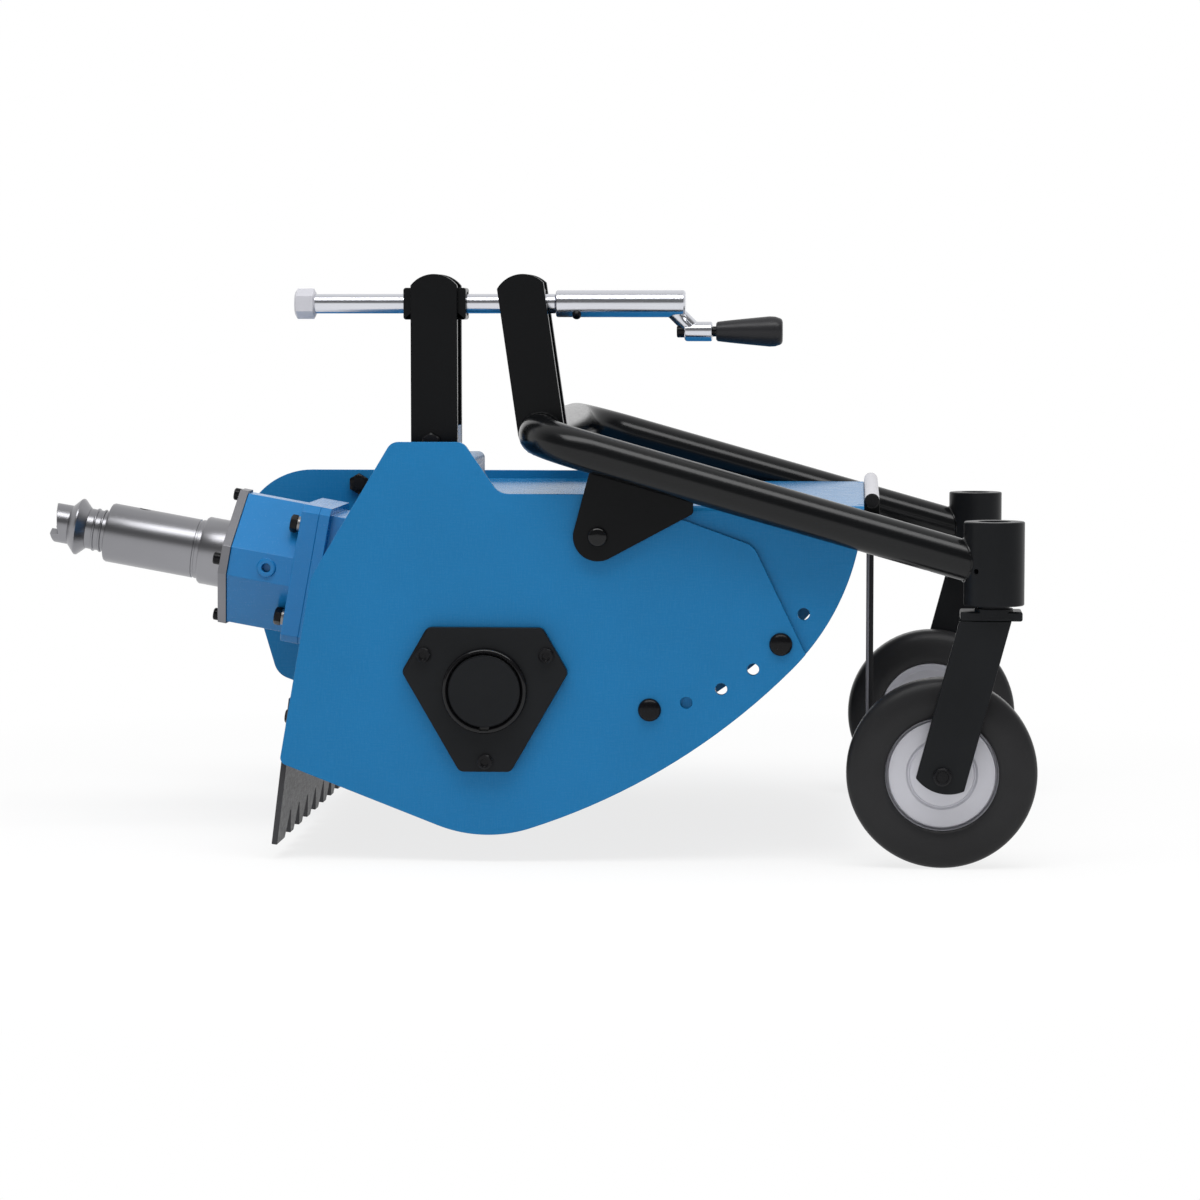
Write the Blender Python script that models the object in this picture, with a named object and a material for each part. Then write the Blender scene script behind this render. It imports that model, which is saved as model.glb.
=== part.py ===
"""Front mounted hammer knife mower for a walking tractor, 60 cm wide.

Frame of the model: metres, +X is the way the machine travels, +Y its far side,
+Z up, with the ground at z = 0 under the two castor wheels. The drive comes in
from the rear (-X) through a claw coupling, turns a corner in a bevel gearbox,
runs to the far side and drives the hammer rotor by a belt. A bent tube frame on
two castor wheels carries the front, and a crank screw sets its height.
"""

from math import acos, asin, atan2, ceil, cos, pi, radians, sin, sqrt, tan

import bmesh
import bpy
from mathutils import Matrix, Vector

# Clearances
GAP = 0.0003  # left between two pieces that sit on each other
RUN = 0.0004  # radial play of a shaft in its bore
BOLT_PLAY = 0.0003  # radial play of a bolt in its hole
PAST = 0.010  # how far a cutter runs past the face that it cuts
EDGE_BREAK = 0.001  # chamfer on a turned edge

# Facets
ARC_STEP = radians(30)  # turn of an outline's arc for each facet
EDGE_STEP = radians(11)
SMOOTH_ANGLE = radians(35)
ROUND = 16  # sides of a large round piece
ROD = 8  # sides of a shaft or tube
BOLT = 6  # sides of a bolt
HEX = 6
END_FACETS = 6  # facets round the end of a bar

# Side plates, in side view (x, z)
WIDTH = 0.600  # over the outer faces of the two side plates
PLATE = 0.006
PLATE_OUT = 0.5 * WIDTH
PLATE_IN = PLATE_OUT - PLATE
PLATE_TOP = 0.3908
EDGE_START = (0.3708, 0.3790)  # front end of the lower edge, at the top of the hood
EDGE_HEADING = radians(-92.1)
EDGE_ARCS = (  # (radius, turn) of the arcs that make the lower edge, front to rear
    (0.2582, radians(42.7)),
    (0.6908, radians(27.1)),
    (0.1464, radians(39.3)),
)
REAR_CORNER_X = -0.2464
REAR_CORNER_ROUND = 0.008
REAR_SHOULDER = (-0.2119, 0.3018)
REAR_SHOULDER_ROUND = 0.050
PEAK_TOP = 0.4451
PEAK_X = (-0.1257, -0.0495)
PEAK_ROUND = 0.013
PEAK_FOOT_X = -0.0120
PEAK_FOOT_ROUND = 0.020
FRONT_STEP = ((0.1080, PLATE_TOP), (0.2560, 0.3373), (0.3200, 0.2045))
FRONT_STEP_ROUND = 0.022
LOBE_CORNERS = ((-0.4146, PLATE_TOP), (-0.3410, 0.1412))  # rear of the far plate
LOBE_ROUNDS = (0.088, 0.025)

# Deck, rear wall and hood
SHEET = 0.004
DECK_TOP = 0.3787
DECK_FRONT_X = 0.112
SEAM = 0.0005  # between the deck's front edge and the hood
DECK_REAR_X = -0.158
DECK_BEND = 0.012
HOOD_REAR_X = DECK_FRONT_X + SEAM
HOOD_FRONT_X = 0.3714
HOOD_SHEET = 0.0045
HOOD_HOLES_CENTRE = (0.1244, 0.3791)
HOOD_HOLES_RADIUS = 0.2165
HOOD_HOLES_START = radians(-84)
HOOD_HOLES_STEP = radians(10.46)
HOOD_HOLES = 6
PLATE_HOLES = 5  # the last hole lies on the hood's cheek alone
HOOD_BOLTED = (0, 4)
HOOD_BOLT_RADIUS = 0.006
HOOD_BOLT_HEAD = 0.0122
HOOD_BOLT_DOME = 0.006
HOOD_BOLT_SIDES = 8
NUT_HEIGHT = 0.008
NUT_FLAT = 0.0095
BOLT_OVER = 0.002  # how far a bolt's end stands out of its nut
FUSE = 0.001  # how deep a head or a weld sinks into what it is one with
FAR_BOLT = (-0.239, 0.374)
FAR_BOLT_SIZE = (0.006, 0.0110, 0.008)

# Rear comb
COMB_THICK = 0.006
COMB_TILT = radians(7.1)
COMB_BOTTOM = 0.0157
COMB_TOP = 0.172
COMB_NOTCH_DEEP = 0.032
COMB_PITCH = 0.0625
COMB_TIP = 0.022
COMB_TEETH = 9
COMB_BOLT_Z = 0.1494
COMB_BOLT_EDGE = 0.035  # from the comb's outer bolts to the plates' outer faces
COMB_BOLT_Y = (COMB_BOLT_EDGE - PLATE_OUT, -0.3 * PLATE_OUT, 0.3 * PLATE_OUT,
               PLATE_OUT - COMB_BOLT_EDGE)
COMB_BOLT = (0.004, 0.00625, 0.005)  # shank radius, half width of the head, head height

# Rotor
ROTOR_AXIS = (-0.0262, 0.1839)
ROTOR_TUBE_RADIUS = 0.038
ROTOR_ROOM = (0.014, 0.026)  # between the tube's ends and the two plates
ROTOR_TUBE_ENDS = (ROTOR_ROOM[0] - PLATE_IN, PLATE_IN - ROTOR_ROOM[1])
ROTOR_TUBE_EDGE = 0.002
STUB_RADIUS = 0.0175
STUB_OVER = 0.004  # how far its thick part reaches out of the far plate
LUG_THICK = 0.006
LUG_SLOT = 0.015  # between the two lugs of a hammer
LUG_ROUND = 0.013
LUG_FOOT = 0.014  # half width of a lug on the tube
PIN_CIRCLE = 0.075
PIN_RADIUS = 0.006
PIN_HEAD_RADIUS = 0.009
PIN_HEAD = 0.003
HAMMERS = 12
HAMMER_SPARE = 0.004
HAMMER_PITCH = (ROTOR_TUBE_ENDS[1] - ROTOR_TUBE_ENDS[0] + HAMMER_SPARE) / HAMMERS
HAMMER_ROWS = 4
HAMMER_EYE = 0.014  # width of the eye
HAMMER_WIDE = 0.044
HAMMER_SHAPE = (  # (distance below the pin, half width, half thickness)
    (-0.0115, 0.5 * HAMMER_EYE, 0.0045),
    (-0.0080, 0.5 * HAMMER_EYE, 0.0088),
    (0.0000, 0.5 * HAMMER_EYE, 0.0112),
    (0.0110, 0.5 * HAMMER_EYE, 0.0100),
    (0.0320, 0.5 * HAMMER_EYE, 0.0080),
    (0.0400, 0.5 * HAMMER_WIDE, 0.0088),
    (0.0560, 0.5 * HAMMER_WIDE, 0.0095),
    (0.0680, 0.5 * HAMMER_WIDE, 0.0015),
)

# Rotor bearings
FLANGE_FLAT = 0.0666
FLANGE_CORNER = 0.0903
FLANGE_THICK = 0.010
FLANGE_BOSS_RADIUS = 0.045
FLANGE_BOSS = 0.009  # how far the boss stands off the flange
FLANGE_BOSS_EDGE = 0.002
FLANGE_SCREW_CIRCLE = 0.075
FLANGE_SCREW = (0.005, 0.008, 0.005)
BEARING_RADIUS = 0.036
BEARING_WIDE = 0.014
SMALL_BEARING = 0.012  # how far a small bearing reaches out from its shaft
FLANGE_ROUND = 0.008
PLATE_BORE = 0.030
CAP_RADIUS = 0.0406
CAP_GROOVE = 0.0025  # groove round the cap pressed into the boss
CAP_THICK = 0.003

# Drive line: the input axis tilts and u runs along it from the bevel centre to the rear
BEVEL_CENTRE = (-0.295, 0.2962)
DRIVE_TILT = radians(10.3)
BOX_LONG = 0.074  # half size of the gearbox's eight sided section
BOX_FLAT = 0.016
BOX_WALL = 0.020
BOX_U = (-0.029, 0.043)
BOX_FLANGE = BOX_LONG + 0.004
BOX_FLANGE_U = -0.049
BOX_CHAMFER = 0.008
CAVITY_RADIUS = BOX_LONG - BOX_WALL
CAVITY_U = -0.040
BOX_BOLT = BOX_FLANGE - 0.025
BOX_BOLT_SIZE = (0.005, 0.0088, 0.0085)
SIDE_BOSS_RADIUS = 0.0105
SIDE_BOSS = 0.003
SIDE_BOSS_HOLE = 0.005
SIDE_BOSS_DEEP = 0.008
SHAFT_BOSS_FROM = 0.040
FRONT_FLANGE_LONG = BOX_LONG + 0.005
FRONT_FLANGE = 0.0095
FRONT_SCREW_CIRCLE = FRONT_FLANGE_LONG - 0.0095
FRONT_SCREW = (0.0042, 0.0070, 0.008)
SLEEVE_RING = 0.0385
SLEEVE_RING_U = 0.086
SLEEVE_RING_EDGE = 0.002
SLEEVE_RADIUS = 0.03365
SLEEVE_BORE = 0.024
SLEEVE_U = 0.196
SLEEVE_EDGE = 0.003
SLEEVE_HOLE_U = 0.159
SLEEVE_HOLE = 0.0065
INPUT_RADIUS = 0.014
SHAFT_FROM = 0.021  # both shafts end this far from the bevel centre
INPUT_NECK = 0.023
INPUT_NECK_U = 0.219
INPUT_RINGS = (0.201, 0.209)  # where the two raised rings start
INPUT_RING = (0.003, 0.0016)  # length and height of a raised ring
INPUT_NOSE = 0.0117
INPUT_NOSE_U = 0.238
COLLAR_RADIUS = 0.0322
COLLAR_U = 0.2298
DOG_RADIUS = 0.02225
DOG_BORE = 0.0120
DOG_U = (0.240, 0.250, 0.259)  # root of the jaws, their low end and their high end
DOG_JAWS = 3
DOG_FACETS = 5
DOG_STEP = radians(3)  # the turn in which a jaw drops to the next one's root
ADAPTER_U = -0.061
ADAPTER_HALF_HIGH = BOX_FLANGE - 0.008
ADAPTER_HALF_WIDE = BOX_FLANGE - 0.016
WALL_U = -0.0879  # middle of the rear wall where the gearbox stands on it
WALL_TOP_V = 0.0198
WALL_BEND_V = -0.1174
WALL_FOOT_Z = 0.105

# Bevel gears, one to one
BEVEL_TEETH = 12
BEVEL_RADIUS = 0.030
BEVEL_FACE = 0.011
BEVEL_ADDENDUM = 0.0028
BEVEL_DEDENDUM = 0.0038
BEVEL_TIP = radians(3.4)
BEVEL_ROOT = radians(8.8)
BEVEL_HUB = 0.019
BEVEL_BACK = 0.042

# Belt drive, two to one
CROSS_RADIUS = 0.0125
CROSS_BEARING = 0.0240
CROSS_PLAY = 0.004  # room round the cross shaft in the far plate
SHAFT_OVER = 0.001  # how far a shaft stands out of its pulley
INPUT_BEARING_U = 0.062
BELT_RUN = 0.0012  # the belt stands off the pulleys' grooves by this
BELT_THICK = 0.008
BELT_WIDE = 0.013
BELT_RATIO = 2
DRIVEN_GROOVE = 0.026
DRIVEN_PITCH = DRIVEN_GROOVE + BELT_RUN + 0.5 * BELT_THICK
DRIVE_GROOVE = BELT_RATIO * DRIVEN_PITCH - BELT_RUN - 0.5 * BELT_THICK
PULLEY_LIP = 0.007
PULLEY_OFF = 0.016  # from the far plate to the pulleys
PULLEY_WIDE = 0.020
PULLEY_Y = (PLATE_OUT + PULLEY_OFF, PLATE_OUT + PULLEY_OFF + PULLEY_WIDE)
COVER_WALL = 0.003
COVER_ROOM = 0.003  # free room between belt and cover
COVER_RIM = 0.010
COVER_DEEP = 0.042
COVER_OUT = PLATE_OUT + COVER_DEEP
COVER_PRESS = 0.006  # chamfer round the cover's outer face
COVER_SCREW = (0.003, 0.0055, 0.004)
TUBE_RADIUS = 0.030
TUBE_WALL = 0.003

# Height frame
FRAME_PIVOT = (0.0928, 0.3466)
FRAME_TUBE_RADIUS = 0.0212
FRAME_TUBE_WALL = 0.003
FRAME_SIDES = 12
FRAME_OFF = 0.0218  # from a plate's outer face to a tube's axis
FRAME_Y = PLATE_OUT + FRAME_OFF
FRAME_REAR = (0.0269, 0.4519)  # axis of the cross tube
FRAME_SLOPE = radians(15.85)
FRAME_BEND = 0.065
DRAIN_RADIUS = 0.004
BARREL_X = 0.5061
BARREL_RADIUS = 0.0315
BARREL_Z = (0.278, 0.365)
STEM_RADIUS = 0.016
GUSSET = 0.006
GUSSET_OFF = 0.003
GUSSET_IN = PLATE_OUT + GUSSET_OFF
GUSSET_ROUND = 0.026
GUSSET_REAR = (0.0850, 0.0660)  # x at the tube and x beside the pivot
GUSSET_REAR_Z = 0.352
GUSSET_TIP = (0.1930, 0.3710)
GUSSET_CORNERS = (0.004, 0.003, 0.005)
PIVOT_BOLT_RADIUS = 0.006
PIVOT_WASHER = 0.011
PIVOT_WASHER_THICK = 0.0015
PIVOT_HEAD = 0.007
SPACER_RADIUS = 0.013

# Height screw, its arm and its stand
SCREW_IN = 0.095  # from the near plate's outer face to the screw
SCREW_Y = SCREW_IN - PLATE_OUT
SCREW_Z = 0.5903
SCREW_RADIUS = 0.0105
NUT_PIVOT_X = -0.088
ARM_PIVOT_X = 0.0072
BAR_WIDE = 0.050
BAR_THICK = 0.008
BAR_GAP = 0.034  # between the two bars of a pair
BAR_OVER = 0.0316  # from the pivot to the top of a bar
ARM_TILT = radians(8.2)
BLOCK_HALF_LONG = 0.0336
ARM_BLOCK_HALF_LONG = 0.022
BLOCK_HALF_HIGH = 0.017
BLOCK_CHAMFER = 0.003
TRUNNION_RADIUS = 0.009
NUT_PLAY = 0.0023  # takes up the swing of the screw, the one pivot left open
PEDESTAL_X = (NUT_PIVOT_X - 0.037, NUT_PIVOT_X + 0.046)
PEDESTAL_HIGH = 0.0513
PEDESTAL_TOP = DECK_TOP + PEDESTAL_HIGH
PEDESTAL_LONG = 0.155  # from the near plate's outer face inwards
PEDESTAL_INNER_Y = PEDESTAL_LONG - PLATE_OUT
EAR_HIGH = 0.030
EAR_TOP = PEDESTAL_TOP + EAR_HIGH
EAR_BOLT = (NUT_PIVOT_X - 0.0027, PEDESTAL_TOP + 0.4 * EAR_HIGH)
EAR_BOLT_SIZE = (0.006, 0.0095, 0.0075)
SCREW_NUT_X = (-0.2399, -0.218)
SCREW_NUT_FLAT = 0.01415
SCREW_NUT_EDGE = 0.002
SCREW_TAIL = 0.060  # how far the screw's thin end runs into the crank's sleeve
SCREW_TAIL_RADIUS = 0.008
SLEEVE_X = (0.0414, 0.1799)
CRANK_SLEEVE_RADIUS = 0.0145
CRANK_DROP = 0.0296
CRANK_EYE_X = (0.1790, 0.2086)
CRANK_EYE_RADIUS = 0.0105
CRANK_WEB_WIDE = 0.018
CRANK_WEB_LAP = 0.012  # how far the web runs in under the sleeve
CRANK_WEB_SINK = 0.003  # how deep it sinks into the sleeve there
CRANK_WEB_EDGE = 0.002  # how far short of the sleeve's end it starts above
CRANK_WEB_RISE = (0.006, 0.008)  # its upper corners, from the foot of the sleeve
CRANK_WEB_THICK = (0.019, 0.018)  # how high and how far its elbow stands over the eye
SET_SCREW_X = 0.0639
SET_SCREW_RADIUS = 0.004
SET_SCREW_HIGH = 0.004
SET_SCREW_TURN = radians(40)
GRIP_BOLT_RADIUS = 0.004
GRIP_NUT_RADIUS = 0.0065
GRIP_NUT_HIGH = 0.008
GRIP_COLLAR = 0.0055
GRIP_X = (0.2128, 0.2837)
GRIP_RADII = (0.01045, 0.0162)
GRIP_END = (0.014, 0.0022)  # length and drop of its last cone

# Castors
CROWN_X = (BARREL_X - 0.0346, BARREL_X + 0.0294)
CROWN_THICK = 0.010
CROWN_LAP = 0.0005
CROWN_IN = 0.0318  # from the swivel's axis to the crown's inner edge
CROWN_INNER_Y = FRAME_Y - CROWN_IN
NECK = 0.006
NECK_OVER = 0.004  # the neck is thicker than the stem by this
STEM_SHORT = 0.004  # the stem ends this far below the barrel's top
LEG_THICK = 0.008
LEG_WIDE = 0.052
LEG_OUT = 0.0142  # from the swivel's axis to the leg's outer face
LEG_OUTER_Y = FRAME_Y + LEG_OUT
LEG_TILT = radians(15)
LEG_END_RADIUS = 0.042
LEG_END_UP = 0.024
TRAIL = 0.0523  # the axle lies this far behind the swivel's axis
WHEEL_RADIUS = 0.100
WHEEL_CENTRE = (BARREL_X - TRAIL, WHEEL_RADIUS)
WHEEL_IN = 0.0248  # from the swivel's axis to the wheel's middle
WHEEL_Y = FRAME_Y - WHEEL_IN
WHEEL_WIDE = 0.050
TYRE_INNER = 0.061
AXLE_RADIUS = 0.006
AXLE_HEAD = 0.0095
AXLE_HEAD_HIGH = 0.006
AXLE_NUT = 0.008
HUB_RADIUS = 0.014
DISC_RADIUS = 0.056
HUB_DISC_RADIUS = 0.0346
HUB_SHORT = 0.002  # the hub's inner end lies this far inside the tyre's side
PAN_IN = 0.010  # from the wheel's middle to the inner face of its disc
RIM_SHORT = 0.006
DISC_DEPTHS = (0.008, 0.010, 0.006, 0.005)  # below the tyre's side, from the disc's edge to the hub
TYRE_BEAD = (0.001, 0.004)
TYRE_SHAPE = (  # (share of the half width, depth below the tread)
    (-1.0, 0.026), (-0.94, 0.009), (-0.6, 0.0), (0.6, 0.0), (0.94, 0.009), (1.0, 0.026),
)
WHEEL_SIDES = 20

# Front flap
HINGE = (HOOD_FRONT_X + 0.0083, DECK_TOP + 0.0038)
HINGE_RADIUS = 0.008
HINGE_BORE = 0.0062
HINGE_EDGE = 0.045  # from the plates' outer faces to the hinge's ends
HINGE_HALF = PLATE_OUT - HINGE_EDGE
FLAP_EDGE = 0.085
FLAP_HALF = PLATE_OUT - FLAP_EDGE
FLAP_THICK = 0.007
FLAP_TOP = HINGE[1] - 0.0145
FLAP_BOTTOM = 0.120
HANGER_ARM = 0.005
HANGER_WIDE = 0.016
HANGER_ROD = 0.0055
HANGER_HEAD = 0.0075
HANGER_END = 0.004
HANGER_BAR_Z = (0.0155, 0.0355)  # the bar's top and foot below the hinge
HANGER_BAR_LAP = 0.0045
HANGER_PLAY = 0.0008  # free room beside an arm in its notch in the hood
HANGER_NOTCH = 0.007  # how deep the hood's edge is notched for an arm

LEFT, RIGHT = -1, 1
INSIDE = PLATE_IN - GAP
Y_AXIS = Vector((0, 1, 0))
X_AXIS = Vector((1, 0, 0))
Z_AXIS = Vector((0, 0, 1))
U_AXIS = Vector((-cos(DRIVE_TILT), 0, sin(DRIVE_TILT)))
V_AXIS = Vector((sin(DRIVE_TILT), 0, cos(DRIVE_TILT)))
BEVEL = Vector((BEVEL_CENTRE[0], 0, BEVEL_CENTRE[1]))

MATERIALS = {}
PLACES = {}


# Materials and objects
def add_material(name, colour, roughness, metallic):
    material = bpy.data.materials.new(name)
    material.use_nodes = True
    shader = material.node_tree.nodes["Principled BSDF"]
    shader.inputs["Base Color"].default_value = (*colour, 1)
    shader.inputs["Roughness"].default_value = roughness
    shader.inputs["Metallic"].default_value = metallic
    MATERIALS[name] = material


def add_materials():
    add_material("blue_paint", (0.022, 0.166, 0.375), 0.42, 0.0)
    add_material("black_steel", (0.012, 0.012, 0.014), 0.45, 0.0)
    add_material("bolt_black", (0.010, 0.010, 0.011), 0.38, 0.5)
    add_material("grey_steel", (0.30, 0.29, 0.28), 0.42, 0.9)
    add_material("turned_steel", (0.42, 0.41, 0.42), 0.28, 1.0)
    add_material("chrome", (0.70, 0.71, 0.74), 0.12, 1.0)
    add_material("zinc", (0.62, 0.63, 0.66), 0.35, 0.8)
    add_material("forged_steel", (0.10, 0.10, 0.11), 0.55, 0.8)
    add_material("rubber", (0.014, 0.014, 0.015), 0.75, 0.0)
    add_material("black_plastic", (0.018, 0.019, 0.021), 0.50, 0.0)


def add_pivot(name, place, parent=None):
    """An empty on a joint's axis, under the empty of the body that carries it."""
    pivot = bpy.data.objects.new(name, None)
    bpy.context.collection.objects.link(pivot)
    base = PLACES[parent] if parent else Vector((0, 0, 0))
    pivot.location = Vector(place) - base
    if parent:
        pivot.parent = bpy.data.objects[parent]
    PLACES[name] = Vector(place)


def finish(name, bm, material, pivot=None):
    """Makes the object of a piece, under the empty of its joint if it moves."""
    bmesh.ops.recalc_face_normals(bm, faces=bm.faces)
    mesh = bpy.data.meshes.new(name)
    bm.to_mesh(mesh)
    bm.free()
    mesh.shade_smooth()
    mesh.set_sharp_from_angle(angle=SMOOTH_ANGLE)
    mesh.materials.append(MATERIALS[material])
    piece = bpy.data.objects.new(name, mesh)
    bpy.context.collection.objects.link(piece)
    if pivot:
        mesh.transform(Matrix.Translation(-PLACES[pivot]))
        piece.parent = bpy.data.objects[pivot]
    return piece


def add_cutter(name, bm):
    cutter = finish(name, bm, "grey_steel")
    cutter.hide_render = True
    cutter.display_type = "WIRE"
    return cutter


def combine(piece, tool, operation="DIFFERENCE"):
    change = piece.modifiers.new(tool.name, "BOOLEAN")
    change.object = tool
    change.operation = operation
    change.solver = "EXACT"


# Shapes
def skin(bm, rings, closed=False):
    """Joins rings of points, all of one count, into one solid."""
    loops = [[bm.verts.new(point) for point in ring] for ring in rings]
    pairs = list(zip(loops, loops[1:]))
    if closed:
        pairs.append((loops[-1], loops[0]))
    else:
        bm.faces.new(loops[0])
        bm.faces.new(loops[-1])
    count = len(loops[0])
    for low, high in pairs:
        for i in range(count):
            j = (i + 1) % count
            bm.faces.new((low[i], low[j], high[j], high[i]))


def side_vectors(axis):
    """Two unit vectors square to an axis, the second as near to up as it gets."""
    helper = Z_AXIS if abs(axis.dot(Z_AXIS)) < 0.9 else X_AXIS
    first = helper.cross(axis).normalized()
    return first, axis.cross(first).normalized()


def ring_of(centre, axis, radius, count):
    first, second = side_vectors(axis)
    return [
        centre + radius * (sin(2 * pi * i / count) * first - cos(2 * pi * i / count) * second)
        for i in range(count)
    ]


def hex_ring(centre, axis, flat):
    """A hexagon of a given half width over its flats."""
    return ring_of(centre, axis, flat / cos(pi / HEX), HEX)


def clear(radius, count):
    """The corner radius of a bore whose flats lie at a radius."""
    return radius / cos(pi / count)


def turn(bm, profile, origin, axis, count, closed=False):
    """A turned solid. The profile is a list of (distance along the axis, radius)."""
    skin(bm, [ring_of(origin + along * axis, axis, radius, count) for along, radius in profile],
         closed)


def washer(bm, inner, outer, low, high, origin, axis, count):
    bore = clear(inner, count)
    profile = ((low, bore), (low, outer), (high, outer), (high, bore))
    turn(bm, profile, origin, axis, count, closed=True)


def drill(bm, radius, low, high, origin, axis, count=BOLT):
    """A round cutter from low to high along an axis."""
    corner = clear(radius, count)
    turn(bm, [(low, corner), (high, corner)], origin, axis, count)


def prism(bm, outline, low, high, origin=Vector(), u=X_AXIS, v=Z_AXIS, w=Y_AXIS):
    """An outline in the u, v plane, run along w from low to high."""
    skin(bm, [
        [origin + a * u + b * v + depth * w for a, b in outline]
        for depth in (low, high)
    ])


def block(bm, x, y, z):
    prism(bm, [(x[0], z[0]), (x[1], z[0]), (x[1], z[1]), (x[0], z[1])], y[0], y[1])


def rounded(corners, closed=True, step=ARC_STEP):
    """Points of an outline whose corners are (x, z, radius)."""
    points = []
    count = len(corners)
    for i, corner in enumerate(corners):
        here = Vector(corner[:2])
        radius = corner[2] if len(corner) > 2 else 0
        if radius == 0 or (not closed and i in (0, count - 1)):
            points.append(tuple(here))
            continue
        back = (Vector(corners[i - 1][:2]) - here).normalized()
        ahead = (Vector(corners[(i + 1) % count][:2]) - here).normalized()
        half = 0.5 * back.angle(ahead)
        reach = radius / tan(half)
        centre = here + (back + ahead).normalized() * (radius / sin(half))
        start = here + back * reach - centre
        sweep = start.angle_signed(here + ahead * reach - centre)
        facets = max(1, ceil(abs(sweep) / step))
        for k in range(facets + 1):
            turned = start.copy()
            turned.rotate(Matrix.Rotation(-sweep * k / facets, 2))
            points.append(tuple(centre + turned))
    return points


def offset_path(path, distance):
    """An open path moved sideways, with its corners mitred."""
    spots = [Vector(point) for point in path]
    moved = []
    for i, here in enumerate(spots):
        before = (here - spots[i - 1]).normalized() if i else None
        after = (spots[i + 1] - here).normalized() if i + 1 < len(spots) else None
        ahead = ((before or after) + (after or before)).normalized()
        side = Vector((-ahead.y, ahead.x))
        stretch = ahead.dot(after or before)
        moved.append(tuple(here + side * distance / stretch))
    return moved


def sheet_outline(path, thickness):
    """The cut edge of a folded sheet whose middle follows a path."""
    return offset_path(path, 0.5 * thickness) + offset_path(path, -0.5 * thickness)[::-1]


def belt_outline(big, big_radius, small, small_radius):
    """The taut outline around two circles, big one first."""
    big, small = Vector(big), Vector(small)
    along = small - big
    heading = atan2(along.y, along.x)
    lean = acos((big_radius - small_radius) / along.length)
    points = []
    for centre, radius, start, stop in (
        (big, big_radius, heading + lean, heading + 2 * pi - lean),
        (small, small_radius, heading - lean, heading + lean),
    ):
        facets = ceil(ROUND * (stop - start) / (2 * pi))
        for k in range(facets + 1):
            angle = start + (stop - start) * k / facets
            points.append(tuple(centre + radius * Vector((cos(angle), sin(angle)))))
    return points


def meet(a, a_way, b, b_way):
    """Where the line through a along a_way meets the line through b along b_way."""
    a, a_way, b, b_way = (Vector(value) for value in (a, a_way, b, b_way))
    across = a_way.x * b_way.y - a_way.y * b_way.x
    reach = ((b - a).x * b_way.y - (b - a).y * b_way.x) / across
    return a + reach * a_way


def at(x_z, y=0.0):
    return Vector((x_z[0], y, x_z[1]))


def drive_point(u, v=0.0, y=0.0):
    """A point of the tilted drive line, from its place along and across the axis."""
    return BEVEL + u * U_AXIS + v * V_AXIS + y * Y_AXIS


def drive_xz(u, v=0.0):
    point = drive_point(u, v)
    return point.x, point.z


# Side plates
def lower_edge():
    """The lower edge from the hood's front top down and back, and its last heading."""
    spot = Vector(EDGE_START)
    heading = EDGE_HEADING
    points = [tuple(spot)]
    for radius, sweep in EDGE_ARCS:
        centre = spot + radius * Vector((sin(heading), -cos(heading)))
        facets = ceil(sweep / EDGE_STEP)
        for k in range(1, facets + 1):
            angle = heading - sweep * k / facets
            points.append(tuple(centre + radius * Vector((-sin(angle), cos(angle)))))
        heading -= sweep
        spot = Vector(points[-1])
    return points, heading


def on_edge(x):
    """The point at x on the straight rear stretch of the lower edge."""
    points, heading = lower_edge()
    end = points[-1]
    return x, end[1] + (x - end[0]) * tan(heading)


def plate_lower_edge():
    """The part of the lower edge behind the step where the hood shows."""
    top, bottom = Vector(FRONT_STEP[1]), Vector(FRONT_STEP[2])
    way = bottom - top
    points = lower_edge()[0]
    kept = []
    for before, here in zip(points, points[1:]):
        sides = [
            way.x * (point[1] - top.y) - way.y * (point[0] - top.x)
            for point in (before, here)
        ]
        if sides[1] < 0:
            if sides[0] >= 0:
                kept.append(tuple(meet(top, way, before, Vector(here) - Vector(before))))
            kept.append(here)
    return kept


def hood_hole(index):
    angle = HOOD_HOLES_START + index * HOOD_HOLES_STEP
    return (
        HOOD_HOLES_CENTRE[0] + HOOD_HOLES_RADIUS * cos(angle),
        HOOD_HOLES_CENTRE[1] + HOOD_HOLES_RADIUS * sin(angle),
    )


def screw_spots(centre, circle, angles):
    return [
        (centre[0] + circle * cos(radians(angle)), centre[1] + circle * sin(radians(angle)))
        for angle in angles
    ]


def bearing_screw_spots():
    return screw_spots(ROTOR_AXIS, FLANGE_SCREW_CIRCLE, (30, 150, 270))


def near_plate_outline():
    front = [(*FRONT_STEP[0], FRONT_STEP_ROUND), (*FRONT_STEP[1], FRONT_STEP_ROUND)]
    corner = on_edge(REAR_CORNER_X)
    return rounded([
        (*corner, REAR_CORNER_ROUND),
        (*REAR_SHOULDER, REAR_SHOULDER_ROUND),
        (PEAK_X[0], PEAK_TOP, PEAK_ROUND),
        (PEAK_X[1], PEAK_TOP, PEAK_ROUND),
        (PEAK_FOOT_X, PLATE_TOP, PEAK_FOOT_ROUND),
        *front,
        *plate_lower_edge(),
    ])


def far_plate_outline():
    front = [(*FRONT_STEP[0], FRONT_STEP_ROUND), (*FRONT_STEP[1], FRONT_STEP_ROUND)]
    lobe = [(*corner, bend) for corner, bend in zip(LOBE_CORNERS, LOBE_ROUNDS)]
    return rounded([lobe[1], lobe[0], *front, *plate_lower_edge()])


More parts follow.
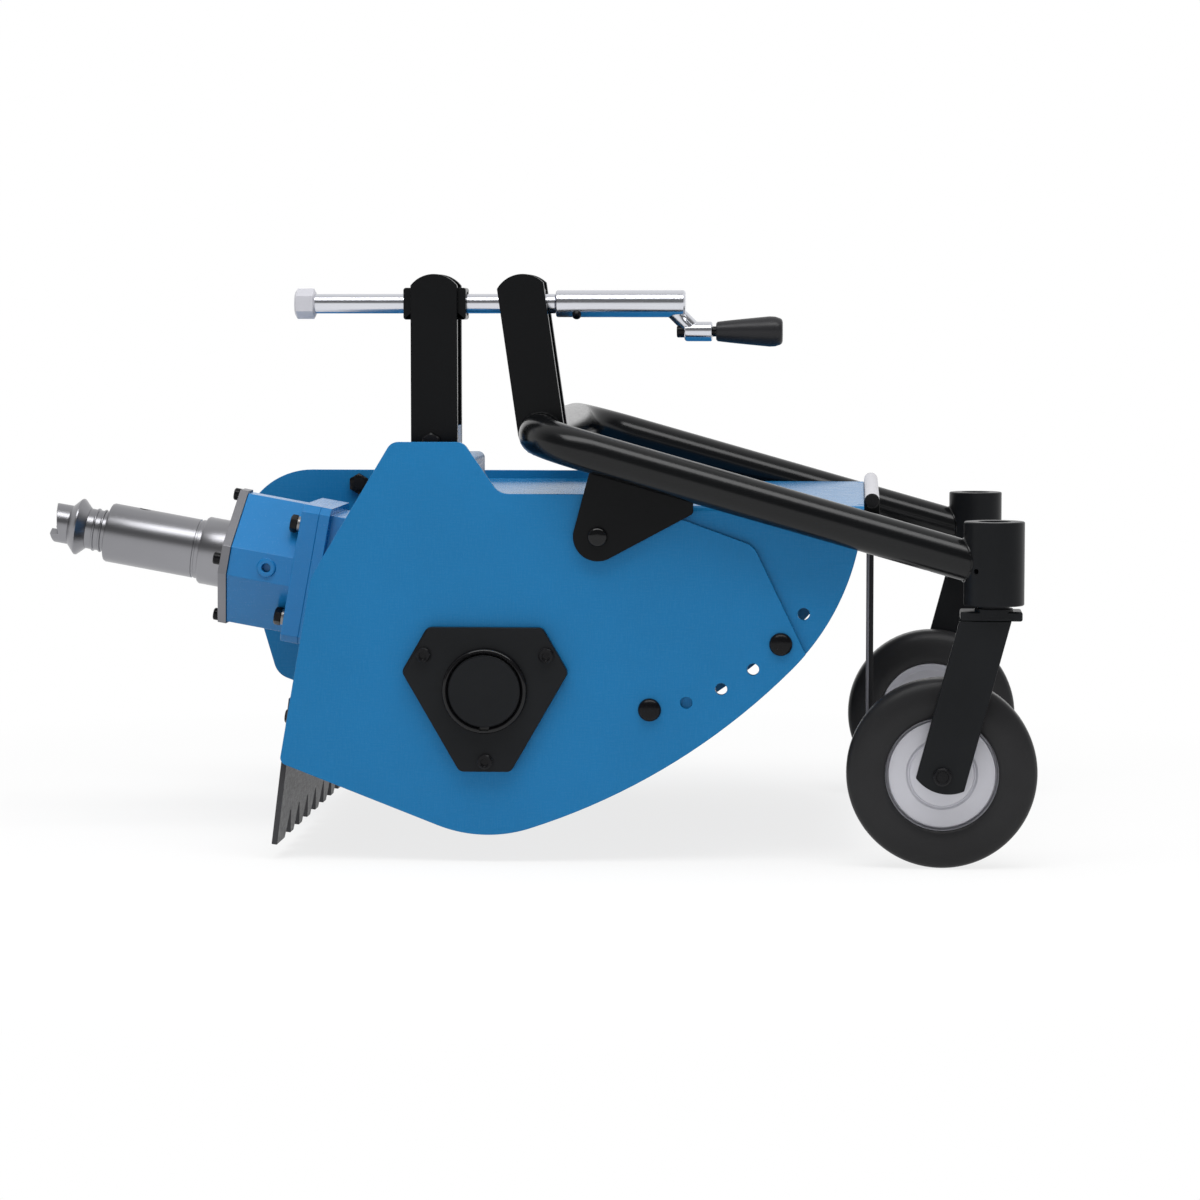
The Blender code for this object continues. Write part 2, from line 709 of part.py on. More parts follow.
def make_side_plate(name, side, outline):
    bm = bmesh.new()
    faces = sorted((side * PLATE_IN, side * PLATE_OUT))
    prism(bm, outline, *faces)
    plate = finish(name, bm, "blue_paint")
    holes = bmesh.new()
    span = (side * PLATE_IN - PAST, side * PLATE_OUT + PAST)
    bores = [(ROTOR_AXIS, PLATE_BORE, ROUND)]
    for index in range(PLATE_HOLES):
        if index not in HOOD_BOLTED:
            bores.append((hood_hole(index), HOOD_BOLT_RADIUS + BOLT_PLAY, BOLT))
    for spot in bearing_screw_spots():
        bores.append((spot, FLANGE_SCREW[0] + BOLT_PLAY, BOLT))
    if side == RIGHT:
        bores.append((BEVEL_CENTRE, CROSS_RADIUS + CROSS_PLAY, ROD))
        for spot in cover_screw_spots():
            bores.append((spot, COVER_SCREW[0] + BOLT_PLAY, BOLT))
    for spot, radius, count in bores:
        drill(holes, radius, *span, at(spot), Y_AXIS, count)
    combine(plate, add_cutter(name + "_holes", holes))

    bolts = bmesh.new()
    cheek = PLATE + GAP + HOOD_SHEET + GAP
    for index in HOOD_BOLTED:
        add_domed_bolt(bolts, at(hood_hole(index), side * PLATE_OUT), side * Y_AXIS,
                       cheek + NUT_HEIGHT + BOLT_OVER, cheek)
    if side == RIGHT:
        add_bolt(bolts, at(FAR_BOLT, PLATE_IN), -Y_AXIS, FAR_BOLT_SIZE, -FUSE,
                 PLATE + NUT_HEIGHT + BOLT_OVER, PLATE - FUSE)
    seat, spacer_end, outside = pivot_spans()
    nut = PLATE_IN + FUSE
    way = side * Y_AXIS
    turn(bolts, [
        (nut - NUT_HEIGHT, NUT_FLAT), (nut, NUT_FLAT), (nut, PIVOT_BOLT_RADIUS),
        (seat - FUSE, PIVOT_BOLT_RADIUS), (seat - FUSE, SPACER_RADIUS), (spacer_end, SPACER_RADIUS),
        (spacer_end, PIVOT_BOLT_RADIUS), (outside, PIVOT_BOLT_RADIUS), (outside, PIVOT_WASHER),
        (outside + PIVOT_WASHER_THICK, PIVOT_WASHER),
        (outside + PIVOT_WASHER_THICK, 0.85 * PIVOT_WASHER),
        (outside + PIVOT_HEAD, 0.8 * PIVOT_WASHER),
    ], at(FRAME_PIVOT), way, ROD)
    combine(plate, add_cutter(name + "_bolts", bolts), "UNION")


# Deck, rear wall, hood and comb
def wall_path():
    """Middle of the sheet from the deck's front edge over the rear wall to its foot."""
    middle = DECK_TOP - 0.5 * SHEET
    bend = drive_xz(WALL_U, WALL_BEND_V)
    foot_x = bend[0] - (bend[1] - WALL_FOOT_Z) * tan(COMB_TILT)
    return rounded([
        (DECK_FRONT_X, middle),
        (DECK_REAR_X, middle, DECK_BEND),
        (*drive_xz(WALL_U, WALL_TOP_V), DECK_BEND),
        (*bend, DECK_BEND),
        (foot_x, WALL_FOOT_Z),
    ], closed=False)


def comb_frame():
    """Origin on the comb's front face at its foot, and the way up along it."""
    bend = Vector(drive_xz(WALL_U, WALL_BEND_V))
    up = Vector((sin(COMB_TILT), cos(COMB_TILT)))
    back = Vector((-up.y, up.x))
    face = bend + back * (0.5 * SHEET + GAP)
    foot = face + up * ((COMB_BOTTOM - face.y) / up.y)
    return Vector((foot.x, 0, foot.y)), Vector((up.x, 0, up.y)), Vector((back.x, 0, back.y))


def make_deck():
    bm = bmesh.new()
    prism(bm, sheet_outline(wall_path(), SHEET), -INSIDE, INSIDE)
    deck = finish("top_deck", bm, "blue_paint")
    holes = bmesh.new()
    foot, up, back = comb_frame()
    for y in COMB_BOLT_Y:
        spot = foot + up * (COMB_BOLT_Z - COMB_BOTTOM) / up.z + y * Y_AXIS
        drill(holes, COMB_BOLT[0] + BOLT_PLAY, -SHEET - PAST, PAST, spot, back)
    combine(deck, add_cutter("top_deck_holes", holes))


def make_comb():
    foot, up, back = comb_frame()
    high = (COMB_TOP - COMB_BOTTOM) / up.z
    tip = 0.5 * COMB_TIP
    outline = [(-INSIDE, high), (-INSIDE, 0)]
    first = -0.5 * (COMB_TEETH - 1) * COMB_PITCH
    for i in range(COMB_TEETH):
        middle = first + i * COMB_PITCH
        if i:
            outline.append((middle - tip, 0))
        if i < COMB_TEETH - 1:
            outline.append((middle + tip, 0))
            outline.append((middle + 0.5 * COMB_PITCH, COMB_NOTCH_DEEP))
    outline += [(INSIDE, 0), (INSIDE, high)]
    bm = bmesh.new()
    prism(bm, outline, 0, COMB_THICK, foot, Y_AXIS, up, back)
    comb = finish("rear_comb", bm, "black_steel")
    bolts = bmesh.new()
    nut_at = COMB_THICK + GAP + SHEET + GAP
    for y in COMB_BOLT_Y:
        spot = foot + up * (COMB_BOLT_Z - COMB_BOTTOM) / up.z + y * Y_AXIS + COMB_THICK * back
        add_bolt(bolts, spot, back, COMB_BOLT, -FUSE, nut_at + NUT_HEIGHT + BOLT_OVER, nut_at)
    combine(comb, add_cutter("rear_comb_bolts", bolts), "UNION")


def make_hood():
    """One sheet bent into a channel, its cheeks cut to the side plates' edge."""
    wall = HOOD_SHEET
    bm = bmesh.new()
    channel = [
        (-INSIDE, 0), (-INSIDE, DECK_TOP), (INSIDE, DECK_TOP), (INSIDE, 0),
        (INSIDE - wall, 0), (INSIDE - wall, DECK_TOP - wall),
        (-INSIDE + wall, DECK_TOP - wall), (-INSIDE + wall, 0),
    ]
    prism(bm, channel, HOOD_REAR_X, HOOD_FRONT_X, Vector(), Y_AXIS, Z_AXIS, X_AXIS)
    hood = finish("front_hood", bm, "blue_paint")
    shape = bmesh.new()
    edge = [point for point in lower_edge()[0] if point[0] > HOOD_REAR_X - PAST]
    outline = [(HOOD_REAR_X - PAST, DECK_TOP + PAST), (HOOD_FRONT_X + PAST, DECK_TOP + PAST),
               (HOOD_FRONT_X + PAST, DECK_TOP - wall), (edge[0][0], DECK_TOP - wall - GAP), *edge[1:]]
    outline.append((HOOD_REAR_X - PAST, edge[-1][1]))
    prism(shape, outline, -PLATE_OUT, PLATE_OUT)
    combine(hood, add_cutter("front_hood_shape", shape), "INTERSECT")
    holes = bmesh.new()
    radius = HOOD_BOLT_RADIUS + BOLT_PLAY
    for index in range(HOOD_HOLES):
        spot = at(hood_hole(index))
        for side in (LEFT, RIGHT):
            middle = side * (INSIDE - 0.5 * wall)
            drill(holes, radius, middle - wall, middle + wall, spot, Y_AXIS)
    arm = (HINGE_HALF - HANGER_PLAY, HINGE_HALF + GAP + HANGER_ARM + HANGER_PLAY)
    for side in (LEFT, RIGHT):
        block(holes, (HOOD_FRONT_X - HANGER_NOTCH, HOOD_FRONT_X + PAST),
              sorted((side * arm[0], side * arm[1])), (DECK_TOP - wall - PAST, DECK_TOP + PAST))
    combine(hood, add_cutter("front_hood_holes", holes))


def add_bolt(bm, seat, way, size, sink, length, nut_at=None):
    """A hexagon bolt whose head stands on a seat, with its shank running in against way.

    The size is (shank radius, half width of the head over its flats, head height). The head
    starts at sink, above the seat or fused below it, and a nut may stand at nut_at.
    """
    radius, flat, high = size
    rings = [ring_of(seat - length * way, way, radius, HEX)]
    if nut_at:
        rings += [
            ring_of(seat - (nut_at + NUT_HEIGHT) * way, way, radius, HEX),
            hex_ring(seat - (nut_at + NUT_HEIGHT) * way, way, flat),
            hex_ring(seat - nut_at * way, way, flat),
            ring_of(seat - nut_at * way, way, radius, HEX),
        ]
    rings += [
        ring_of(seat + sink * way, way, radius, HEX),
        hex_ring(seat + sink * way, way, flat),
        hex_ring(seat + (sink + high) * way, way, flat),
    ]
    skin(bm, rings)


def add_cap_screw(bm, seat, way, size, sink, length, nut_at=None):
    """A round headed screw, placed as add_bolt places a bolt."""
    radius, head, high = size
    profile = [(-length, radius)]
    if nut_at:
        profile += [(-nut_at - NUT_HEIGHT, radius), (-nut_at - NUT_HEIGHT, head),
                    (-nut_at, head), (-nut_at, radius)]
    profile += [(sink, radius), (sink, head), (sink + high, head)]
    turn(bm, profile, seat, way, BOLT)


def add_domed_bolt(bm, seat, way, length, nut_at):
    """A carriage bolt: a smooth domed head, fused to its seat."""
    profile = [(-length, HOOD_BOLT_RADIUS), (-nut_at - NUT_HEIGHT, HOOD_BOLT_RADIUS),
               (-nut_at - NUT_HEIGHT, NUT_FLAT), (-nut_at, NUT_FLAT), (-nut_at, HOOD_BOLT_RADIUS),
               (-FUSE, HOOD_BOLT_RADIUS), (-FUSE, HOOD_BOLT_HEAD)]
    for angle in (0, 30, 60):
        profile.append((FUSE + HOOD_BOLT_DOME * sin(radians(angle)),
                        HOOD_BOLT_HEAD * cos(radians(angle))))
    turn(bm, profile, seat, way, HOOD_BOLT_SIDES)


# Gearbox and its drive line
def eight_sided(long, flat):
    return [(flat, long), (long, flat), (long, -flat), (flat, -long),
            (-flat, -long), (-long, -flat), (-long, flat), (-flat, long)]


def drive_ring(outline, u):
    return [drive_point(u, v, y) for y, v in outline]


def make_gearbox():
    section = eight_sided(BOX_LONG, BOX_FLAT)
    square = eight_sided(BOX_FLANGE, BOX_FLANGE - BOX_CHAMFER)
    bm = bmesh.new()
    skin(bm, [
        drive_ring(section, BOX_U[1]), drive_ring(section, BOX_U[0]),
        drive_ring(square, BOX_U[0]), drive_ring(square, BOX_FLANGE_U),
    ])
    housing = finish("gearbox_housing", bm, "blue_paint")
    boss = bmesh.new()
    turn(boss, [(-BOX_LONG - SIDE_BOSS, SIDE_BOSS_RADIUS), (-BOX_LONG + PAST, SIDE_BOSS_RADIUS)],
         BEVEL, Y_AXIS, ROD)
    turn(boss, [(SHAFT_BOSS_FROM, TUBE_RADIUS), (BOX_FLANGE, TUBE_RADIUS)], BEVEL, Y_AXIS, ROUND)
    combine(housing, add_cutter("gearbox_bosses", boss), "UNION")
    holes = bmesh.new()
    drill(holes, CAVITY_RADIUS, CAVITY_U, BOX_U[1] + PAST, BEVEL, U_AXIS, ROUND)
    combine(housing, add_cutter("gearbox_cavity", holes))
    bores = bmesh.new()
    drill(bores, CROSS_BEARING + GAP, SHAFT_BOSS_FROM, BOX_FLANGE + PAST, BEVEL, Y_AXIS, ROUND)
    drill(bores, SIDE_BOSS_HOLE, -BOX_LONG - PAST, SIDE_BOSS_DEEP - BOX_LONG, BEVEL, Y_AXIS)
    for y, v in box_bolt_spots():
        drill(bores, BOX_BOLT_SIZE[0] + BOLT_PLAY, BOX_FLANGE_U - PAST, BOX_U[0] + PAST,
              drive_point(0, v, y), U_AXIS)
    combine(housing, add_cutter("gearbox_bores", bores))


def box_bolt_spots():
    return [(a * BOX_BOLT, b * BOX_BOLT) for a in (-1, 1) for b in (-1, 1)]


def make_adapter():
    """A square flange and the box that stands it on the rear wall."""
    plate = bmesh.new()
    square = eight_sided(BOX_FLANGE, BOX_FLANGE - BOX_CHAMFER)
    skin(plate, [drive_ring(square, BOX_FLANGE_U - GAP), drive_ring(square, ADAPTER_U)])
    path = wall_path()
    outer = offset_path(path, -(0.5 * SHEET + GAP))
    top_way = Vector(drive_xz(1)) - Vector(drive_xz(0))
    top = drive_xz(0, ADAPTER_HALF_HIGH)
    bottom = drive_xz(0, -ADAPTER_HALF_HIGH)
    start = None
    outline = []
    for before, here in zip(outer, outer[1:]):
        way = Vector(here) - Vector(before)
        for level in (top, bottom):
            if way.length < 0.01:
                continue
            spot = meet(level, top_way, before, way)
            if 0 <= (spot - Vector(before)).dot(way) <= way.length_squared:
                outline.append(tuple(spot))
                start = not start
        if start:
            outline.append(here)
    outline.append(drive_xz(ADAPTER_U + FUSE, -ADAPTER_HALF_HIGH))
    outline.append(drive_xz(ADAPTER_U + FUSE, ADAPTER_HALF_HIGH))
    bm = bmesh.new()
    prism(bm, outline, -ADAPTER_HALF_WIDE, ADAPTER_HALF_WIDE)
    adapter = finish("gearbox_adapter", plate, "blue_paint")
    combine(adapter, add_cutter("gearbox_adapter_box", bm), "UNION")
    bolts = bmesh.new()
    for y, v in box_bolt_spots():
        add_bolt(bolts, drive_point(BOX_U[0], v, y), U_AXIS, BOX_BOLT_SIZE, GAP,
                 BOX_U[0] - BOX_FLANGE_U + GAP + FUSE)
    combine(adapter, add_cutter("gearbox_adapter_bolts", bolts), "UNION")


def front_screw_spots():
    return [(0, FRONT_SCREW_CIRCLE), (FRONT_SCREW_CIRCLE, 0),
            (0, -FRONT_SCREW_CIRCLE), (-FRONT_SCREW_CIRCLE, 0)]


def make_front_flange():
    low = BOX_U[1] + GAP
    high = low + FRONT_FLANGE
    section = eight_sided(FRONT_FLANGE_LONG, BOX_FLAT)
    bm = bmesh.new()
    skin(bm, [drive_ring(section, low), drive_ring(section, high)])
    flange = finish("front_flange", bm, "grey_steel")
    holes = bmesh.new()
    drill(holes, SLEEVE_BORE, low - PAST, high + PAST, BEVEL, U_AXIS, ROUND)
    combine(flange, add_cutter("front_flange_hole", holes))
    screws = bmesh.new()
    for y, v in front_screw_spots():
        add_cap_screw(screws, drive_point(high, v, y), U_AXIS, FRONT_SCREW, -FUSE, 0.5 * FRONT_FLANGE)
    combine(flange, add_cutter("front_flange_screws", screws), "UNION")


def make_sleeve():
    low = BOX_U[1] + 2 * GAP + FRONT_FLANGE
    bore = clear(SLEEVE_BORE, ROUND)
    bm = bmesh.new()
    profile = ((low, bore), (low, SLEEVE_RING), (SLEEVE_RING_U - SLEEVE_RING_EDGE, SLEEVE_RING),
               (SLEEVE_RING_U, SLEEVE_RADIUS), (SLEEVE_U - SLEEVE_EDGE, SLEEVE_RADIUS),
               (SLEEVE_U, SLEEVE_RADIUS - SLEEVE_EDGE), (SLEEVE_U, bore))
    turn(bm, profile, BEVEL, U_AXIS, ROUND, closed=True)
    sleeve = finish("pto_sleeve", bm, "turned_steel")
    hole = bmesh.new()
    drill(hole, SLEEVE_HOLE, 0.5 * SLEEVE_BORE, SLEEVE_RADIUS + PAST,
          drive_point(SLEEVE_HOLE_U), V_AXIS, ROD)
    combine(sleeve, add_cutter("pto_sleeve_hole", hole))


def bevel_gear(bm, axis, toward, phase):
    """A one to one bevel gear about axis, its tooth or gap facing toward."""
    across = axis.cross(toward)
    lean = sqrt(0.5)

    def tooth_ring(scale):
        points = []
        for i in range(BEVEL_TEETH):
            middle = 2 * pi * (i + phase) / BEVEL_TEETH
            for angle, height in ((-BEVEL_ROOT, -BEVEL_DEDENDUM), (-BEVEL_TIP, BEVEL_ADDENDUM),
                                  (BEVEL_TIP, BEVEL_ADDENDUM), (BEVEL_ROOT, -BEVEL_DEDENDUM)):
                radius = scale * (BEVEL_RADIUS + height * lean)
                along = scale * (BEVEL_RADIUS - height * lean)
                turned = cos(middle + angle) * toward + sin(middle + angle) * across
                points.append(BEVEL + along * axis + radius * turned)
        return points

    def plain_ring(radius, along):
        points = []
        for i in range(BEVEL_TEETH):
            middle = 2 * pi * (i + phase) / BEVEL_TEETH
            for angle in (-BEVEL_ROOT, -BEVEL_TIP, BEVEL_TIP, BEVEL_ROOT):
                turned = cos(middle + angle) * toward + sin(middle + angle) * across
                points.append(BEVEL + along * axis + radius * turned)
        return points

    cone = sqrt(2) * BEVEL_RADIUS
    small = (cone - BEVEL_FACE) / cone
    bore = clear(CROSS_RADIUS + GAP, 2 * BEVEL_TEETH)
    front = small * (BEVEL_RADIUS + BEVEL_DEDENDUM * lean)
    skin(bm, [
        plain_ring(bore, BEVEL_BACK), plain_ring(BEVEL_HUB, BEVEL_BACK), tooth_ring(1.0),
        tooth_ring(small), plain_ring(bore, front),
    ], closed=True)


def make_input():
    """The shaft that the tractor turns: bevel pinion, neck and claw coupling."""
    bm = bmesh.new()
    neck = SLEEVE_U + GAP
    nose = BEVEL_BACK + GAP
    profile = [(SHAFT_FROM, CROSS_RADIUS), (nose, CROSS_RADIUS), (nose, INPUT_RADIUS),
               (neck, INPUT_RADIUS), (neck, INPUT_NECK)]
    long, high = INPUT_RING
    for ring in INPUT_RINGS:
        profile += [(ring, INPUT_NECK), (ring + 0.5 * long, INPUT_NECK + high),
                    (ring + long, INPUT_NECK)]
    profile += [(INPUT_NECK_U, INPUT_NECK), (INPUT_NECK_U, INPUT_NOSE), (INPUT_NOSE_U, INPUT_NOSE)]
    turn(bm, profile, BEVEL, U_AXIS, ROUND)
    finish("input_shaft", bm, "turned_steel", "input_spin")

    bm = bmesh.new()
    bevel_gear(bm, U_AXIS, Y_AXIS, 0.0)
    finish("bevel_pinion", bm, "forged_steel", "input_spin")

    bm = bmesh.new()
    angles = []
    heights = []
    for jaw in range(DOG_JAWS):
        start = 2 * pi * jaw / DOG_JAWS
        for k in range(DOG_FACETS + 1):
            share = k / DOG_FACETS
            angles.append(start + (2 * pi / DOG_JAWS - DOG_STEP) * share)
            heights.append(DOG_U[1] + (DOG_U[2] - DOG_U[1]) * share)

    def dog_ring(radius, levels):
        return [
            drive_point(u, radius * cos(angle), radius * sin(angle))
            for angle, u in zip(angles, levels)
        ]

    flat = [1.0] * len(angles)
    low = INPUT_NECK_U + GAP
    skin(bm, [
        dog_ring(DOG_BORE, [low for _ in flat]),
        dog_ring(INPUT_NECK, [low for _ in flat]),
        dog_ring(COLLAR_RADIUS, [COLLAR_U - EDGE_BREAK for _ in flat]),
        dog_ring(COLLAR_RADIUS, [COLLAR_U + EDGE_BREAK for _ in flat]),
        dog_ring(DOG_RADIUS, [DOG_U[0] for _ in flat]),
        dog_ring(DOG_RADIUS, heights),
        dog_ring(DOG_BORE, heights),
    ], closed=True)
    finish("coupling_dog", bm, "turned_steel", "input_spin")


def make_cross():
    """The shaft from the gearbox to the far side, with its gear and pulley."""
    bm = bmesh.new()
    turn(bm, [(SHAFT_FROM, CROSS_RADIUS), (PULLEY_Y[1] + SHAFT_OVER, CROSS_RADIUS)], BEVEL, Y_AXIS, ROUND)
    finish("cross_shaft", bm, "turned_steel", "cross_spin")
    bm = bmesh.new()
    bevel_gear(bm, Y_AXIS, U_AXIS, 0.5)
    finish("bevel_gear", bm, "forged_steel", "cross_spin")
    bm = bmesh.new()
    pulley(bm, at(BEVEL_CENTRE), DRIVE_GROOVE)
    finish("drive_pulley", bm, "forged_steel", "cross_spin")


def pulley(bm, origin, groove):
    """A grooved pulley on its shaft, the groove as wide as the belt with its play."""
    middle = 0.5 * (PULLEY_Y[0] + PULLEY_Y[1])
    half = 0.5 * BELT_WIDE + GAP
    lip = groove + PULLEY_LIP
    bore = clear(CROSS_RADIUS + GAP, ROUND)
    profile = ((PULLEY_Y[0], bore), (PULLEY_Y[0], lip), (middle - half, lip),
               (middle - half, groove), (middle + half, groove), (middle + half, lip),
               (PULLEY_Y[1], lip), (PULLEY_Y[1], bore))
    turn(bm, profile, origin, Y_AXIS, ROUND, closed=True)


def belt_ring(radius_more, y):
    outline = belt_outline(BEVEL_CENTRE, DRIVE_GROOVE + radius_more,
                           ROTOR_AXIS, DRIVEN_GROOVE + radius_more)
    return [at(point, y) for point in outline]


def make_belt_drive():
    middle = 0.5 * (PULLEY_Y[0] + PULLEY_Y[1])
    low, high = middle - 0.5 * BELT_WIDE, middle + 0.5 * BELT_WIDE
    inner, outer = BELT_RUN, BELT_RUN + BELT_THICK
    bm = bmesh.new()
    skin(bm, [belt_ring(inner, low), belt_ring(outer, low), belt_ring(outer, high),
              belt_ring(inner, high)], closed=True)
    finish("drive_belt", bm, "rubber")
    bm = bmesh.new()
    hollow = outer + COVER_ROOM
    skinned = hollow + COVER_WALL
    rim = skinned + COVER_RIM
    seat = PLATE_OUT + GAP
    skin(bm, [
        belt_ring(hollow, COVER_OUT - COVER_WALL), belt_ring(hollow, seat), belt_ring(rim, seat),
        belt_ring(rim, seat + COVER_WALL), belt_ring(skinned, seat + COVER_WALL),
        belt_ring(skinned, COVER_OUT - COVER_PRESS), belt_ring(skinned - COVER_PRESS, COVER_OUT),
    ])
    cover = finish("drive_cover", bm, "blue_paint")
    screws = bmesh.new()
    for spot in cover_screw_spots():
        add_cap_screw(screws, at(spot, seat + COVER_WALL), Y_AXIS, COVER_SCREW, -FUSE,
                      COVER_WALL + GAP + PLATE)
    combine(cover, add_cutter("drive_cover_screws", screws), "UNION")
    bm = bmesh.new()
    washer(bm, TUBE_RADIUS - TUBE_WALL, TUBE_RADIUS, BOX_FLANGE + GAP, PLATE_IN - GAP,
           BEVEL, Y_AXIS, ROUND)
    finish("cross_shaft_tube", bm, "blue_paint")


def cover_screw_spots():
    """Screws in the rim of the drive cover: round the big end and round the small one."""
    reach = BELT_RUN + BELT_THICK + COVER_ROOM + COVER_WALL + 0.5 * COVER_RIM
    big = screw_spots(BEVEL_CENTRE, DRIVE_GROOVE + reach, (100, 180, 260))
    small = screw_spots(ROTOR_AXIS, DRIVEN_GROOVE + reach, (20, -75))
    return big + small


# Bearings
def flange_outline():
    """Three flats round the rotor axis, the top one level, joined by cut corners."""
    lean = acos(FLANGE_FLAT / FLANGE_CORNER)
    shape = []
    for middle in (90, 210, 330):
        for way in (-1, 1):
            angle = radians(middle) + way * lean
            shape.append((ROTOR_AXIS[0] + FLANGE_CORNER * cos(angle),
                          ROTOR_AXIS[1] + FLANGE_CORNER * sin(angle), FLANGE_ROUND))
    return rounded(shape)


def make_bearings():
    """The two flanged bearing units of the rotor, screwed to the side plates."""
    rotor = at(ROTOR_AXIS)
    outer = PLATE_OUT + GAP
    boss_end = outer + FLANGE_THICK + FLANGE_BOSS
    left = bmesh.new()
    prism(left, flange_outline(), -outer - FLANGE_THICK, -outer)
    housing = finish("left_bearing_housing", left, "black_steel")
    boss = bmesh.new()
    turn(boss, [(boss_end, FLANGE_BOSS_RADIUS - FLANGE_BOSS_EDGE),
                (boss_end - FLANGE_BOSS_EDGE, FLANGE_BOSS_RADIUS),
                (outer + FUSE, FLANGE_BOSS_RADIUS)], rotor, -Y_AXIS, ROUND)
    combine(housing, add_cutter("left_bearing_boss", boss), "UNION")
    bore = bmesh.new()
    floor = boss_end - CAP_THICK
    washer(bore, CAP_RADIUS - CAP_GROOVE, CAP_RADIUS, floor, boss_end + FUSE, rotor, -Y_AXIS, ROUND)
    drill(bore, BEARING_RADIUS + GAP, outer - FUSE, outer + BEARING_WIDE + GAP, rotor, -Y_AXIS, ROUND)
    combine(housing, add_cutter("left_bearing_bore", bore))
    screws = bmesh.new()
    nut_at = FLANGE_THICK + GAP + PLATE + GAP
    for spot in bearing_screw_spots():
        add_cap_screw(screws, at(spot, -outer - FLANGE_THICK), -Y_AXIS, FLANGE_SCREW, -FUSE,
                      nut_at + NUT_HEIGHT + BOLT_OVER, nut_at)
    combine(housing, add_cutter("left_bearing_screws", screws), "UNION")

    inner = PLATE_IN - GAP
    right = bmesh.new()
    prism(right, flange_outline(), inner - FLANGE_THICK, inner)
    housing = finish("right_bearing_housing", right, "black_steel")
    bore = bmesh.new()
    small = STUB_RADIUS + SMALL_BEARING + GAP
    drill(bore, small, inner - FLANGE_THICK - FUSE, inner + FUSE, rotor, Y_AXIS, ROUND)
    combine(housing, add_cutter("right_bearing_bore", bore))
    screws = bmesh.new()
    for spot in bearing_screw_spots():
        add_cap_screw(screws, at(spot, PLATE_OUT), Y_AXIS, FLANGE_SCREW, GAP,
                      PLATE + GAP + 0.5 * FLANGE_THICK)
    combine(housing, add_cutter("right_bearing_screws", screws), "UNION")

    for name, origin, axis, shaft, size, span in (
        ("left_rotor_bearing", rotor, Y_AXIS, STUB_RADIUS, BEARING_RADIUS,
         (-outer - BEARING_WIDE, -outer)),
        ("right_rotor_bearing", rotor, Y_AXIS, STUB_RADIUS, STUB_RADIUS + SMALL_BEARING,
         (inner - FLANGE_THICK, inner)),
        ("cross_bearing", BEVEL, Y_AXIS, CROSS_RADIUS, CROSS_BEARING,
         (BOX_FLANGE - BEARING_WIDE, BOX_FLANGE)),
        ("input_bearing", BEVEL, U_AXIS, INPUT_RADIUS, SLEEVE_BORE - GAP,
         (INPUT_BEARING_U, INPUT_BEARING_U + BEARING_WIDE)),
    ):
        bm = bmesh.new()
        washer(bm, shaft + RUN, size, *span, origin, axis, ROUND)
        finish(name, bm, "turned_steel")


# Rotor
def hammer_place(index):
    """Angle of a hammer's row round the rotor and its place along it."""
    angle = radians(45) + 2 * pi * (index % HAMMER_ROWS) / HAMMER_ROWS
    middle = 0.5 * (ROTOR_TUBE_ENDS[0] + ROTOR_TUBE_ENDS[1])
    return angle, middle + (index - 0.5 * (HAMMERS - 1)) * HAMMER_PITCH


def hammer_pin(index):
    angle, y = hammer_place(index)
    return at((ROTOR_AXIS[0] + PIN_CIRCLE * cos(angle), ROTOR_AXIS[1] + PIN_CIRCLE * sin(angle)), y)


def make_rotor():
    bm = bmesh.new()
    left, right = ROTOR_TUBE_ENDS
    outer = PLATE_OUT + GAP + BEARING_WIDE
    edge = ROTOR_TUBE_EDGE
    stub = PLATE_OUT + STUB_OVER
    turn(bm, [(-outer, STUB_RADIUS), (left, STUB_RADIUS), (left, ROTOR_TUBE_RADIUS - edge),
              (left + edge, ROTOR_TUBE_RADIUS), (right - edge, ROTOR_TUBE_RADIUS),
              (right, ROTOR_TUBE_RADIUS - edge), (right, STUB_RADIUS), (stub, STUB_RADIUS),
              (stub, CROSS_RADIUS), (PULLEY_Y[1] + SHAFT_OVER, CROSS_RADIUS)],
         at(ROTOR_AXIS), Y_AXIS, ROUND)
    tube = finish("rotor_tube", bm, "forged_steel", "rotor_spin")

    lugs = bmesh.new()
    pins = bmesh.new()
    for index in range(HAMMERS):
        angle, y = hammer_place(index)
        out = Vector((cos(angle), 0, sin(angle)))
        across = Vector((-sin(angle), 0, cos(angle)))
        for side in (LEFT, RIGHT):
            near = y + side * 0.5 * LUG_SLOT
            faces = sorted((near, near + side * LUG_THICK))
            prism(lugs, lug_outline(), *faces, at(ROTOR_AXIS), out, across)
        head = 0.5 * LUG_SLOT + LUG_THICK - FUSE
        turn(pins, [(-head - PIN_HEAD, PIN_HEAD_RADIUS), (-head, PIN_HEAD_RADIUS),
                    (-head, PIN_RADIUS), (head + PIN_HEAD, PIN_RADIUS)],
             hammer_pin(index), Y_AXIS, BOLT)
    combine(tube, add_cutter("rotor_lugs", lugs), "UNION")
    combine(tube, add_cutter("hammer_pins", pins), "UNION")

    bm = bmesh.new()
    pulley(bm, at(ROTOR_AXIS), DRIVEN_GROOVE)
    finish("driven_pulley", bm, "forged_steel", "rotor_spin")


def lug_outline():
    """A lug from inside the rotor tube out round the pin, along and across its own row."""
    foot = sqrt(ROTOR_TUBE_RADIUS ** 2 - LUG_FOOT ** 2) - 2 * FUSE
    facets = 4
    points = [(foot, -LUG_FOOT)]
    for k in range(facets + 1):
        angle = pi * (k / facets - 0.5)
        points.append((PIN_CIRCLE + LUG_ROUND * cos(angle), LUG_ROUND * sin(angle)))
    return [*points, (foot, LUG_FOOT)]


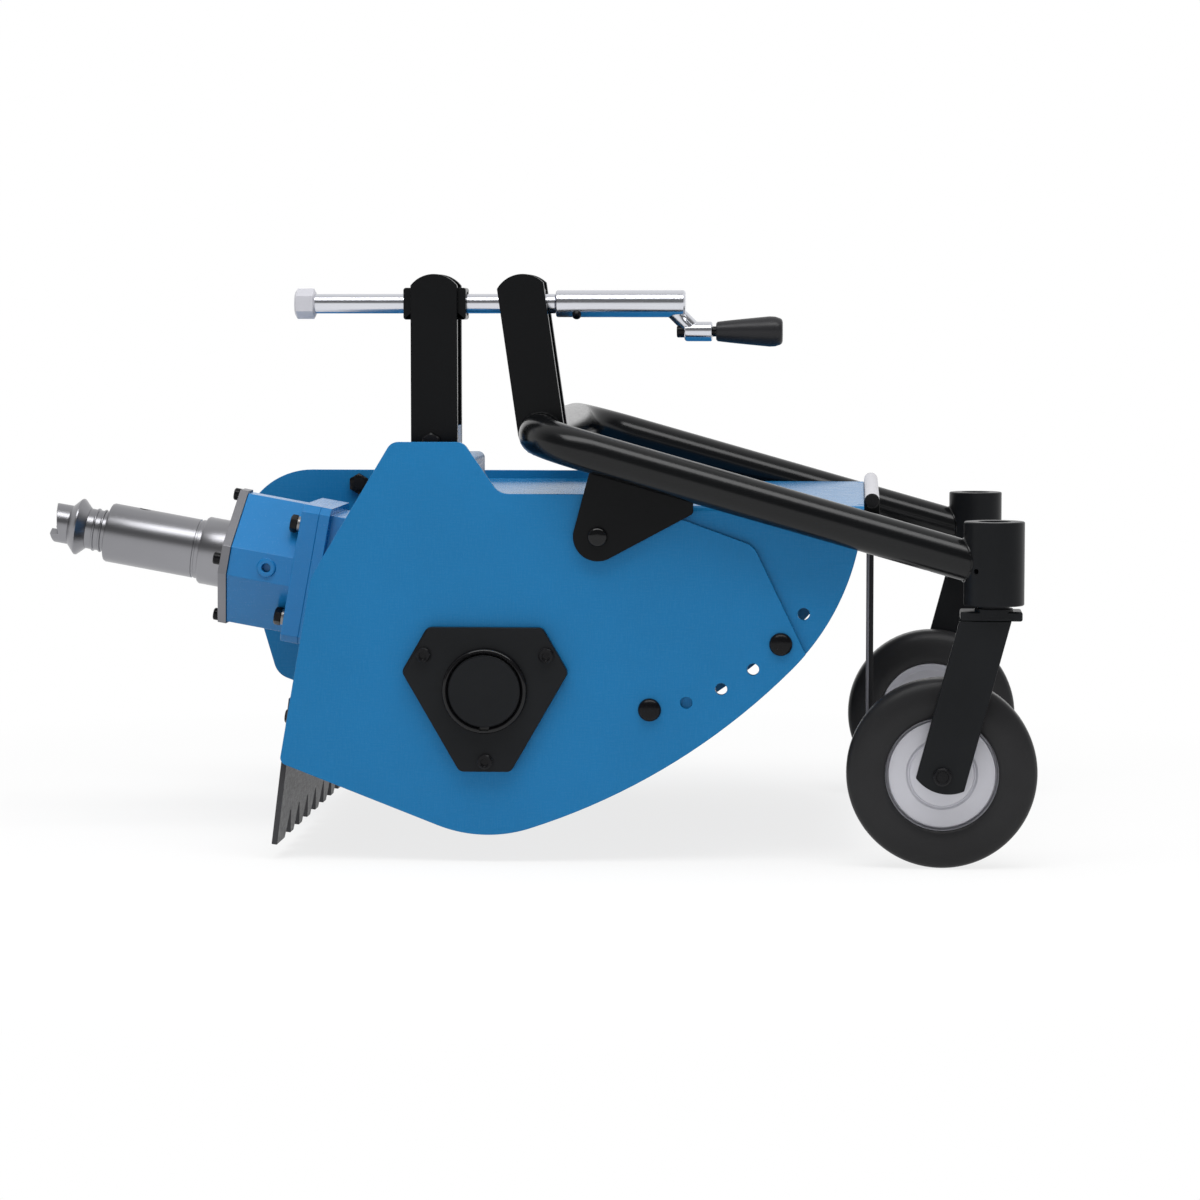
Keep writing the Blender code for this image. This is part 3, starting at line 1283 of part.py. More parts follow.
def make_hammers():
    for index in range(HAMMERS):
        name = f"hammer_{index + 1:02d}"
        pin = hammer_pin(index)
        add_pivot(f"hammer_swing_{index + 1:02d}", pin, "rotor_spin")
        bm = bmesh.new()
        rings = []
        for down, wide, thick in HAMMER_SHAPE:
            middle = pin - down * Z_AXIS
            rings.append([
                middle + a * thick * X_AXIS + b * wide * Y_AXIS
                for a, b in ((-1, -1), (1, -1), (1, 1), (-1, 1))
            ])
        skin(bm, rings)
        hammer = finish(name, bm, "forged_steel", f"hammer_swing_{index + 1:02d}")
        eye = bmesh.new()
        drill(eye, PIN_RADIUS + RUN, -HAMMER_WIDE, HAMMER_WIDE, pin, Y_AXIS)
        combine(hammer, add_cutter(name + "_eye", eye))


# Height frame
def frame_axes():
    """Origin on the cross tube, the way forward along the frame and square to it."""
    origin = at(FRAME_REAR)
    ahead = Vector((cos(FRAME_SLOPE), 0, -sin(FRAME_SLOPE)))
    return origin, ahead, Vector((sin(FRAME_SLOPE), 0, cos(FRAME_SLOPE)))


def make_frame_tube():
    origin, ahead, lift = frame_axes()
    reach = (BARREL_X - FRAME_REAR[0]) / cos(FRAME_SLOPE)
    path = rounded([(reach, -FRAME_Y), (0, -FRAME_Y, FRAME_BEND), (0, FRAME_Y, FRAME_BEND),
                    (reach, FRAME_Y)], closed=False)
    spots = [Vector(point) for point in path]

    def rings(radius):
        made = []
        for i, here in enumerate(spots):
            before = (here - spots[i - 1]).normalized() if i else None
            after = (spots[i + 1] - here).normalized() if i + 1 < len(spots) else None
            way = ((before or after) + (after or before)).normalized()
            stretch = 1 / way.dot(after or before)
            side = Vector((-way.y, way.x)) * stretch
            middle = origin + here.x * ahead + here.y * Y_AXIS
            across = side.x * ahead + side.y * Y_AXIS
            made.append([
                middle + radius * (cos(2 * pi * k / FRAME_SIDES) * across
                                   + sin(2 * pi * k / FRAME_SIDES) * lift)
                for k in range(FRAME_SIDES)
            ])
        return made

    bm = bmesh.new()
    skin(bm, rings(FRAME_TUBE_RADIUS) + rings(FRAME_TUBE_RADIUS - FRAME_TUBE_WALL)[::-1], closed=True)
    tube = finish("frame_tube", bm, "black_steel", "frame_pivot")
    ends = bmesh.new()
    for side in (LEFT, RIGHT):
        turn(ends, [(BARREL_Z[0] - 5 * PAST, BARREL_RADIUS - FUSE),
                    (BARREL_Z[1] + 5 * PAST, BARREL_RADIUS - FUSE)],
             at((BARREL_X, 0), side * FRAME_Y), Z_AXIS, ROUND)
        drain = origin + (reach - FRAME_BEND) * ahead + side * FRAME_Y * Y_AXIS
        turn(ends, [(0.5 * FRAME_TUBE_RADIUS, DRAIN_RADIUS), (2 * FRAME_TUBE_RADIUS, DRAIN_RADIUS)],
             drain, -lift, BOLT)
    combine(tube, add_cutter("frame_tube_ends", ends))
    barrels = bmesh.new()
    for side in (LEFT, RIGHT):
        washer(barrels, STEM_RADIUS + RUN, BARREL_RADIUS, BARREL_Z[0], BARREL_Z[1],
               at((BARREL_X, 0), side * FRAME_Y), Z_AXIS, ROUND)
    combine(tube, add_cutter("castor_barrels", barrels), "UNION")


def gusset_outline():
    """A plate that hangs under the tube and holds the pivot in its rounded foot."""
    origin, ahead, lift = frame_axes()
    drop = sqrt(FRAME_TUBE_RADIUS ** 2 - (FRAME_Y - GUSSET_IN - GUSSET) ** 2) + GAP
    line = Vector((origin.x, origin.z)) - drop * Vector((lift.x, lift.z))
    way = Vector((ahead.x, ahead.z))
    rear_top = line + way * (GUSSET_REAR[0] - line.x) / way.x
    tip_top = line + way * (GUSSET_TIP[0] - line.x) / way.x
    pivot = Vector(FRAME_PIVOT)

    def touch(point, side):
        away = pivot - Vector(point)
        lean = asin(GUSSET_ROUND / away.length)
        angle = atan2(away.y, away.x) + side * lean
        return Vector(point) + away.length * cos(lean) * Vector((cos(angle), sin(angle)))

    rear = (GUSSET_REAR[1], GUSSET_REAR_Z)
    lower = min((touch(GUSSET_TIP, side) for side in (-1, 1)), key=lambda spot: spot.y)
    start = lower - pivot
    first = atan2(start.y, start.x)
    last = atan2(rear[1] - pivot.y, rear[0] - pivot.x) - 2 * pi
    last = last + 2 * pi if last + 2 * pi < first else last
    facets = ceil(abs(last - first) / ARC_STEP)
    arc = [
        tuple(pivot + GUSSET_ROUND * Vector((cos(first + (last - first) * k / facets),
                                             sin(first + (last - first) * k / facets))))
        for k in range(facets + 1)
    ]
    bends = GUSSET_CORNERS
    top = rounded([(*rear_top, bends[0]), (*tip_top, bends[1]), (*GUSSET_TIP, bends[2]), arc[0]],
                  closed=False)
    return [tuple(rear_top), *top[1:-1], *arc]


def make_gussets():
    outline = gusset_outline()
    radius = PIVOT_BOLT_RADIUS + RUN
    for name, side in (("left_gusset", LEFT), ("right_gusset", RIGHT)):
        faces = sorted((side * GUSSET_IN, side * (GUSSET_IN + GUSSET)))
        bm = bmesh.new()
        prism(bm, outline, *faces)
        gusset = finish(name, bm, "black_steel", "frame_pivot")
        hole = bmesh.new()
        drill(hole, radius, faces[0] - PAST, faces[1] + PAST, at(FRAME_PIVOT), Y_AXIS, ROD)
        combine(gusset, add_cutter(name + "_hole", hole))


def pivot_spans():
    """Where the frame pivot bolt's parts lie, from the side plate outwards."""
    return PLATE_OUT + GAP, GUSSET_IN - GAP, GUSSET_IN + GUSSET + GAP


def bar_outline(width, low, high_centre, over):
    """A flat bar with a top rounded to an arc over its pivot, from low upwards."""
    half = 0.5 * width
    lean = asin(half / over) if over > half else 0.5 * pi
    facets = END_FACETS
    points = [(-half, low), (half, low)]
    for k in range(facets + 1):
        angle = lean - 2 * lean * k / facets
        points.append((over * sin(angle), high_centre + over * cos(angle)))
    return points


def make_uprights():
    outline = [(a + NUT_PIVOT_X, b) for a, b in
               bar_outline(BAR_WIDE, PEDESTAL_TOP + GAP, SCREW_Z, BAR_OVER)]
    past = 0.5 * BAR_GAP + BAR_THICK + PAST
    for name, side in (("left_upright", LEFT), ("right_upright", RIGHT)):
        near = SCREW_Y + side * 0.5 * BAR_GAP
        bm = bmesh.new()
        prism(bm, outline, *sorted((near, near + side * BAR_THICK)))
        upright = finish(name, bm, "black_steel")
        holes = bmesh.new()
        drill(holes, TRUNNION_RADIUS + RUN, -past, past, at((NUT_PIVOT_X, SCREW_Z), SCREW_Y),
              Y_AXIS, ROD)
        if side == RIGHT:
            drill(holes, EAR_BOLT_SIZE[0] + BOLT_PLAY, -past, past, at(EAR_BOLT, SCREW_Y), Y_AXIS)
        combine(upright, add_cutter(name + "_holes", holes))
        if side == LEFT:
            bolt = bmesh.new()
            half = 0.5 * BAR_GAP + BAR_THICK
            nut_at = 2 * half + GAP
            add_bolt(bolt, at(EAR_BOLT, SCREW_Y - half), -Y_AXIS, EAR_BOLT_SIZE, -FUSE,
                     nut_at + NUT_HEIGHT + BOLT_OVER, nut_at)
            combine(upright, add_cutter("upright_bolt", bolt), "UNION")


def make_pedestal():
    """A folded channel on the deck, open below, with the ear that the uprights clamp."""
    low = DECK_TOP + GAP
    high = PEDESTAL_TOP - 0.5 * SHEET
    rear, front = PEDESTAL_X[0] + 0.5 * SHEET, PEDESTAL_X[1] - 0.5 * SHEET
    path = [(rear, low), (rear, high), (front, high), (front, low)]
    bm = bmesh.new()
    prism(bm, sheet_outline(path, SHEET), -INSIDE, PEDESTAL_INNER_Y)
    half = 0.5 * BAR_WIDE
    ear = 0.5 * BAR_GAP - GAP
    pedestal = finish("pedestal", bm, "blue_paint")
    lug = bmesh.new()
    block(lug, (NUT_PIVOT_X - half, NUT_PIVOT_X + half), (SCREW_Y - ear, SCREW_Y + ear),
          (PEDESTAL_TOP - FUSE, EAR_TOP))
    combine(pedestal, add_cutter("pedestal_ear", lug), "UNION")
    hole = bmesh.new()
    drill(hole, EAR_BOLT_SIZE[0] + BOLT_PLAY, -BAR_GAP, BAR_GAP, at(EAR_BOLT, SCREW_Y), Y_AXIS)
    combine(pedestal, add_cutter("pedestal_hole", hole))


def arm_axes():
    """Origin at the arm's pivot, with the ways across the arm and up along it."""
    origin = at((ARM_PIVOT_X, SCREW_Z), SCREW_Y)
    return (origin, Vector((cos(ARM_TILT), 0, sin(ARM_TILT))),
            Vector((-sin(ARM_TILT), 0, cos(ARM_TILT))))


def make_arm():
    origin, across, up = arm_axes()
    down = -(SCREW_Z - FRAME_REAR[1]) / cos(ARM_TILT)
    past = 0.5 * BAR_GAP + BAR_THICK + PAST
    for name, side in (("left_arm_plate", LEFT), ("right_arm_plate", RIGHT)):
        near = side * 0.5 * BAR_GAP
        faces = sorted((near, near + side * BAR_THICK))
        bm = bmesh.new()
        prism(bm, bar_outline(BAR_WIDE, down, 0, BAR_OVER), *faces, origin, across, up, Y_AXIS)
        arm = finish(name, bm, "black_steel", "frame_pivot")
        holes = bmesh.new()
        drill(holes, TRUNNION_RADIUS + RUN, -past, past, origin, Y_AXIS, ROD)
        drill(holes, FRAME_TUBE_RADIUS + GAP, -past, past, at(FRAME_REAR, SCREW_Y), Y_AXIS, ROUND)
        combine(arm, add_cutter(name + "_holes", holes))


def trunnion_block(name, x, half_long, bore, pivot):
    """A block between two bars, with a pin into each and a bore for the screw."""
    centre = at((x, SCREW_Z), SCREW_Y)
    half = 0.5 * BAR_GAP - GAP
    high = BLOCK_HALF_HIGH
    cut = BLOCK_CHAMFER
    outline = rounded([(-half_long, -high, cut), (half_long, -high, cut),
                       (half_long, high, cut), (-half_long, high, cut)], step=radians(90))
    bm = bmesh.new()
    prism(bm, outline, -half, half, centre)
    piece = finish(name, bm, "black_steel", pivot)
    pins = bmesh.new()
    end = 0.5 * BAR_GAP + BAR_THICK - GAP
    turn(pins, [(-end, TRUNNION_RADIUS), (end, TRUNNION_RADIUS)], centre, Y_AXIS, ROD)
    combine(piece, add_cutter(name + "_pins", pins), "UNION")
    hole = bmesh.new()
    drill(hole, bore, -half_long - PAST, half_long + PAST, centre, X_AXIS, ROUND)
    combine(piece, add_cutter(name + "_bore", hole))


def make_screw():
    axis = at((0, SCREW_Z), SCREW_Y)
    eye = axis - CRANK_DROP * Z_AXIS
    bm = bmesh.new()
    step = SLEEVE_X[0] - GAP
    turn(bm, [(SCREW_NUT_X[1] - FUSE, SCREW_RADIUS), (step, SCREW_RADIUS),
              (step, SCREW_TAIL_RADIUS), (SLEEVE_X[0] + SCREW_TAIL, SCREW_TAIL_RADIUS)],
         axis, X_AXIS, ROUND)
    screw = finish("height_screw", bm, "chrome", "screw_spin")
    nut = bmesh.new()
    skin(nut, [
        ring_of(axis + SCREW_NUT_X[0] * X_AXIS, X_AXIS, SCREW_NUT_FLAT, HEX),
        hex_ring(axis + (SCREW_NUT_X[0] + SCREW_NUT_EDGE) * X_AXIS, X_AXIS, SCREW_NUT_FLAT),
        hex_ring(axis + (SCREW_NUT_X[1] - SCREW_NUT_EDGE) * X_AXIS, X_AXIS, SCREW_NUT_FLAT),
        ring_of(axis + SCREW_NUT_X[1] * X_AXIS, X_AXIS, SCREW_NUT_FLAT, HEX),
    ])
    combine(screw, add_cutter("screw_nut", nut), "UNION")

    bm = bmesh.new()
    bore = clear(SCREW_TAIL_RADIUS + GAP, ROUND)
    turn(bm, [(SLEEVE_X[0] + SCREW_TAIL + GAP, bore), (SLEEVE_X[0], bore),
              (SLEEVE_X[0], CRANK_SLEEVE_RADIUS), (SLEEVE_X[1], CRANK_SLEEVE_RADIUS)],
         axis, X_AXIS, ROUND)
    crank = finish("crank_sleeve", bm, "chrome", "screw_spin")
    web = bmesh.new()
    half = 0.5 * CRANK_WEB_WIDE
    lower = -CRANK_DROP - CRANK_EYE_RADIUS
    upper = -CRANK_DROP + CRANK_EYE_RADIUS
    start = SLEEVE_X[1] - CRANK_WEB_LAP
    end = SLEEVE_X[1] - CRANK_WEB_EDGE
    foot = -CRANK_SLEEVE_RADIUS
    outline = [(start, foot + CRANK_WEB_SINK), (start, foot),
               (CRANK_EYE_X[0], lower + CRANK_WEB_THICK[0]), (CRANK_EYE_X[0], lower),
               (CRANK_EYE_X[1], lower), (CRANK_EYE_X[1], upper),
               (CRANK_EYE_X[0] + CRANK_WEB_THICK[1], upper),
               (end, foot + CRANK_WEB_RISE[0]), (end, foot + CRANK_WEB_RISE[1])]
    prism(web, outline, -half, half, axis)
    combine(crank, add_cutter("crank_web", web), "UNION")
    cuts = bmesh.new()
    drill(cuts, GRIP_BOLT_RADIUS + RUN, CRANK_EYE_X[0] - PAST, CRANK_EYE_X[1] + PAST, eye, X_AXIS, ROD)
    combine(crank, add_cutter("crank_eye", cuts))
    side = Vector((0, -sin(SET_SCREW_TURN), -cos(SET_SCREW_TURN)))
    screw = bmesh.new()
    turn(screw, [(CRANK_SLEEVE_RADIUS - FUSE, SET_SCREW_RADIUS + EDGE_BREAK),
                 (CRANK_SLEEVE_RADIUS + SET_SCREW_HIGH, SET_SCREW_RADIUS)],
         axis + SET_SCREW_X * X_AXIS, side, BOLT)
    combine(crank, add_cutter("crank_set_screw", screw), "UNION")

    bm = bmesh.new()
    left = CRANK_EYE_X[0] - GAP
    right = CRANK_EYE_X[1] + GAP
    turn(bm, [(left - GRIP_NUT_HIGH, GRIP_NUT_RADIUS), (left, GRIP_NUT_RADIUS),
              (left, GRIP_BOLT_RADIUS), (right, GRIP_BOLT_RADIUS), (right, GRIP_COLLAR),
              (GRIP_X[0], GRIP_COLLAR), (GRIP_X[0], GRIP_RADII[0]),
              (GRIP_X[1] - GRIP_END[0], GRIP_RADII[1]), (GRIP_X[1], GRIP_RADII[1] - GRIP_END[1])],
         eye, X_AXIS, ROD)
    finish("crank_grip", bm, "black_plastic", "grip_spin")


# Castors
def leg_outline():
    """The leg in its own plane, its foot cut to an arc about a point over the axle."""
    half = 0.5 * LEG_WIDE
    lean = asin(half / LEG_END_RADIUS)
    up = Vector((sin(LEG_TILT), cos(LEG_TILT)))
    across = Vector((cos(LEG_TILT), -sin(LEG_TILT)))
    axle = Vector(WHEEL_CENTRE)
    facets = END_FACETS
    points = []
    for k in range(facets + 1):
        angle = -lean + 2 * lean * k / facets
        spot = axle + up * (LEG_END_UP - LEG_END_RADIUS * cos(angle)) + across * LEG_END_RADIUS * sin(angle)
        points.append(tuple(spot))
    top = crown_bottom()
    for side in (half, -half):
        base = axle + across * side
        spot = base + up * ((top - base.y) / up.y)
        points.append(tuple(spot))
    return points


def crown_bottom():
    return BARREL_Z[0] - NECK - CROWN_THICK


def make_castor(name, side):
    pivot = f"castor_swivel_{name}"
    fork_y = sorted((side * (LEG_OUTER_Y - LEG_THICK), side * LEG_OUTER_Y))
    crown_y = sorted((side * CROWN_INNER_Y, side * LEG_OUTER_Y))
    bottom = crown_bottom()
    stem = at((BARREL_X, 0), side * FRAME_Y)
    bm = bmesh.new()
    prism(bm, leg_outline(), *fork_y)
    fork = finish(f"castor_fork_{name}", bm, "black_steel", pivot)
    crown = bmesh.new()
    block(crown, CROWN_X, crown_y, (bottom - CROWN_LAP, bottom + CROWN_THICK))
    combine(fork, add_cutter(f"castor_crown_{name}", crown), "UNION")
    post = bmesh.new()
    neck_top = BARREL_Z[0] - 0.5 * NECK
    turn(post, [(bottom + 0.5 * CROWN_THICK, STEM_RADIUS + NECK_OVER),
                (neck_top, STEM_RADIUS + NECK_OVER), (neck_top, STEM_RADIUS),
                (BARREL_Z[1] - STEM_SHORT, STEM_RADIUS)],
         stem, Z_AXIS, ROUND)
    combine(fork, add_cutter(f"castor_stem_{name}", post), "UNION")

    way = side * Y_AXIS
    wheel = at(WHEEL_CENTRE)
    inner = WHEEL_Y - 0.5 * WHEEL_WIDE + HUB_SHORT
    axle = bmesh.new()
    turn(axle, [(inner - AXLE_NUT, AXLE_HEAD), (inner - GAP, AXLE_HEAD), (inner - GAP, AXLE_RADIUS),
                (LEG_OUTER_Y - FUSE, AXLE_RADIUS), (LEG_OUTER_Y - FUSE, AXLE_HEAD),
                (LEG_OUTER_Y + AXLE_HEAD_HIGH, AXLE_HEAD)], wheel, way, ROD)
    combine(fork, add_cutter(f"castor_axle_{name}", axle), "UNION")

    spin = f"wheel_spin_{name}"
    left, right = WHEEL_Y - 0.5 * WHEEL_WIDE, WHEEL_Y + 0.5 * WHEEL_WIDE
    outer = LEG_OUTER_Y - LEG_THICK - GAP
    bore = clear(AXLE_RADIUS + RUN, WHEEL_SIDES)
    bm = bmesh.new()
    turn(bm, [(inner, bore), (inner, HUB_RADIUS), (WHEEL_Y - PAN_IN, HUB_DISC_RADIUS),
              (WHEEL_Y - PAN_IN, DISC_RADIUS), (left + RIM_SHORT, TYRE_INNER - GAP),
              (right - RIM_SHORT, TYRE_INNER - GAP), (right - DISC_DEPTHS[0], DISC_RADIUS),
              (right - DISC_DEPTHS[1], HUB_DISC_RADIUS + EDGE_BREAK),
              (right - DISC_DEPTHS[2], HUB_DISC_RADIUS - EDGE_BREAK),
              (right - DISC_DEPTHS[3], HUB_RADIUS), (outer, HUB_RADIUS), (outer, bore)],
         wheel, way, WHEEL_SIDES, closed=True)
    finish(f"wheel_rim_{name}", bm, "zinc", spin)
    bm = bmesh.new()
    lip, rise = TYRE_BEAD
    tread = [(WHEEL_Y + 0.5 * share * WHEEL_WIDE, WHEEL_RADIUS - sink) for share, sink in TYRE_SHAPE]
    turn(bm, [(left + RIM_SHORT, TYRE_INNER), (left + lip, TYRE_INNER + rise), *tread,
              (right - lip, TYRE_INNER + rise), (right - RIM_SHORT, TYRE_INNER)],
         wheel, way, WHEEL_SIDES, closed=True)
    finish(f"tyre_{name}", bm, "rubber", spin)


# Front flap
def make_flap():
    hinge = at(HINGE)
    bm = bmesh.new()
    washer(bm, HINGE_BORE, HINGE_RADIUS, -HINGE_HALF, HINGE_HALF, hinge, Y_AXIS, ROD)
    finish("hinge_tube", bm, "zinc")

    inner = HINGE_HALF + GAP
    outer = inner + HANGER_ARM
    end = outer + HANGER_END
    bm = bmesh.new()
    turn(bm, [(-end, HANGER_HEAD), (-outer - FUSE, HANGER_HEAD), (-outer - FUSE, HANGER_ROD),
              (outer + FUSE, HANGER_ROD), (outer + FUSE, HANGER_HEAD), (end, HANGER_HEAD)],
         hinge, Y_AXIS, BOLT)
    hanger = finish("flap_hanger", bm, "black_steel", "flap_swing")
    arms = bmesh.new()
    for side in (LEFT, RIGHT):
        prism(arms, hanger_outline(), *sorted((side * inner, side * outer)), hinge)
    combine(hanger, add_cutter("flap_hanger_arms", arms), "UNION")
    bar = bmesh.new()
    back = FLAP_THICK - HANGER_BAR_LAP
    block(bar, (HINGE[0] + back, HINGE[0] + back + HANGER_ARM), (-inner - FUSE, inner + FUSE),
          (HINGE[1] - HANGER_BAR_Z[1], HINGE[1] - HANGER_BAR_Z[0]))
    combine(hanger, add_cutter("flap_hanger_bar", bar), "UNION")

    bm = bmesh.new()
    front = HINGE[0] + back - GAP
    block(bm, (front - FLAP_THICK, front), (-FLAP_HALF, FLAP_HALF), (FLAP_BOTTOM, FLAP_TOP))
    finish("front_flap", bm, "rubber", "flap_swing")


def hanger_outline():
    """An arm of the hanger: round over the rod, square at its foot."""
    half = 0.5 * HANGER_WIDE
    facets = END_FACETS
    points = [(half * cos(pi * k / facets), half * sin(pi * k / facets)) for k in range(facets + 1)]
    return [*points, (-half, -HANGER_BAR_Z[1]), (half, -HANGER_BAR_Z[1])]


def add_pivots():
    """One empty on the axis of each joint."""
    add_pivot("rotor_spin", at(ROTOR_AXIS))
    add_pivot("cross_spin", BEVEL)
    add_pivot("input_spin", BEVEL)
    add_pivot("flap_swing", at(HINGE))
    add_pivot("nut_trunnion", at((NUT_PIVOT_X, SCREW_Z), SCREW_Y))
    add_pivot("frame_pivot", at(FRAME_PIVOT))
    add_pivot("arm_trunnion", at((ARM_PIVOT_X, SCREW_Z), SCREW_Y), "frame_pivot")
    add_pivot("screw_spin", at((ARM_PIVOT_X, SCREW_Z), SCREW_Y), "arm_trunnion")
    add_pivot("grip_spin", at((GRIP_X[0], SCREW_Z - CRANK_DROP), SCREW_Y), "screw_spin")
    for name, side in (("left", LEFT), ("right", RIGHT)):
        swivel = f"castor_swivel_{name}"
        add_pivot(swivel, at((BARREL_X, BARREL_Z[0]), side * FRAME_Y), "frame_pivot")
        add_pivot(f"wheel_spin_{name}", at(WHEEL_CENTRE, side * WHEEL_Y), swivel)


def build():
    for old in list(bpy.data.objects):
        bpy.data.objects.remove(old, do_unlink=True)
    add_materials()
    add_pivots()
    make_side_plate("left_side_plate", LEFT, near_plate_outline())
    make_side_plate("right_side_plate", RIGHT, far_plate_outline())
    make_deck()
    make_comb()
    make_hood()
    make_gearbox()
    make_adapter()
    make_front_flange()
    make_sleeve()
    make_input()
    make_cross()
    make_belt_drive()
    make_bearings()
    make_rotor()
    make_hammers()
    make_frame_tube()
    make_gussets()
    make_uprights()
    make_pedestal()
    make_arm()
    trunnion_block("nut_block", NUT_PIVOT_X, BLOCK_HALF_LONG, SCREW_RADIUS + NUT_PLAY, "nut_trunnion")
    trunnion_block("arm_block", ARM_PIVOT_X, ARM_BLOCK_HALF_LONG, SCREW_RADIUS + RUN, "arm_trunnion")
    make_screw()
    make_castor("left", LEFT)
    make_castor("right", RIGHT)
    make_flap()


build()
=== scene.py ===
"""The hammer knife mower dressed for its picture.

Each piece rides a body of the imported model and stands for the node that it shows
more finely. Sizes are the ones that the part itself is built with, in metres:
+X is the way the machine travels, +Y its far side, +Z up, the ground at z = 0.
"""

from math import acos, asin, atan2, ceil, cos, pi, radians, sin, sqrt, tan

import bmesh
import bpy
from mathutils import Matrix, Vector, noise


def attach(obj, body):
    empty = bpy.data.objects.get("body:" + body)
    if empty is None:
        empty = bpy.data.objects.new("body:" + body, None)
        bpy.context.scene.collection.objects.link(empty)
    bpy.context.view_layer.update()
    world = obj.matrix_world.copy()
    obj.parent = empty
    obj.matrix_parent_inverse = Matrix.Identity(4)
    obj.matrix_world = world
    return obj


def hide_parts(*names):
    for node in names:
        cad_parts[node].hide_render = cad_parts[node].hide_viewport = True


# Clearances
GAP = 0.0003  # left between two pieces that sit on each other
SEAT = 0.00005  # left between two castings bolted face to face
RUN = 0.0004  # radial play of a shaft in its bore
BOLT_PLAY = 0.0003  # radial play of a bolt in its hole
PAST = 0.01  # how far a cutter runs past what it cuts
FUSE = 0.001  # how deep a head or a weld sinks into what it is one with
PARALLEL = 1e-5  # two ways whose cross product is below this never meet

# Facets
ARC_STEP = radians(4)  # turn of an outline's arc for each facet
EDGE_STEP = radians(1.5)  # the same for the side plates' lower edge
END_FACETS = 40  # facets of a bar's rounded end
ROUND = 96  # sides of a large round piece
ROD = 36  # sides of a shaft or tube
BOLT = 24  # sides of a bolt
DOME_STEP = 10  # degrees for each facet of a domed head
PIVOT_DOME_STEP = 15
COVER_ROUND_STEPS = 5
BOSS_ROUND_STEPS = 6
GRIP_STEPS = 8
LUG_SEAM_STEPS = 12
BARREL_SEAM_STEPS = 64
ARM_SEAM_STEPS = 72
SHAFT_SEAM_STEPS = 90
BEVEL_SEGMENTS = 2
NEAR_UP = 0.9  # an axis whose cosine with Z is above this counts as upright

# Edges: what is rounded off, by piece, and the chamfer of a turned piece
EDGE = 0.0006
FINE_EDGE = 0.0005
BAR_EDGE = 0.0007
CAST_EDGE = 0.0009
UNIT_EDGE = 0.001
LEG_EDGE = 0.0008
CROWN_EDGE = 0.002
HINGE_EDGE = 0.0004
SHARP = 35  # degrees between two faces above which their edge stays sharp
BEVEL_FROM = radians(40)  # turn between two faces from which their edge is rounded
CHAMFER = 0.001
CAP_EDGE = 0.0012  # of a cap screw's head
DOG_EDGE = 0.0006

# Bolts and nuts
SHANK_TIP = 0.8  # share of the shank's radius that its end has
SHANK_TAPER = 0.2  # share of the radius over which it tapers to that
HEAD_RINGS = (  # (six sided, share of the head's height, share of its half width)
    (False, 0, 0.96), (False, 0.08, 0.96), (True, 0.1, 1), (True, 0.84, 1), (False, 1, 0.92),
    (False, 1, 0.5))
NUT_HEIGHT = 0.008
NUT_FLAT = 0.0095
NUT_TURNED = 0.93  # share of a nut's half width that the round of its outer face has
NUT_CORNERS = 0.12  # share of its height that its turned corners take
NUT_FACE = 0.95  # the same two shares at the face that it sits with
NUT_LIFT = 0.02
SOCKET = 0.5  # half width of a cap screw's socket, as a share of its head's radius
SOCKET_MOUTH = 1.22  # share of the socket's half width that its mouth has
SOCKET_EDGE = 0.0004
SOCKET_FLOOR = 0.45  # share of the head's height
BOLT_RIM = (0.0006, 0.0004)  # (along, outwards) of the rounding under a domed head
BOLT_END = 0.002  # how far a bolt reaches past its nut

# Welds
WELD = 0.0022  # radius of a bead
WELD_LIFT = 0.0008  # how far a bead's middle stands off what it runs on
BEAD_STEP = 0.004
BEAD_SIDES = 8
SEAM_INSET = 0.0012
SEAM_END = 0.04  # share of a stretch left free at each of its ends
SHORTEST_SEAM = 0.02
FINE_WELD = 0.0013
FINE_RIPPLE = 0.1
RIPPLE = 0.12  # share by which a bead's girth varies
RIPPLE_TURN = 2.1
RIPPLE_SCALE = 300

# Side plates, in side view (x, z)
WIDTH = 0.600  # over the outer faces of the two side plates
PLATE = 0.006
PLATE_TOP = 0.3908
EDGE_START = (0.3708, 0.3790)  # front end of the lower edge, at the top of the hood
EDGE_HEADING = radians(-92.1)
EDGE_ARCS = (  # (radius, turn) of the arcs that make the lower edge, front to rear
    (0.2582, radians(42.7)),
    (0.6908, radians(27.1)),
    (0.1464, radians(39.3)),
)
REAR_CORNER_X = -0.2464
REAR_CORNER_ROUND = 0.008
REAR_SHOULDER = (-0.2119, 0.3018)
REAR_SHOULDER_ROUND = 0.050
PEAK_TOP = 0.4451
PEAK_X = (-0.1257, -0.0495)
PEAK_ROUND = 0.013
PEAK_FOOT_X = -0.0120
PEAK_FOOT_ROUND = 0.020
FRONT_STEP = ((0.1080, PLATE_TOP), (0.2560, 0.3373), (0.3200, 0.2045))
FRONT_STEP_ROUND = 0.022
LOBE_CORNERS = ((-0.3410, 0.1412, 0.025), (-0.4146, PLATE_TOP, 0.088))  # rear of the far plate

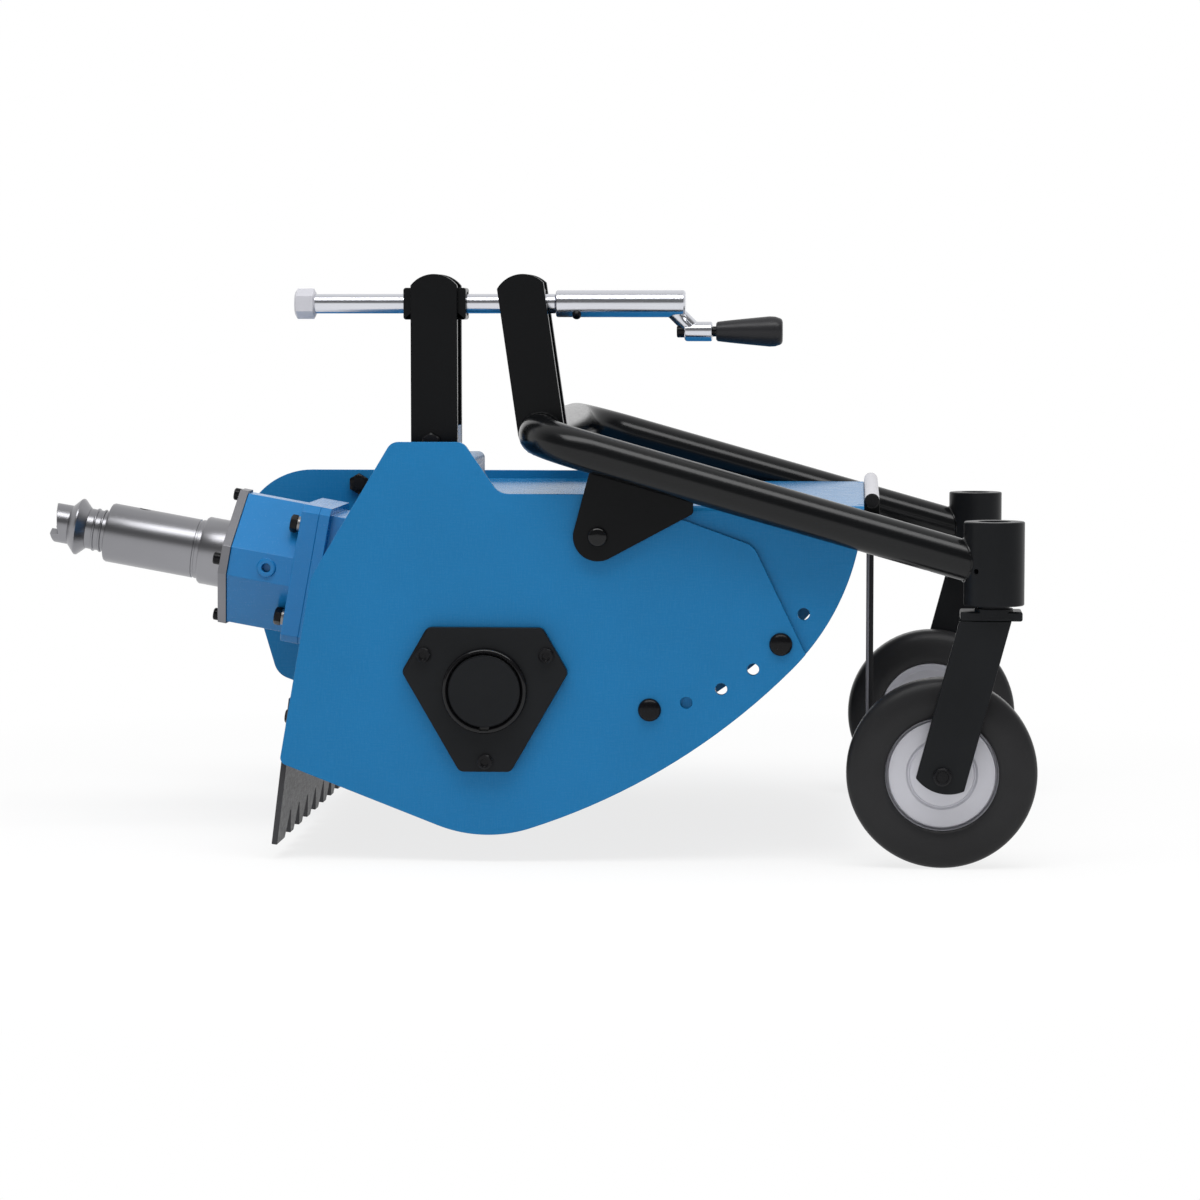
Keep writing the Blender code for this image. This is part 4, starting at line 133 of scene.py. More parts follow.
# Deck, rear wall and hood
SHEET = 0.004
DECK_TOP = 0.3787
DECK_FRONT_X = 0.112
DECK_REAR_X = -0.158
DECK_BEND = 0.012
HOOD_REAR_X = 0.1125
HOOD_FRONT_X = 0.3714
HOOD_SHEET = 0.0045
HOOD_LOW = 0.03  # the channel reaches down to here before its cheeks are cut
HOOD_BEND = 0.006
HOOD_HOLES_CENTRE = (0.1244, 0.3791)
HOOD_HOLES_RADIUS = 0.2165
HOOD_HOLES_START = radians(-84)
HOOD_HOLES_STEP = radians(10.46)
HOOD_HOLES = 6
PLATE_HOLES = 5  # the last hole lies on the hood's cheek alone
HOOD_BOLTED = (0, 4)
HOOD_BLIND = 1  # the hood's cheek closes this hole of the plate
HOOD_BOLT_RADIUS = 0.006
HOOD_BOLT_HEAD = 0.0122
HOOD_BOLT_DOME = 0.006
FAR_BOLT = (-0.239, 0.374)
FAR_BOLT_SIZE = (0.006, 0.0110, 0.008)

# Rear comb
COMB_THICK = 0.006
COMB_TILT = radians(7.1)
COMB_BOTTOM = 0.0157
COMB_TOP = 0.172
COMB_NOTCH_DEEP = 0.032
COMB_NOTCH_ROUND = 0.004
COMB_PITCH = 0.0625
COMB_TIP = 0.022
COMB_TEETH = 9
COMB_BOLT_Z = 0.1494
COMB_BOLT_Y = (-0.265, -0.09, 0.09, 0.265)
COMB_BOLT = (0.004, 0.00625, 0.005)  # shank radius, half width of the head, head height
COMB_BOLT_END = 0.006

# Rotor
ROTOR_AXIS = (-0.0262, 0.1839)
ROTOR_TUBE_RADIUS = 0.038
ROTOR_TUBE_ENDS = (-0.280, 0.268)
STUB_RADIUS = 0.0175
STUB_STEP = 0.004  # from the plate to where the far stub grows thinner
LUG_THICK = 0.006
LUG_SLOT = 0.015  # between the two lugs of a hammer
LUG_ROUND = 0.013
LUG_FOOT = 0.014  # half width of a lug on the tube
LUG_SEAM_LIFT = 0.0004
PIN_CIRCLE = 0.075
PIN_RADIUS = 0.006
PIN_HEAD_RADIUS = 0.009
PIN_HEAD = 0.003
HAMMERS = 12
HAMMER_PITCH = 0.046
HAMMER_ROWS = 4
HAMMER_START = radians(45)  # angle of the first row
HAMMER_SHIFT = 0.006  # of all hammers, towards the near plate
HAMMER_EYE = 0.014  # width of the eye
HAMMER_WIDE = 0.044
HAMMER_SHAPE = (  # (distance below the pin, half width, half thickness)
    (-0.0115, 0.5 * HAMMER_EYE, 0.0045),
    (-0.0080, 0.5 * HAMMER_EYE, 0.0088),
    (0.0000, 0.5 * HAMMER_EYE, 0.0112),
    (0.0110, 0.5 * HAMMER_EYE, 0.0100),
    (0.0320, 0.5 * HAMMER_EYE, 0.0080),
    (0.0400, 0.5 * HAMMER_WIDE, 0.0088),
    (0.0560, 0.5 * HAMMER_WIDE, 0.0095),
    (0.0680, 0.5 * HAMMER_WIDE, 0.0015),
)

# Rotor bearings
FLANGE_FLAT = 0.0666
FLANGE_CORNER = 0.0903
FLANGE_THICK = 0.010
FLANGE_BOSS_RADIUS = 0.045
FLANGE_BOSS = 0.009  # how far the boss stands off the flange
FLANGE_SCREW_CIRCLE = 0.075
FLANGE_SCREW = (0.005, 0.008, 0.005)
FLANGE_SCREWS = (30, 150, 270)  # degrees round the rotor axis
FLANGE_FLATS = (90, 210, 330)
BEARING_RADIUS = 0.036
BEARING_WIDE = 0.014
SMALL_BEARING = 0.012  # how far a small bearing reaches out from its shaft
FLANGE_ROUND = 0.008
PLATE_BORE = 0.030
CAP_RADIUS = 0.0406
CAP_GROOVE = 0.0025  # groove round the cap pressed into the boss
CAP_THICK = 0.003
BOSS_ROUND = 0.004
THUMB_SLOT = 0.005  # half width
THUMB_SLOT_DEEP = 0.0035
THUMB_SLOT_FLOOR = 0.002  # how far its floor stands off the flange
CORE_EDGE = 0.0008  # of the cap in its collar

# Drive line: the input axis tilts and u runs along it from the bevel centre to the rear
BEVEL_CENTRE = (-0.295, 0.2962)
DRIVE_TILT = radians(10.3)
BOX_LONG = 0.074  # half size of the gearbox's eight sided section
BOX_FLAT = 0.016
BOX_U = (-0.029, 0.043)
BOX_FLANGE = 0.078
BOX_FLANGE_U = -0.049
BOX_CHAMFER = 0.008
CAVITY_RADIUS = 0.054
CAVITY_U = -0.040
BOX_BOLT = 0.053
BOX_BOLT_SIZE = (0.005, 0.0088, 0.0130)
BOX_BOLT_DEEP = 0.008  # how far a bolt runs into the adapter
FLAT_WASHER = 0.0020
SPRING_WASHER = 0.0050
SIDE_BOSS_RADIUS = 0.0105
SIDE_BOSS = 0.003
SIDE_BOSS_HOLE = 0.005
SIDE_BOSS_DEEP = 0.008
SHAFT_BOSS_FROM = 0.040
FRONT_FLANGE = 0.0095
FRONT_SCREW_CIRCLE = 0.0695
FRONT_SCREW = (0.0042, 0.0070, 0.008)
SLEEVE_RING = 0.0385
SLEEVE_RING_U = 0.086
SLEEVE_RADIUS = 0.03365
SLEEVE_RIM = ((-0.003, 0), (-0.001, -0.0014))  # steps (along, outwards) of the ring's rear rim
SLEEVE_GROOVE = ((0, 0), (0.004, 0), (0.0045, -0.0008), (0.0065, -0.0008), (0.007, 0))
SLEEVE_END = ((-0.003, 0), (-0.0008, -0.001), (0, -0.003))
SLEEVE_BORE = 0.024
SLEEVE_U = 0.196
SLEEVE_HOLE_U = 0.159
SLEEVE_HOLE = 0.0065
INPUT_RADIUS = 0.014
INPUT_NECK = 0.023
INPUT_NECK_U = 0.219
INPUT_NOSE = 0.0117
INPUT_NOSE_U = 0.238
INPUT_FRONT = 0.021
INPUT_RINGS = (0.201, 0.209)
INPUT_RING = ((0, 0), (0.0005, 0.0012), (0.0015, 0.0016), (0.0025, 0.0012), (0.003, 0))
BEVEL_BACK = 0.042  # back of the bevel pinion
COLLAR_RADIUS = 0.0322
COLLAR_U = 0.2298
COLLAR_STEPS = ((-DOG_EDGE, -0.0016), (0, -0.0008), (0, 0.0008), (-DOG_EDGE, 0.0016))  # (outwards, along)
DOG_RADIUS = 0.02225
DOG_BORE = 0.0120
DOG_U = (0.240, 0.250, 0.259)  # root of the jaws, their low end and their high end
DOG_JAWS = 3
JAW_STEPS = 24
JAW_CLIFF = radians(3)  # turn in which a jaw drops back to its low end
ADAPTER_U = -0.061
ADAPTER_HALF_HIGH = 0.070
ADAPTER_HALF_WIDE = 0.062
WALL_U = -0.0879  # middle of the rear wall where the gearbox stands on it
WALL_TOP_V = 0.0198
WALL_BEND_V = -0.1174
WALL_FOOT_Z = 0.105

# Belt drive, two to one
CROSS_RADIUS = 0.0125
CROSS_PLAY = 0.004  # room round the cross shaft in the far plate
CROSS_BEARING = 0.0240
BELT_RUN = 0.0012  # the belt stands off the pulleys' grooves by this
BELT_THICK = 0.008
BELT_RATIO = 2
DRIVEN_GROOVE = 0.026
DRIVEN_PITCH = DRIVEN_GROOVE + BELT_RUN + 0.5 * BELT_THICK
DRIVE_GROOVE = BELT_RATIO * DRIVEN_PITCH - BELT_RUN - 0.5 * BELT_THICK
PULLEY_Y = (0.316, 0.336)
COVER_WALL = 0.003
COVER_ROOM = 0.003  # free room between belt and cover
COVER_RIM = 0.010
COVER_OUT = 0.342
COVER_ROUND = 0.006
COVER_FILLET = ((0.003, 0), (0.001, 0.0008), (0, 0.003))  # (outwards, along) from rim to wall
COVER_SCREW = (0.003, 0.0055, 0.004)
COVER_SCREWS = ((100, 180, 260), (20, -75))  # degrees round its big end and its small one
COVER_RIM_EDGE = 0.2  # share of the wall that the rim's edge takes
SHAFT_SEAM_IN = 0.0015  # from the plate to the middle of the shaft tube's seam
TUBE_RADIUS = 0.030
TUBE_WALL = 0.003

# Height frame
FRAME_PIVOT = (0.0928, 0.3466)
FRAME_TUBE_RADIUS = 0.0212
FRAME_TUBE_WALL = 0.003
FRAME_SIDES = 56
FRAME_Y = 0.3218
FRAME_REAR = (0.0269, 0.4519)  # axis of the cross tube
FRAME_SLOPE = radians(15.85)
FRAME_BEND = 0.065
VENT_RADIUS = 0.0030  # hole in a barrel's wall beside its tube
VENT_Z = 0.3145
VENT_TURN = radians(38)
VENT_REACH = (0.9, 1.1)  # from a share of the bore's radius to a share of the barrel's
DRAIN_RADIUS = 0.004
BARREL_X = 0.5061
BARREL_RADIUS = 0.0315
BARREL_Z = (0.278, 0.365)
STEM_RADIUS = 0.016
GUSSET = 0.006
GUSSET_IN = 0.303
GUSSET_ROUND = 0.026
GUSSET_REAR = (0.0850, 0.0660)  # x at the tube and x beside the pivot
GUSSET_REAR_Z = 0.352
GUSSET_TIP = (0.1930, 0.3710)
GUSSET_ROUNDS = (0.004, 0.003, 0.005)  # at the rear top, the tip's top and the tip
PIVOT_BOLT_RADIUS = 0.006
PIVOT_WASHER = 0.011
PIVOT_WASHER_THICK = 0.0015
PIVOT_UNDER = 0.0017  # from the gusset to the bolt's head
PIVOT_HEAD = 0.007
PIVOT_HEAD_WIDE = 0.94  # share of the washer's radius
SPACER_RADIUS = 0.013

# Height screw, its arm and its stand
SCREW_Y = -0.205
SCREW_Z = 0.5903
SCREW_RADIUS = 0.0105
NUT_PIVOT_X = -0.088
ARM_PIVOT_X = 0.0072
BAR_WIDE = 0.050
BAR_THICK = 0.008
BAR_GAP = 0.034  # between the two bars of a pair
BAR_OVER = 0.0316  # from the pivot to the top of a bar
BAR_FACE = 0.5 * BAR_GAP + BAR_THICK  # from the middle of a pair to its outer face
ARM_TILT = radians(8.2)
BLOCK_HALF_LONG = 0.0336
ARM_BLOCK_HALF_LONG = 0.022
BLOCK_HALF_HIGH = 0.017
BLOCK_CHAMFER = 0.003
TRUNNION_RADIUS = 0.009
PIN_SKIN = 0.0012  # how thick a bar stays over the pin's end
NUT_PLAY = 0.0023  # takes up the swing of the screw, the one pivot left open
PEDESTAL_X = (-0.125, -0.042)
PEDESTAL_TOP = 0.430
PEDESTAL_INNER_Y = -0.145
PEDESTAL_BEND = 0.005
EAR_TOP = 0.460
EAR_BOLT = (-0.0907, 0.442)
EAR_BOLT_SIZE = (0.006, 0.0095, 0.0075)
SCREW_NUT_X = (-0.2399, -0.218)
SCREW_NUT_FLAT = 0.01415
SCREW_NUT_FACE = (0.6, 0.9)  # shares of the half width: the hollow of its face and the round
SCREW_TAIL = 0.060  # how far the screw's thin end runs into the crank's sleeve
SCREW_TAIL_RADIUS = 0.008
SLEEVE_X = (0.0414, 0.1799)
CRANK_SLEEVE_RADIUS = 0.0145
CRANK_DROP = 0.0296
CRANK_EYE_X = (0.1790, 0.2086)
CRANK_EYE_RADIUS = 0.0105
CRANK_WEB_WIDE = 0.018
CRANK_WEB_START = (-0.016, -0.004)  # from the sleeve's end on its axis
CRANK_WEB_STOP = (0.010, 0.001)  # from the eye's rear face on its axis
CRANK_WEB_SIZES = ((0, 1), (0.85, 1), (0.96, 0.8), (1, 0.5))  # (share of the way, share of the width)
CRANK_EYE_RIM = ((0, -0.002), (0.001, -0.0006), (0.003, 0))
SET_SCREW_X = 0.0639
SET_SCREW_RADIUS = 0.004
SET_SCREW_STEPS = ((-FUSE, 0.001), (0.003, 0.0006), (0.004, 0))
SET_SCREW_SOCKET = ((0.004, 0.0022), (0.002, 0.002))
SET_SCREW_TURN = radians(40)  # from straight down towards the near side
GRIP_BOLT_RADIUS = 0.004
GRIP_NUT_RADIUS = 0.0065
GRIP_SHOULDER = 0.0055
GRIP_X = (0.2128, 0.2837)
GRIP_RADII = (0.01045, 0.0162)
GRIP_BASE = 0.0015
GRIP_ENDS = 0.0155  # length of the grip's two rounded ends
GRIP_SWELL = 0.9  # power of the curve by which the grip grows
GRIP_TIP = ((-0.008, -0.0003), (-0.0028, -0.0020), (-0.0012, -0.0030), (-0.0003, -0.0046), (0, -0.006))

# Castors
CROWN_X = (0.4715, 0.5355)
CROWN_THICK = 0.010
CROWN_INNER_Y = 0.290
NECK = 0.006
NECK_MORE = 0.004  # how much thicker the neck is than the stem
STEM_END = 0.004  # from the barrel's top down to the stem's end
CROWN_BOTTOM = BARREL_Z[0] - NECK - CROWN_THICK
LEG_THICK = 0.008
LEG_WIDE = 0.052
LEG_OUTER_Y = 0.336
LEG_TILT = radians(15)
LEG_END_RADIUS = 0.042
LEG_END_UP = 0.024
WHEEL_CENTRE = (0.4538, 0.100)
WHEEL_Y = 0.297
WHEEL_RADIUS = 0.100
WHEEL_WIDE = 0.050
HUB_INNER_Y = WHEEL_Y - 0.5 * WHEEL_WIDE + 0.002
RIM_IN = 0.006  # how far the rim lies inside the tyre's faces
TREAD_DROP = 0.026  # how far the tread falls off to its sides
TREAD_STEPS = 14
TREAD_CURVE = 5.5  # power of the curve that it falls off by
TYRE_SHARP = 60
TYRE_INNER = 0.061
TYRE_LIP = 0.0592  # the outer lip overlaps the rim's flange
LIP_WIDE = 0.0056
TYRE_INNER_LIP = ((RIM_IN, 0), (0.002, 0.0012), (0.0006, 0.0045))
TYRE_OUTER_LIP = ((-0.0006, 0.0035), (-0.002, 0.0006), (-0.003, 0), (-LIP_WIDE, 0))
AXLE_RADIUS = 0.006
AXLE_HEAD = 0.0095
AXLE_HEAD_STEPS = ((0, -0.0004), (0.0006, 0), (0.0042, 0), (0.0056, -0.0014), (0.0056, -0.003),
                   (0.0046, -0.0036))
AXLE_HOLLOW = (0.0046, 0.001)
HUB_RADIUS = 0.014
DISC_RADIUS = 0.056
HUB_DISC_RADIUS = 0.0346
DISH_IN = 0.010  # from the wheel's middle to its disc's inner face
DISH_OUT = 0.008  # from the tyre's outer face to the disc's outer face
RIM_INNER_LIP = ((0.001, -0.0012), (0, -0.0004), (0.0006, 0))
RIM_OUTER_LIP = ((-0.0006, 0), (0, -0.0004), (0, -0.0012))
WELL_DEEP = 0.009  # how far the rim's well lies inside the disc's face
WELL_SLOPE = 0.003
HUB_CONE = 0.004
DISH_EDGE = ((0, -0.004), (-0.003, -0.001))
DISC_EDGE = ((-WELL_DEEP, 0.0006), (-0.0006, 0), (0, -0.0006))
DISC_STEP = ((-0.0004, 0.003), (-0.002, 0.0008), (-0.002, 0), (0.0012, -0.0012), (0.002, -0.003))
HUB_FILLET = ((0.003, 0.002), (0.005, 0))
WHEEL_SIDES = 144
RIM_SHARP = 22

# Front flap
HINGE = (0.3797, 0.3825)
HINGE_RADIUS = 0.008
HINGE_BORE = 0.0062
HINGE_HALF = 0.255
FLAP_HALF = 0.215
FLAP_THICK = 0.007
FLAP_SHARE = 0.6  # the rubber's share of the thickness, the rest is its backing
FLAP_TOP = 0.368
FLAP_BOTTOM = 0.120
HANGER_ARM = 0.005
HANGER_WIDE = 0.016
HANGER_ROD = 0.0055
HANGER_CAP = 0.002  # how far its caps stand out round the rod
HANGER_END = 0.004
HANGER_BAR_Z = (0.0155, 0.0355)  # the bar's top and foot below the hinge
HANGER_BAR_LAP = 0.0045
HANGER_PLAY = 0.0008  # free room beside an arm in its notch in the hood
HANGER_NOTCH = 0.007  # how deep the hood's edge is notched for an arm

LEFT, RIGHT = -1, 1
PLATE_OUT = 0.5 * WIDTH
PLATE_IN = PLATE_OUT - PLATE
INSIDE = PLATE_IN - GAP
Y_AXIS = Vector((0, 1, 0))
X_AXIS = Vector((1, 0, 0))
Z_AXIS = Vector((0, 0, 1))
U_AXIS = Vector((-cos(DRIVE_TILT), 0, sin(DRIVE_TILT)))
V_AXIS = Vector((sin(DRIVE_TILT), 0, cos(DRIVE_TILT)))
BEVEL = Vector((BEVEL_CENTRE[0], 0, BEVEL_CENTRE[1]))

# Colours and finishes
BLUE = (0.010, 0.145, 0.340)
CAST_BLUE = (0.010, 0.165, 0.41)
BLACK = (0.0034, 0.0037, 0.0042)
# The black paint made lighter for the castors, their barrels and the bearing units: painted light that
# shows them more lit than the other black parts. Their casting skin is their own.
CAST_BLACK_PAINTED_LIGHT = (0.0090, 0.0098, 0.0110)
FINISHES = (  # name, slot, colour, roughness, metallic, specular, shade, spread, (skin, relief, strength)
    ("blue_paint", "blue_paint", BLUE, 0.27, 0.0, 0.14, 0.03, 0.05, ("peel", 0.00008, 0.12)),
    ("cast_blue_paint", "blue_paint", CAST_BLUE, 0.24, 0.0, 0.32, 0.05, 0.06, ("casting", 0.0003, 0.12)),
    ("black_paint", "black_paint", BLACK, 0.24, 0.0, 0.10, 0.12, 0.03, ("peel", 0.00008, 0.12)),
    ("tube_black", "black_paint", BLACK, 0.20, 0.0, 0.30, 0.12, 0.04, ("peel", 0.00008, 0.12)),
    # the same black paint, lighter: painted light on the castors, barrels and bearing units
    ("cast_black", "black_paint", CAST_BLACK_PAINTED_LIGHT, 0.33, 0.0, 0.10, 0.15, 0.04, ("casting", 0.0002, 0.15)),
    ("gloss_black", "black_paint", (0.0035, 0.0035, 0.004), 0.14, 0.0, 0.28, 0.1, 0.03, None),
    ("blackened_bolt", "black_paint", (0.004, 0.004, 0.005), 0.25, 0.0, 0.16, 0.2, 0.08,
     ("casting", 0.0001, 0.15)),
    ("comb_steel", "black_paint", (0.040, 0.040, 0.043), 0.46, 0.3, 0.3, 0.25, 0.1,
     ("casting", 0.0002, 0.3)),
    ("washer_zinc", "zinc", (0.26, 0.255, 0.25), 0.38, 1.0, 0.5, 0.12, 0.06, None),
    ("zinc_disc", "zinc", (0.50, 0.50, 0.54), 0.36, 0.25, 0.35, 0.04, 0.05, None),
    ("grey_casting", "grey_steel", (0.215, 0.215, 0.23), 0.38, 1.0, 0.5, 0.08, 0.03,
     ("casting", 0.0001, 0.10)),
    ("turned_steel", "turned_steel", (0.285, 0.285, 0.302), 0.30, 1.0, 0.5, 0.05, 0.008, None),
    ("ground_steel", None, (0.50, 0.49, 0.50), 0.25, 1.0, 0.5, 0.08, 0.05, ("lathe", 0.00002, 0.1)),
    ("forged_steel", "forged_steel", (0.075, 0.073, 0.075), 0.52, 0.6, 0.5, 0.25, 0.12,
     ("casting", 0.0005, 0.5)),
    ("chrome", "chrome", (0.68, 0.69, 0.74), 0.21, 1.0, 0.5, 0.03, 0.008, None),
    ("flap_rubber", "rubber", (0.014, 0.014, 0.015), 0.72, 0.0, 0.2, 0.2, 0.1, ("casting", 0.0003, 0.4)),
    ("flap_fabric", "rubber", (0.16, 0.16, 0.18), 0.75, 0.0, 0.2, 0.1, 0.08, ("peel", 0.0003, 0.5)),
    ("tyre_rubber", "tyre", (0.019, 0.019, 0.020), 0.36, 0.0, 0.14, 0.12, 0.08, ("peel", 0.0002, 0.25)),
    ("black_plastic", "black_plastic", (0.015, 0.015, 0.017), 0.36, 0.0, 0.25, 0.1, 0.08,
     ("peel", 0.0002, 0.25)),
)
SLOTS = {name: slot for name, slot, *_ in FINISHES}
CLOUDS = (("Patches", 9.0), ("Grain", 420.0))  # (output, scale)
CLOUD_DETAIL = 3.0
CLOUD_RANGE = (0.3, 0.7)  # of the noise, spread out to 0 and 1
SKINS = {  # name, scale and detail of the coarse noise, of the fine one, share of the fine one
    "peel": ("Paint peel", 260.0, 1.0, 1100.0, 2.0, 0.35),
    "casting": ("Casting skin", 240.0, 4.0, 700.0, 3.0, 0.5),
}
SCUFFS = (60.0, 4.0)  # scale and detail
SCUFF_WAYS = ((1.0, 1.0, 26.0), (22.0, 3.0, 1.0))
SCUFF_RANGE = (0.8, 1.25)
SCUFF_SHARE = 0.5
LATHE_TURN = (radians(90), 0.0, 0.0)  # turns the Y axis onto Z
LATHE = (40.0, 6.0, (0.02, 0.02, 40.0))  # scale, detail and stretch
PACKED_FINISHES = {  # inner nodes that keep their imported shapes
    "forged_steel": ("bevel_pinion", "bevel_gear", "drive_pulley", "driven_pulley"),
    "flap_rubber": ("drive_belt",),
    "ground_steel": ("cross_shaft", "left_rotor_bearing", "right_rotor_bearing", "cross_bearing",
                     "input_bearing"),
}

# The photo's viewpoint and its light
VIEW_FROM = (0.3667, -4.2100, 0.5807)
VIEW_WAY = (-0.260, 3.739, -0.288)
VIEW_WIDE = 1200  # pixels
VIEW_FOCUS = 3739  # focal length in pixels of a picture that wide
SENSOR = 36
WORLD_LIGHT = 0.36
STUDIO_FRONT = ((0.08, 1.0), (0.17, 0.16), (0.60, 0.13), (0.85, 0.45), (1.0, 0.5))  # (height, light)
STUDIO_BACK = 0.85
STUDIO_TURN = 0.25
PAPER = 0.9
PAPER_GLOW = 0.8
PAPER_FADE = (0.5, 1.3)  # over these distances the paper grows as white as the world
FLOOR_REACH = 14.0
FLOOR_Z = -0.0002
LAMPS = (  # name, place, target, size, watts, whether it shows in gloss
    ("long_softbox", (0.25, -1.35, 2.7), (0.1, 0.0, 0.3), (3.4, 1.0), 52, True),
    ("overhead_softbox", (0.1, -0.4, 3.2), (0.0, 0.0, 0.3), (2.4, 1.6), 42, False),
    ("low_fill", (-0.3, -2.6, 0.25), (0.0, 0.0, 0.3), (2.6, 0.3), 12, False),
)

EFFECTS = {}
MATERIALS = {}
PIECES = []


# Shader effects
def add_node(tree, kind, output, inputs, **settings):
    """A shader node with its settings and its inputs, each a value or a link. Gives an output."""
    node = tree.nodes.new(kind)
    for name, value in settings.items():
        setattr(node, name, value)
    for name, value in inputs.items():
        if isinstance(value, bpy.types.NodeSocket):
            tree.links.new(value, node.inputs[name])
        else:
            node.inputs[name].default_value = value
    return node.outputs[output]


def add_group(name, *outputs):
    """A shader group from a vector to values, with its vector and its output node."""
    group = bpy.data.node_groups.new(name, "ShaderNodeTree")
    group.interface.new_socket("Vector", in_out="INPUT", socket_type="NodeSocketVector")
    for label in outputs:
        group.interface.new_socket(label, in_out="OUTPUT", socket_type="NodeSocketFloat")
    vector = group.nodes.new("NodeGroupInput").outputs["Vector"]
    return group, vector, group.nodes.new("NodeGroupOutput")


def add_noise(tree, vector, scale, detail, stretch=None):
    """A noise texture on a vector, stretched if asked, and its value from 0 to 1."""
    if stretch:
        vector = add_node(tree, "ShaderNodeMapping", "Vector", {"Vector": vector, "Scale": stretch})
    return add_node(tree, "ShaderNodeTexNoise", "Fac",
                    {"Vector": vector, "Scale": scale, "Detail": detail})


def add_range(tree, value, from_low, from_high, to_low, to_high):
    return add_node(tree, "ShaderNodeMapRange", "Result", {
        "Value": value, "From Min": from_low, "From Max": from_high, "To Min": to_low, "To Max": to_high})


def add_sum(tree, first, second, share):
    """first times share plus second."""
    return add_node(tree, "ShaderNodeMath", "Value", {0: first, 1: share, 2: second},
                    operation="MULTIPLY_ADD")


def make_clouding():
    """Soft patches over a hand's width with a finer grain in them, from 0 to 1."""
    group, vector, result = add_group("Surface clouding", "Patches", "Grain")
    for label, scale in CLOUDS:
        cloud = add_range(group, add_noise(group, vector, scale, CLOUD_DETAIL), *CLOUD_RANGE, 0.0, 1.0)
        group.links.new(cloud, result.inputs[label])
    return group


def make_skin(name, coarse_scale, coarse_detail, fine_scale, fine_detail, share):
    """A skin's height: a coarse noise with a share of a fine one on it."""
    group, vector, result = add_group(name, "Height")
    coarse = add_noise(group, vector, coarse_scale, coarse_detail)
    fine = add_noise(group, vector, fine_scale, fine_detail)
    group.links.new(add_sum(group, fine, coarse, share), result.inputs["Height"])
    return group


def make_scuffs():
    """Fine marks that lie mostly one way, from 0 to 1."""
    group, vector, result = add_group("Fine scuffs", "Marks")
    long_marks, cross_marks = (add_noise(group, vector, *SCUFFS, way) for way in SCUFF_WAYS)
    both = add_sum(group, long_marks, cross_marks, 1.0)
    group.links.new(add_range(group, both, *SCUFF_RANGE, 0.0, 1.0), result.inputs["Marks"])
    return group


def make_lathe():
    """Fine rings round the Y axis, as a height."""
    group, vector, result = add_group("Turned across", "Height")
    turned = add_node(group, "ShaderNodeMapping", "Vector", {"Vector": vector, "Rotation": LATHE_TURN})
    group.links.new(add_noise(group, turned, *LATHE), result.inputs["Height"])
    return group


def add_effect(tree, group, vector):
    node = tree.nodes.new("ShaderNodeGroup")
    node.node_tree = group
    tree.links.new(vector, node.inputs["Vector"])
    return node.outputs


def add_finish(name, colour, roughness, metallic, specular, shade, spread, bumps):
    """A material whose colour, gloss and skin all vary a little over the piece.

    shade is how far the colour leans to dark and light, and spread how far the roughness
    strays. bumps are the skin's group, the depth of its bumps in metres and their strength.
    """
    material = bpy.data.materials.new(name)
    material.use_nodes = True
    tree = material.node_tree
    shader = tree.nodes["Principled BSDF"]
    shader.inputs["Metallic"].default_value = metallic
    shader.inputs["Specular IOR Level"].default_value = specular
    place = tree.nodes.new("ShaderNodeTexCoord").outputs["Object"]
    clouds = add_effect(tree, EFFECTS["clouding"], place)
    low = (*(value * (1 - shade) for value in colour), 1)
    high = (*(min(1.0, value * (1 + shade)) for value in colour), 1)
    tint = add_node(tree, "ShaderNodeMix", "Result", {"Factor": clouds["Patches"], "A": low, "B": high},
                    data_type="RGBA")
    tree.links.new(tint, shader.inputs["Base Color"])
    marks = add_effect(tree, EFFECTS["scuffs"], place)
    gloss = add_sum(tree, clouds["Grain"], marks["Marks"], SCUFF_SHARE)
    rough = add_range(tree, gloss, 0.0, 1 + SCUFF_SHARE, roughness - spread, roughness + spread)
    tree.links.new(rough, shader.inputs["Roughness"])
    if bumps:
        effect, relief, strength = bumps
        height = add_effect(tree, EFFECTS[effect], place)["Height"]
        bump = add_node(tree, "ShaderNodeBump", "Normal",
                        {"Height": height, "Strength": strength, "Distance": relief})
        tree.links.new(bump, shader.inputs["Normal"])
    material.diffuse_color = (*colour, 1)
    MATERIALS[name] = material


def make_materials():
    EFFECTS["clouding"] = make_clouding()
    for name, settings in SKINS.items():
        EFFECTS[name] = make_skin(*settings)
    EFFECTS["scuffs"] = make_scuffs()
    EFFECTS["lathe"] = make_lathe()
    for name, _, *finish in FINISHES:
        add_finish(name, *finish)


# Shapes
def skin(bm, rings, closed=False):
    """Joins rings of points, all of one count, into one solid."""
    loops = [[bm.verts.new(point) for point in ring] for ring in rings]
    pairs = list(zip(loops, loops[1:]))
    if closed:
        pairs.append((loops[-1], loops[0]))
    else:
        bm.faces.new(loops[0])
        bm.faces.new(loops[-1])
    count = len(loops[0])
    for low, high in pairs:
        for i in range(count):
            j = (i + 1) % count
            bm.faces.new((low[i], low[j], high[j], high[i]))


def side_vectors(axis):
    """Two unit vectors square to an axis, the second as near to up as it gets."""
    helper = Z_AXIS if abs(axis.dot(Z_AXIS)) < NEAR_UP else X_AXIS
    first = helper.cross(axis).normalized()
    return first, axis.cross(first).normalized()


def ring_of(centre, axis, radius, count):
    first, second = side_vectors(axis)
    angles = [2 * pi * i / count for i in range(count)]
    return [centre + radius * (sin(angle) * first - cos(angle) * second) for angle in angles]


def hex_ring(centre, axis, flat, count):
    """A hexagon of a given half width over its flats, with points along its sides."""
    first, second = side_vectors(axis)
    points = []
    for i in range(count):
        turned = 2 * pi * i / count
        reach = flat / cos((turned % (pi / 3)) - pi / 6)
        points.append(centre + reach * (sin(turned) * first - cos(turned) * second))
    return points


def clear(radius, count):
    """The corner radius of a bore whose flats lie at a radius."""
    return radius / cos(pi / count)


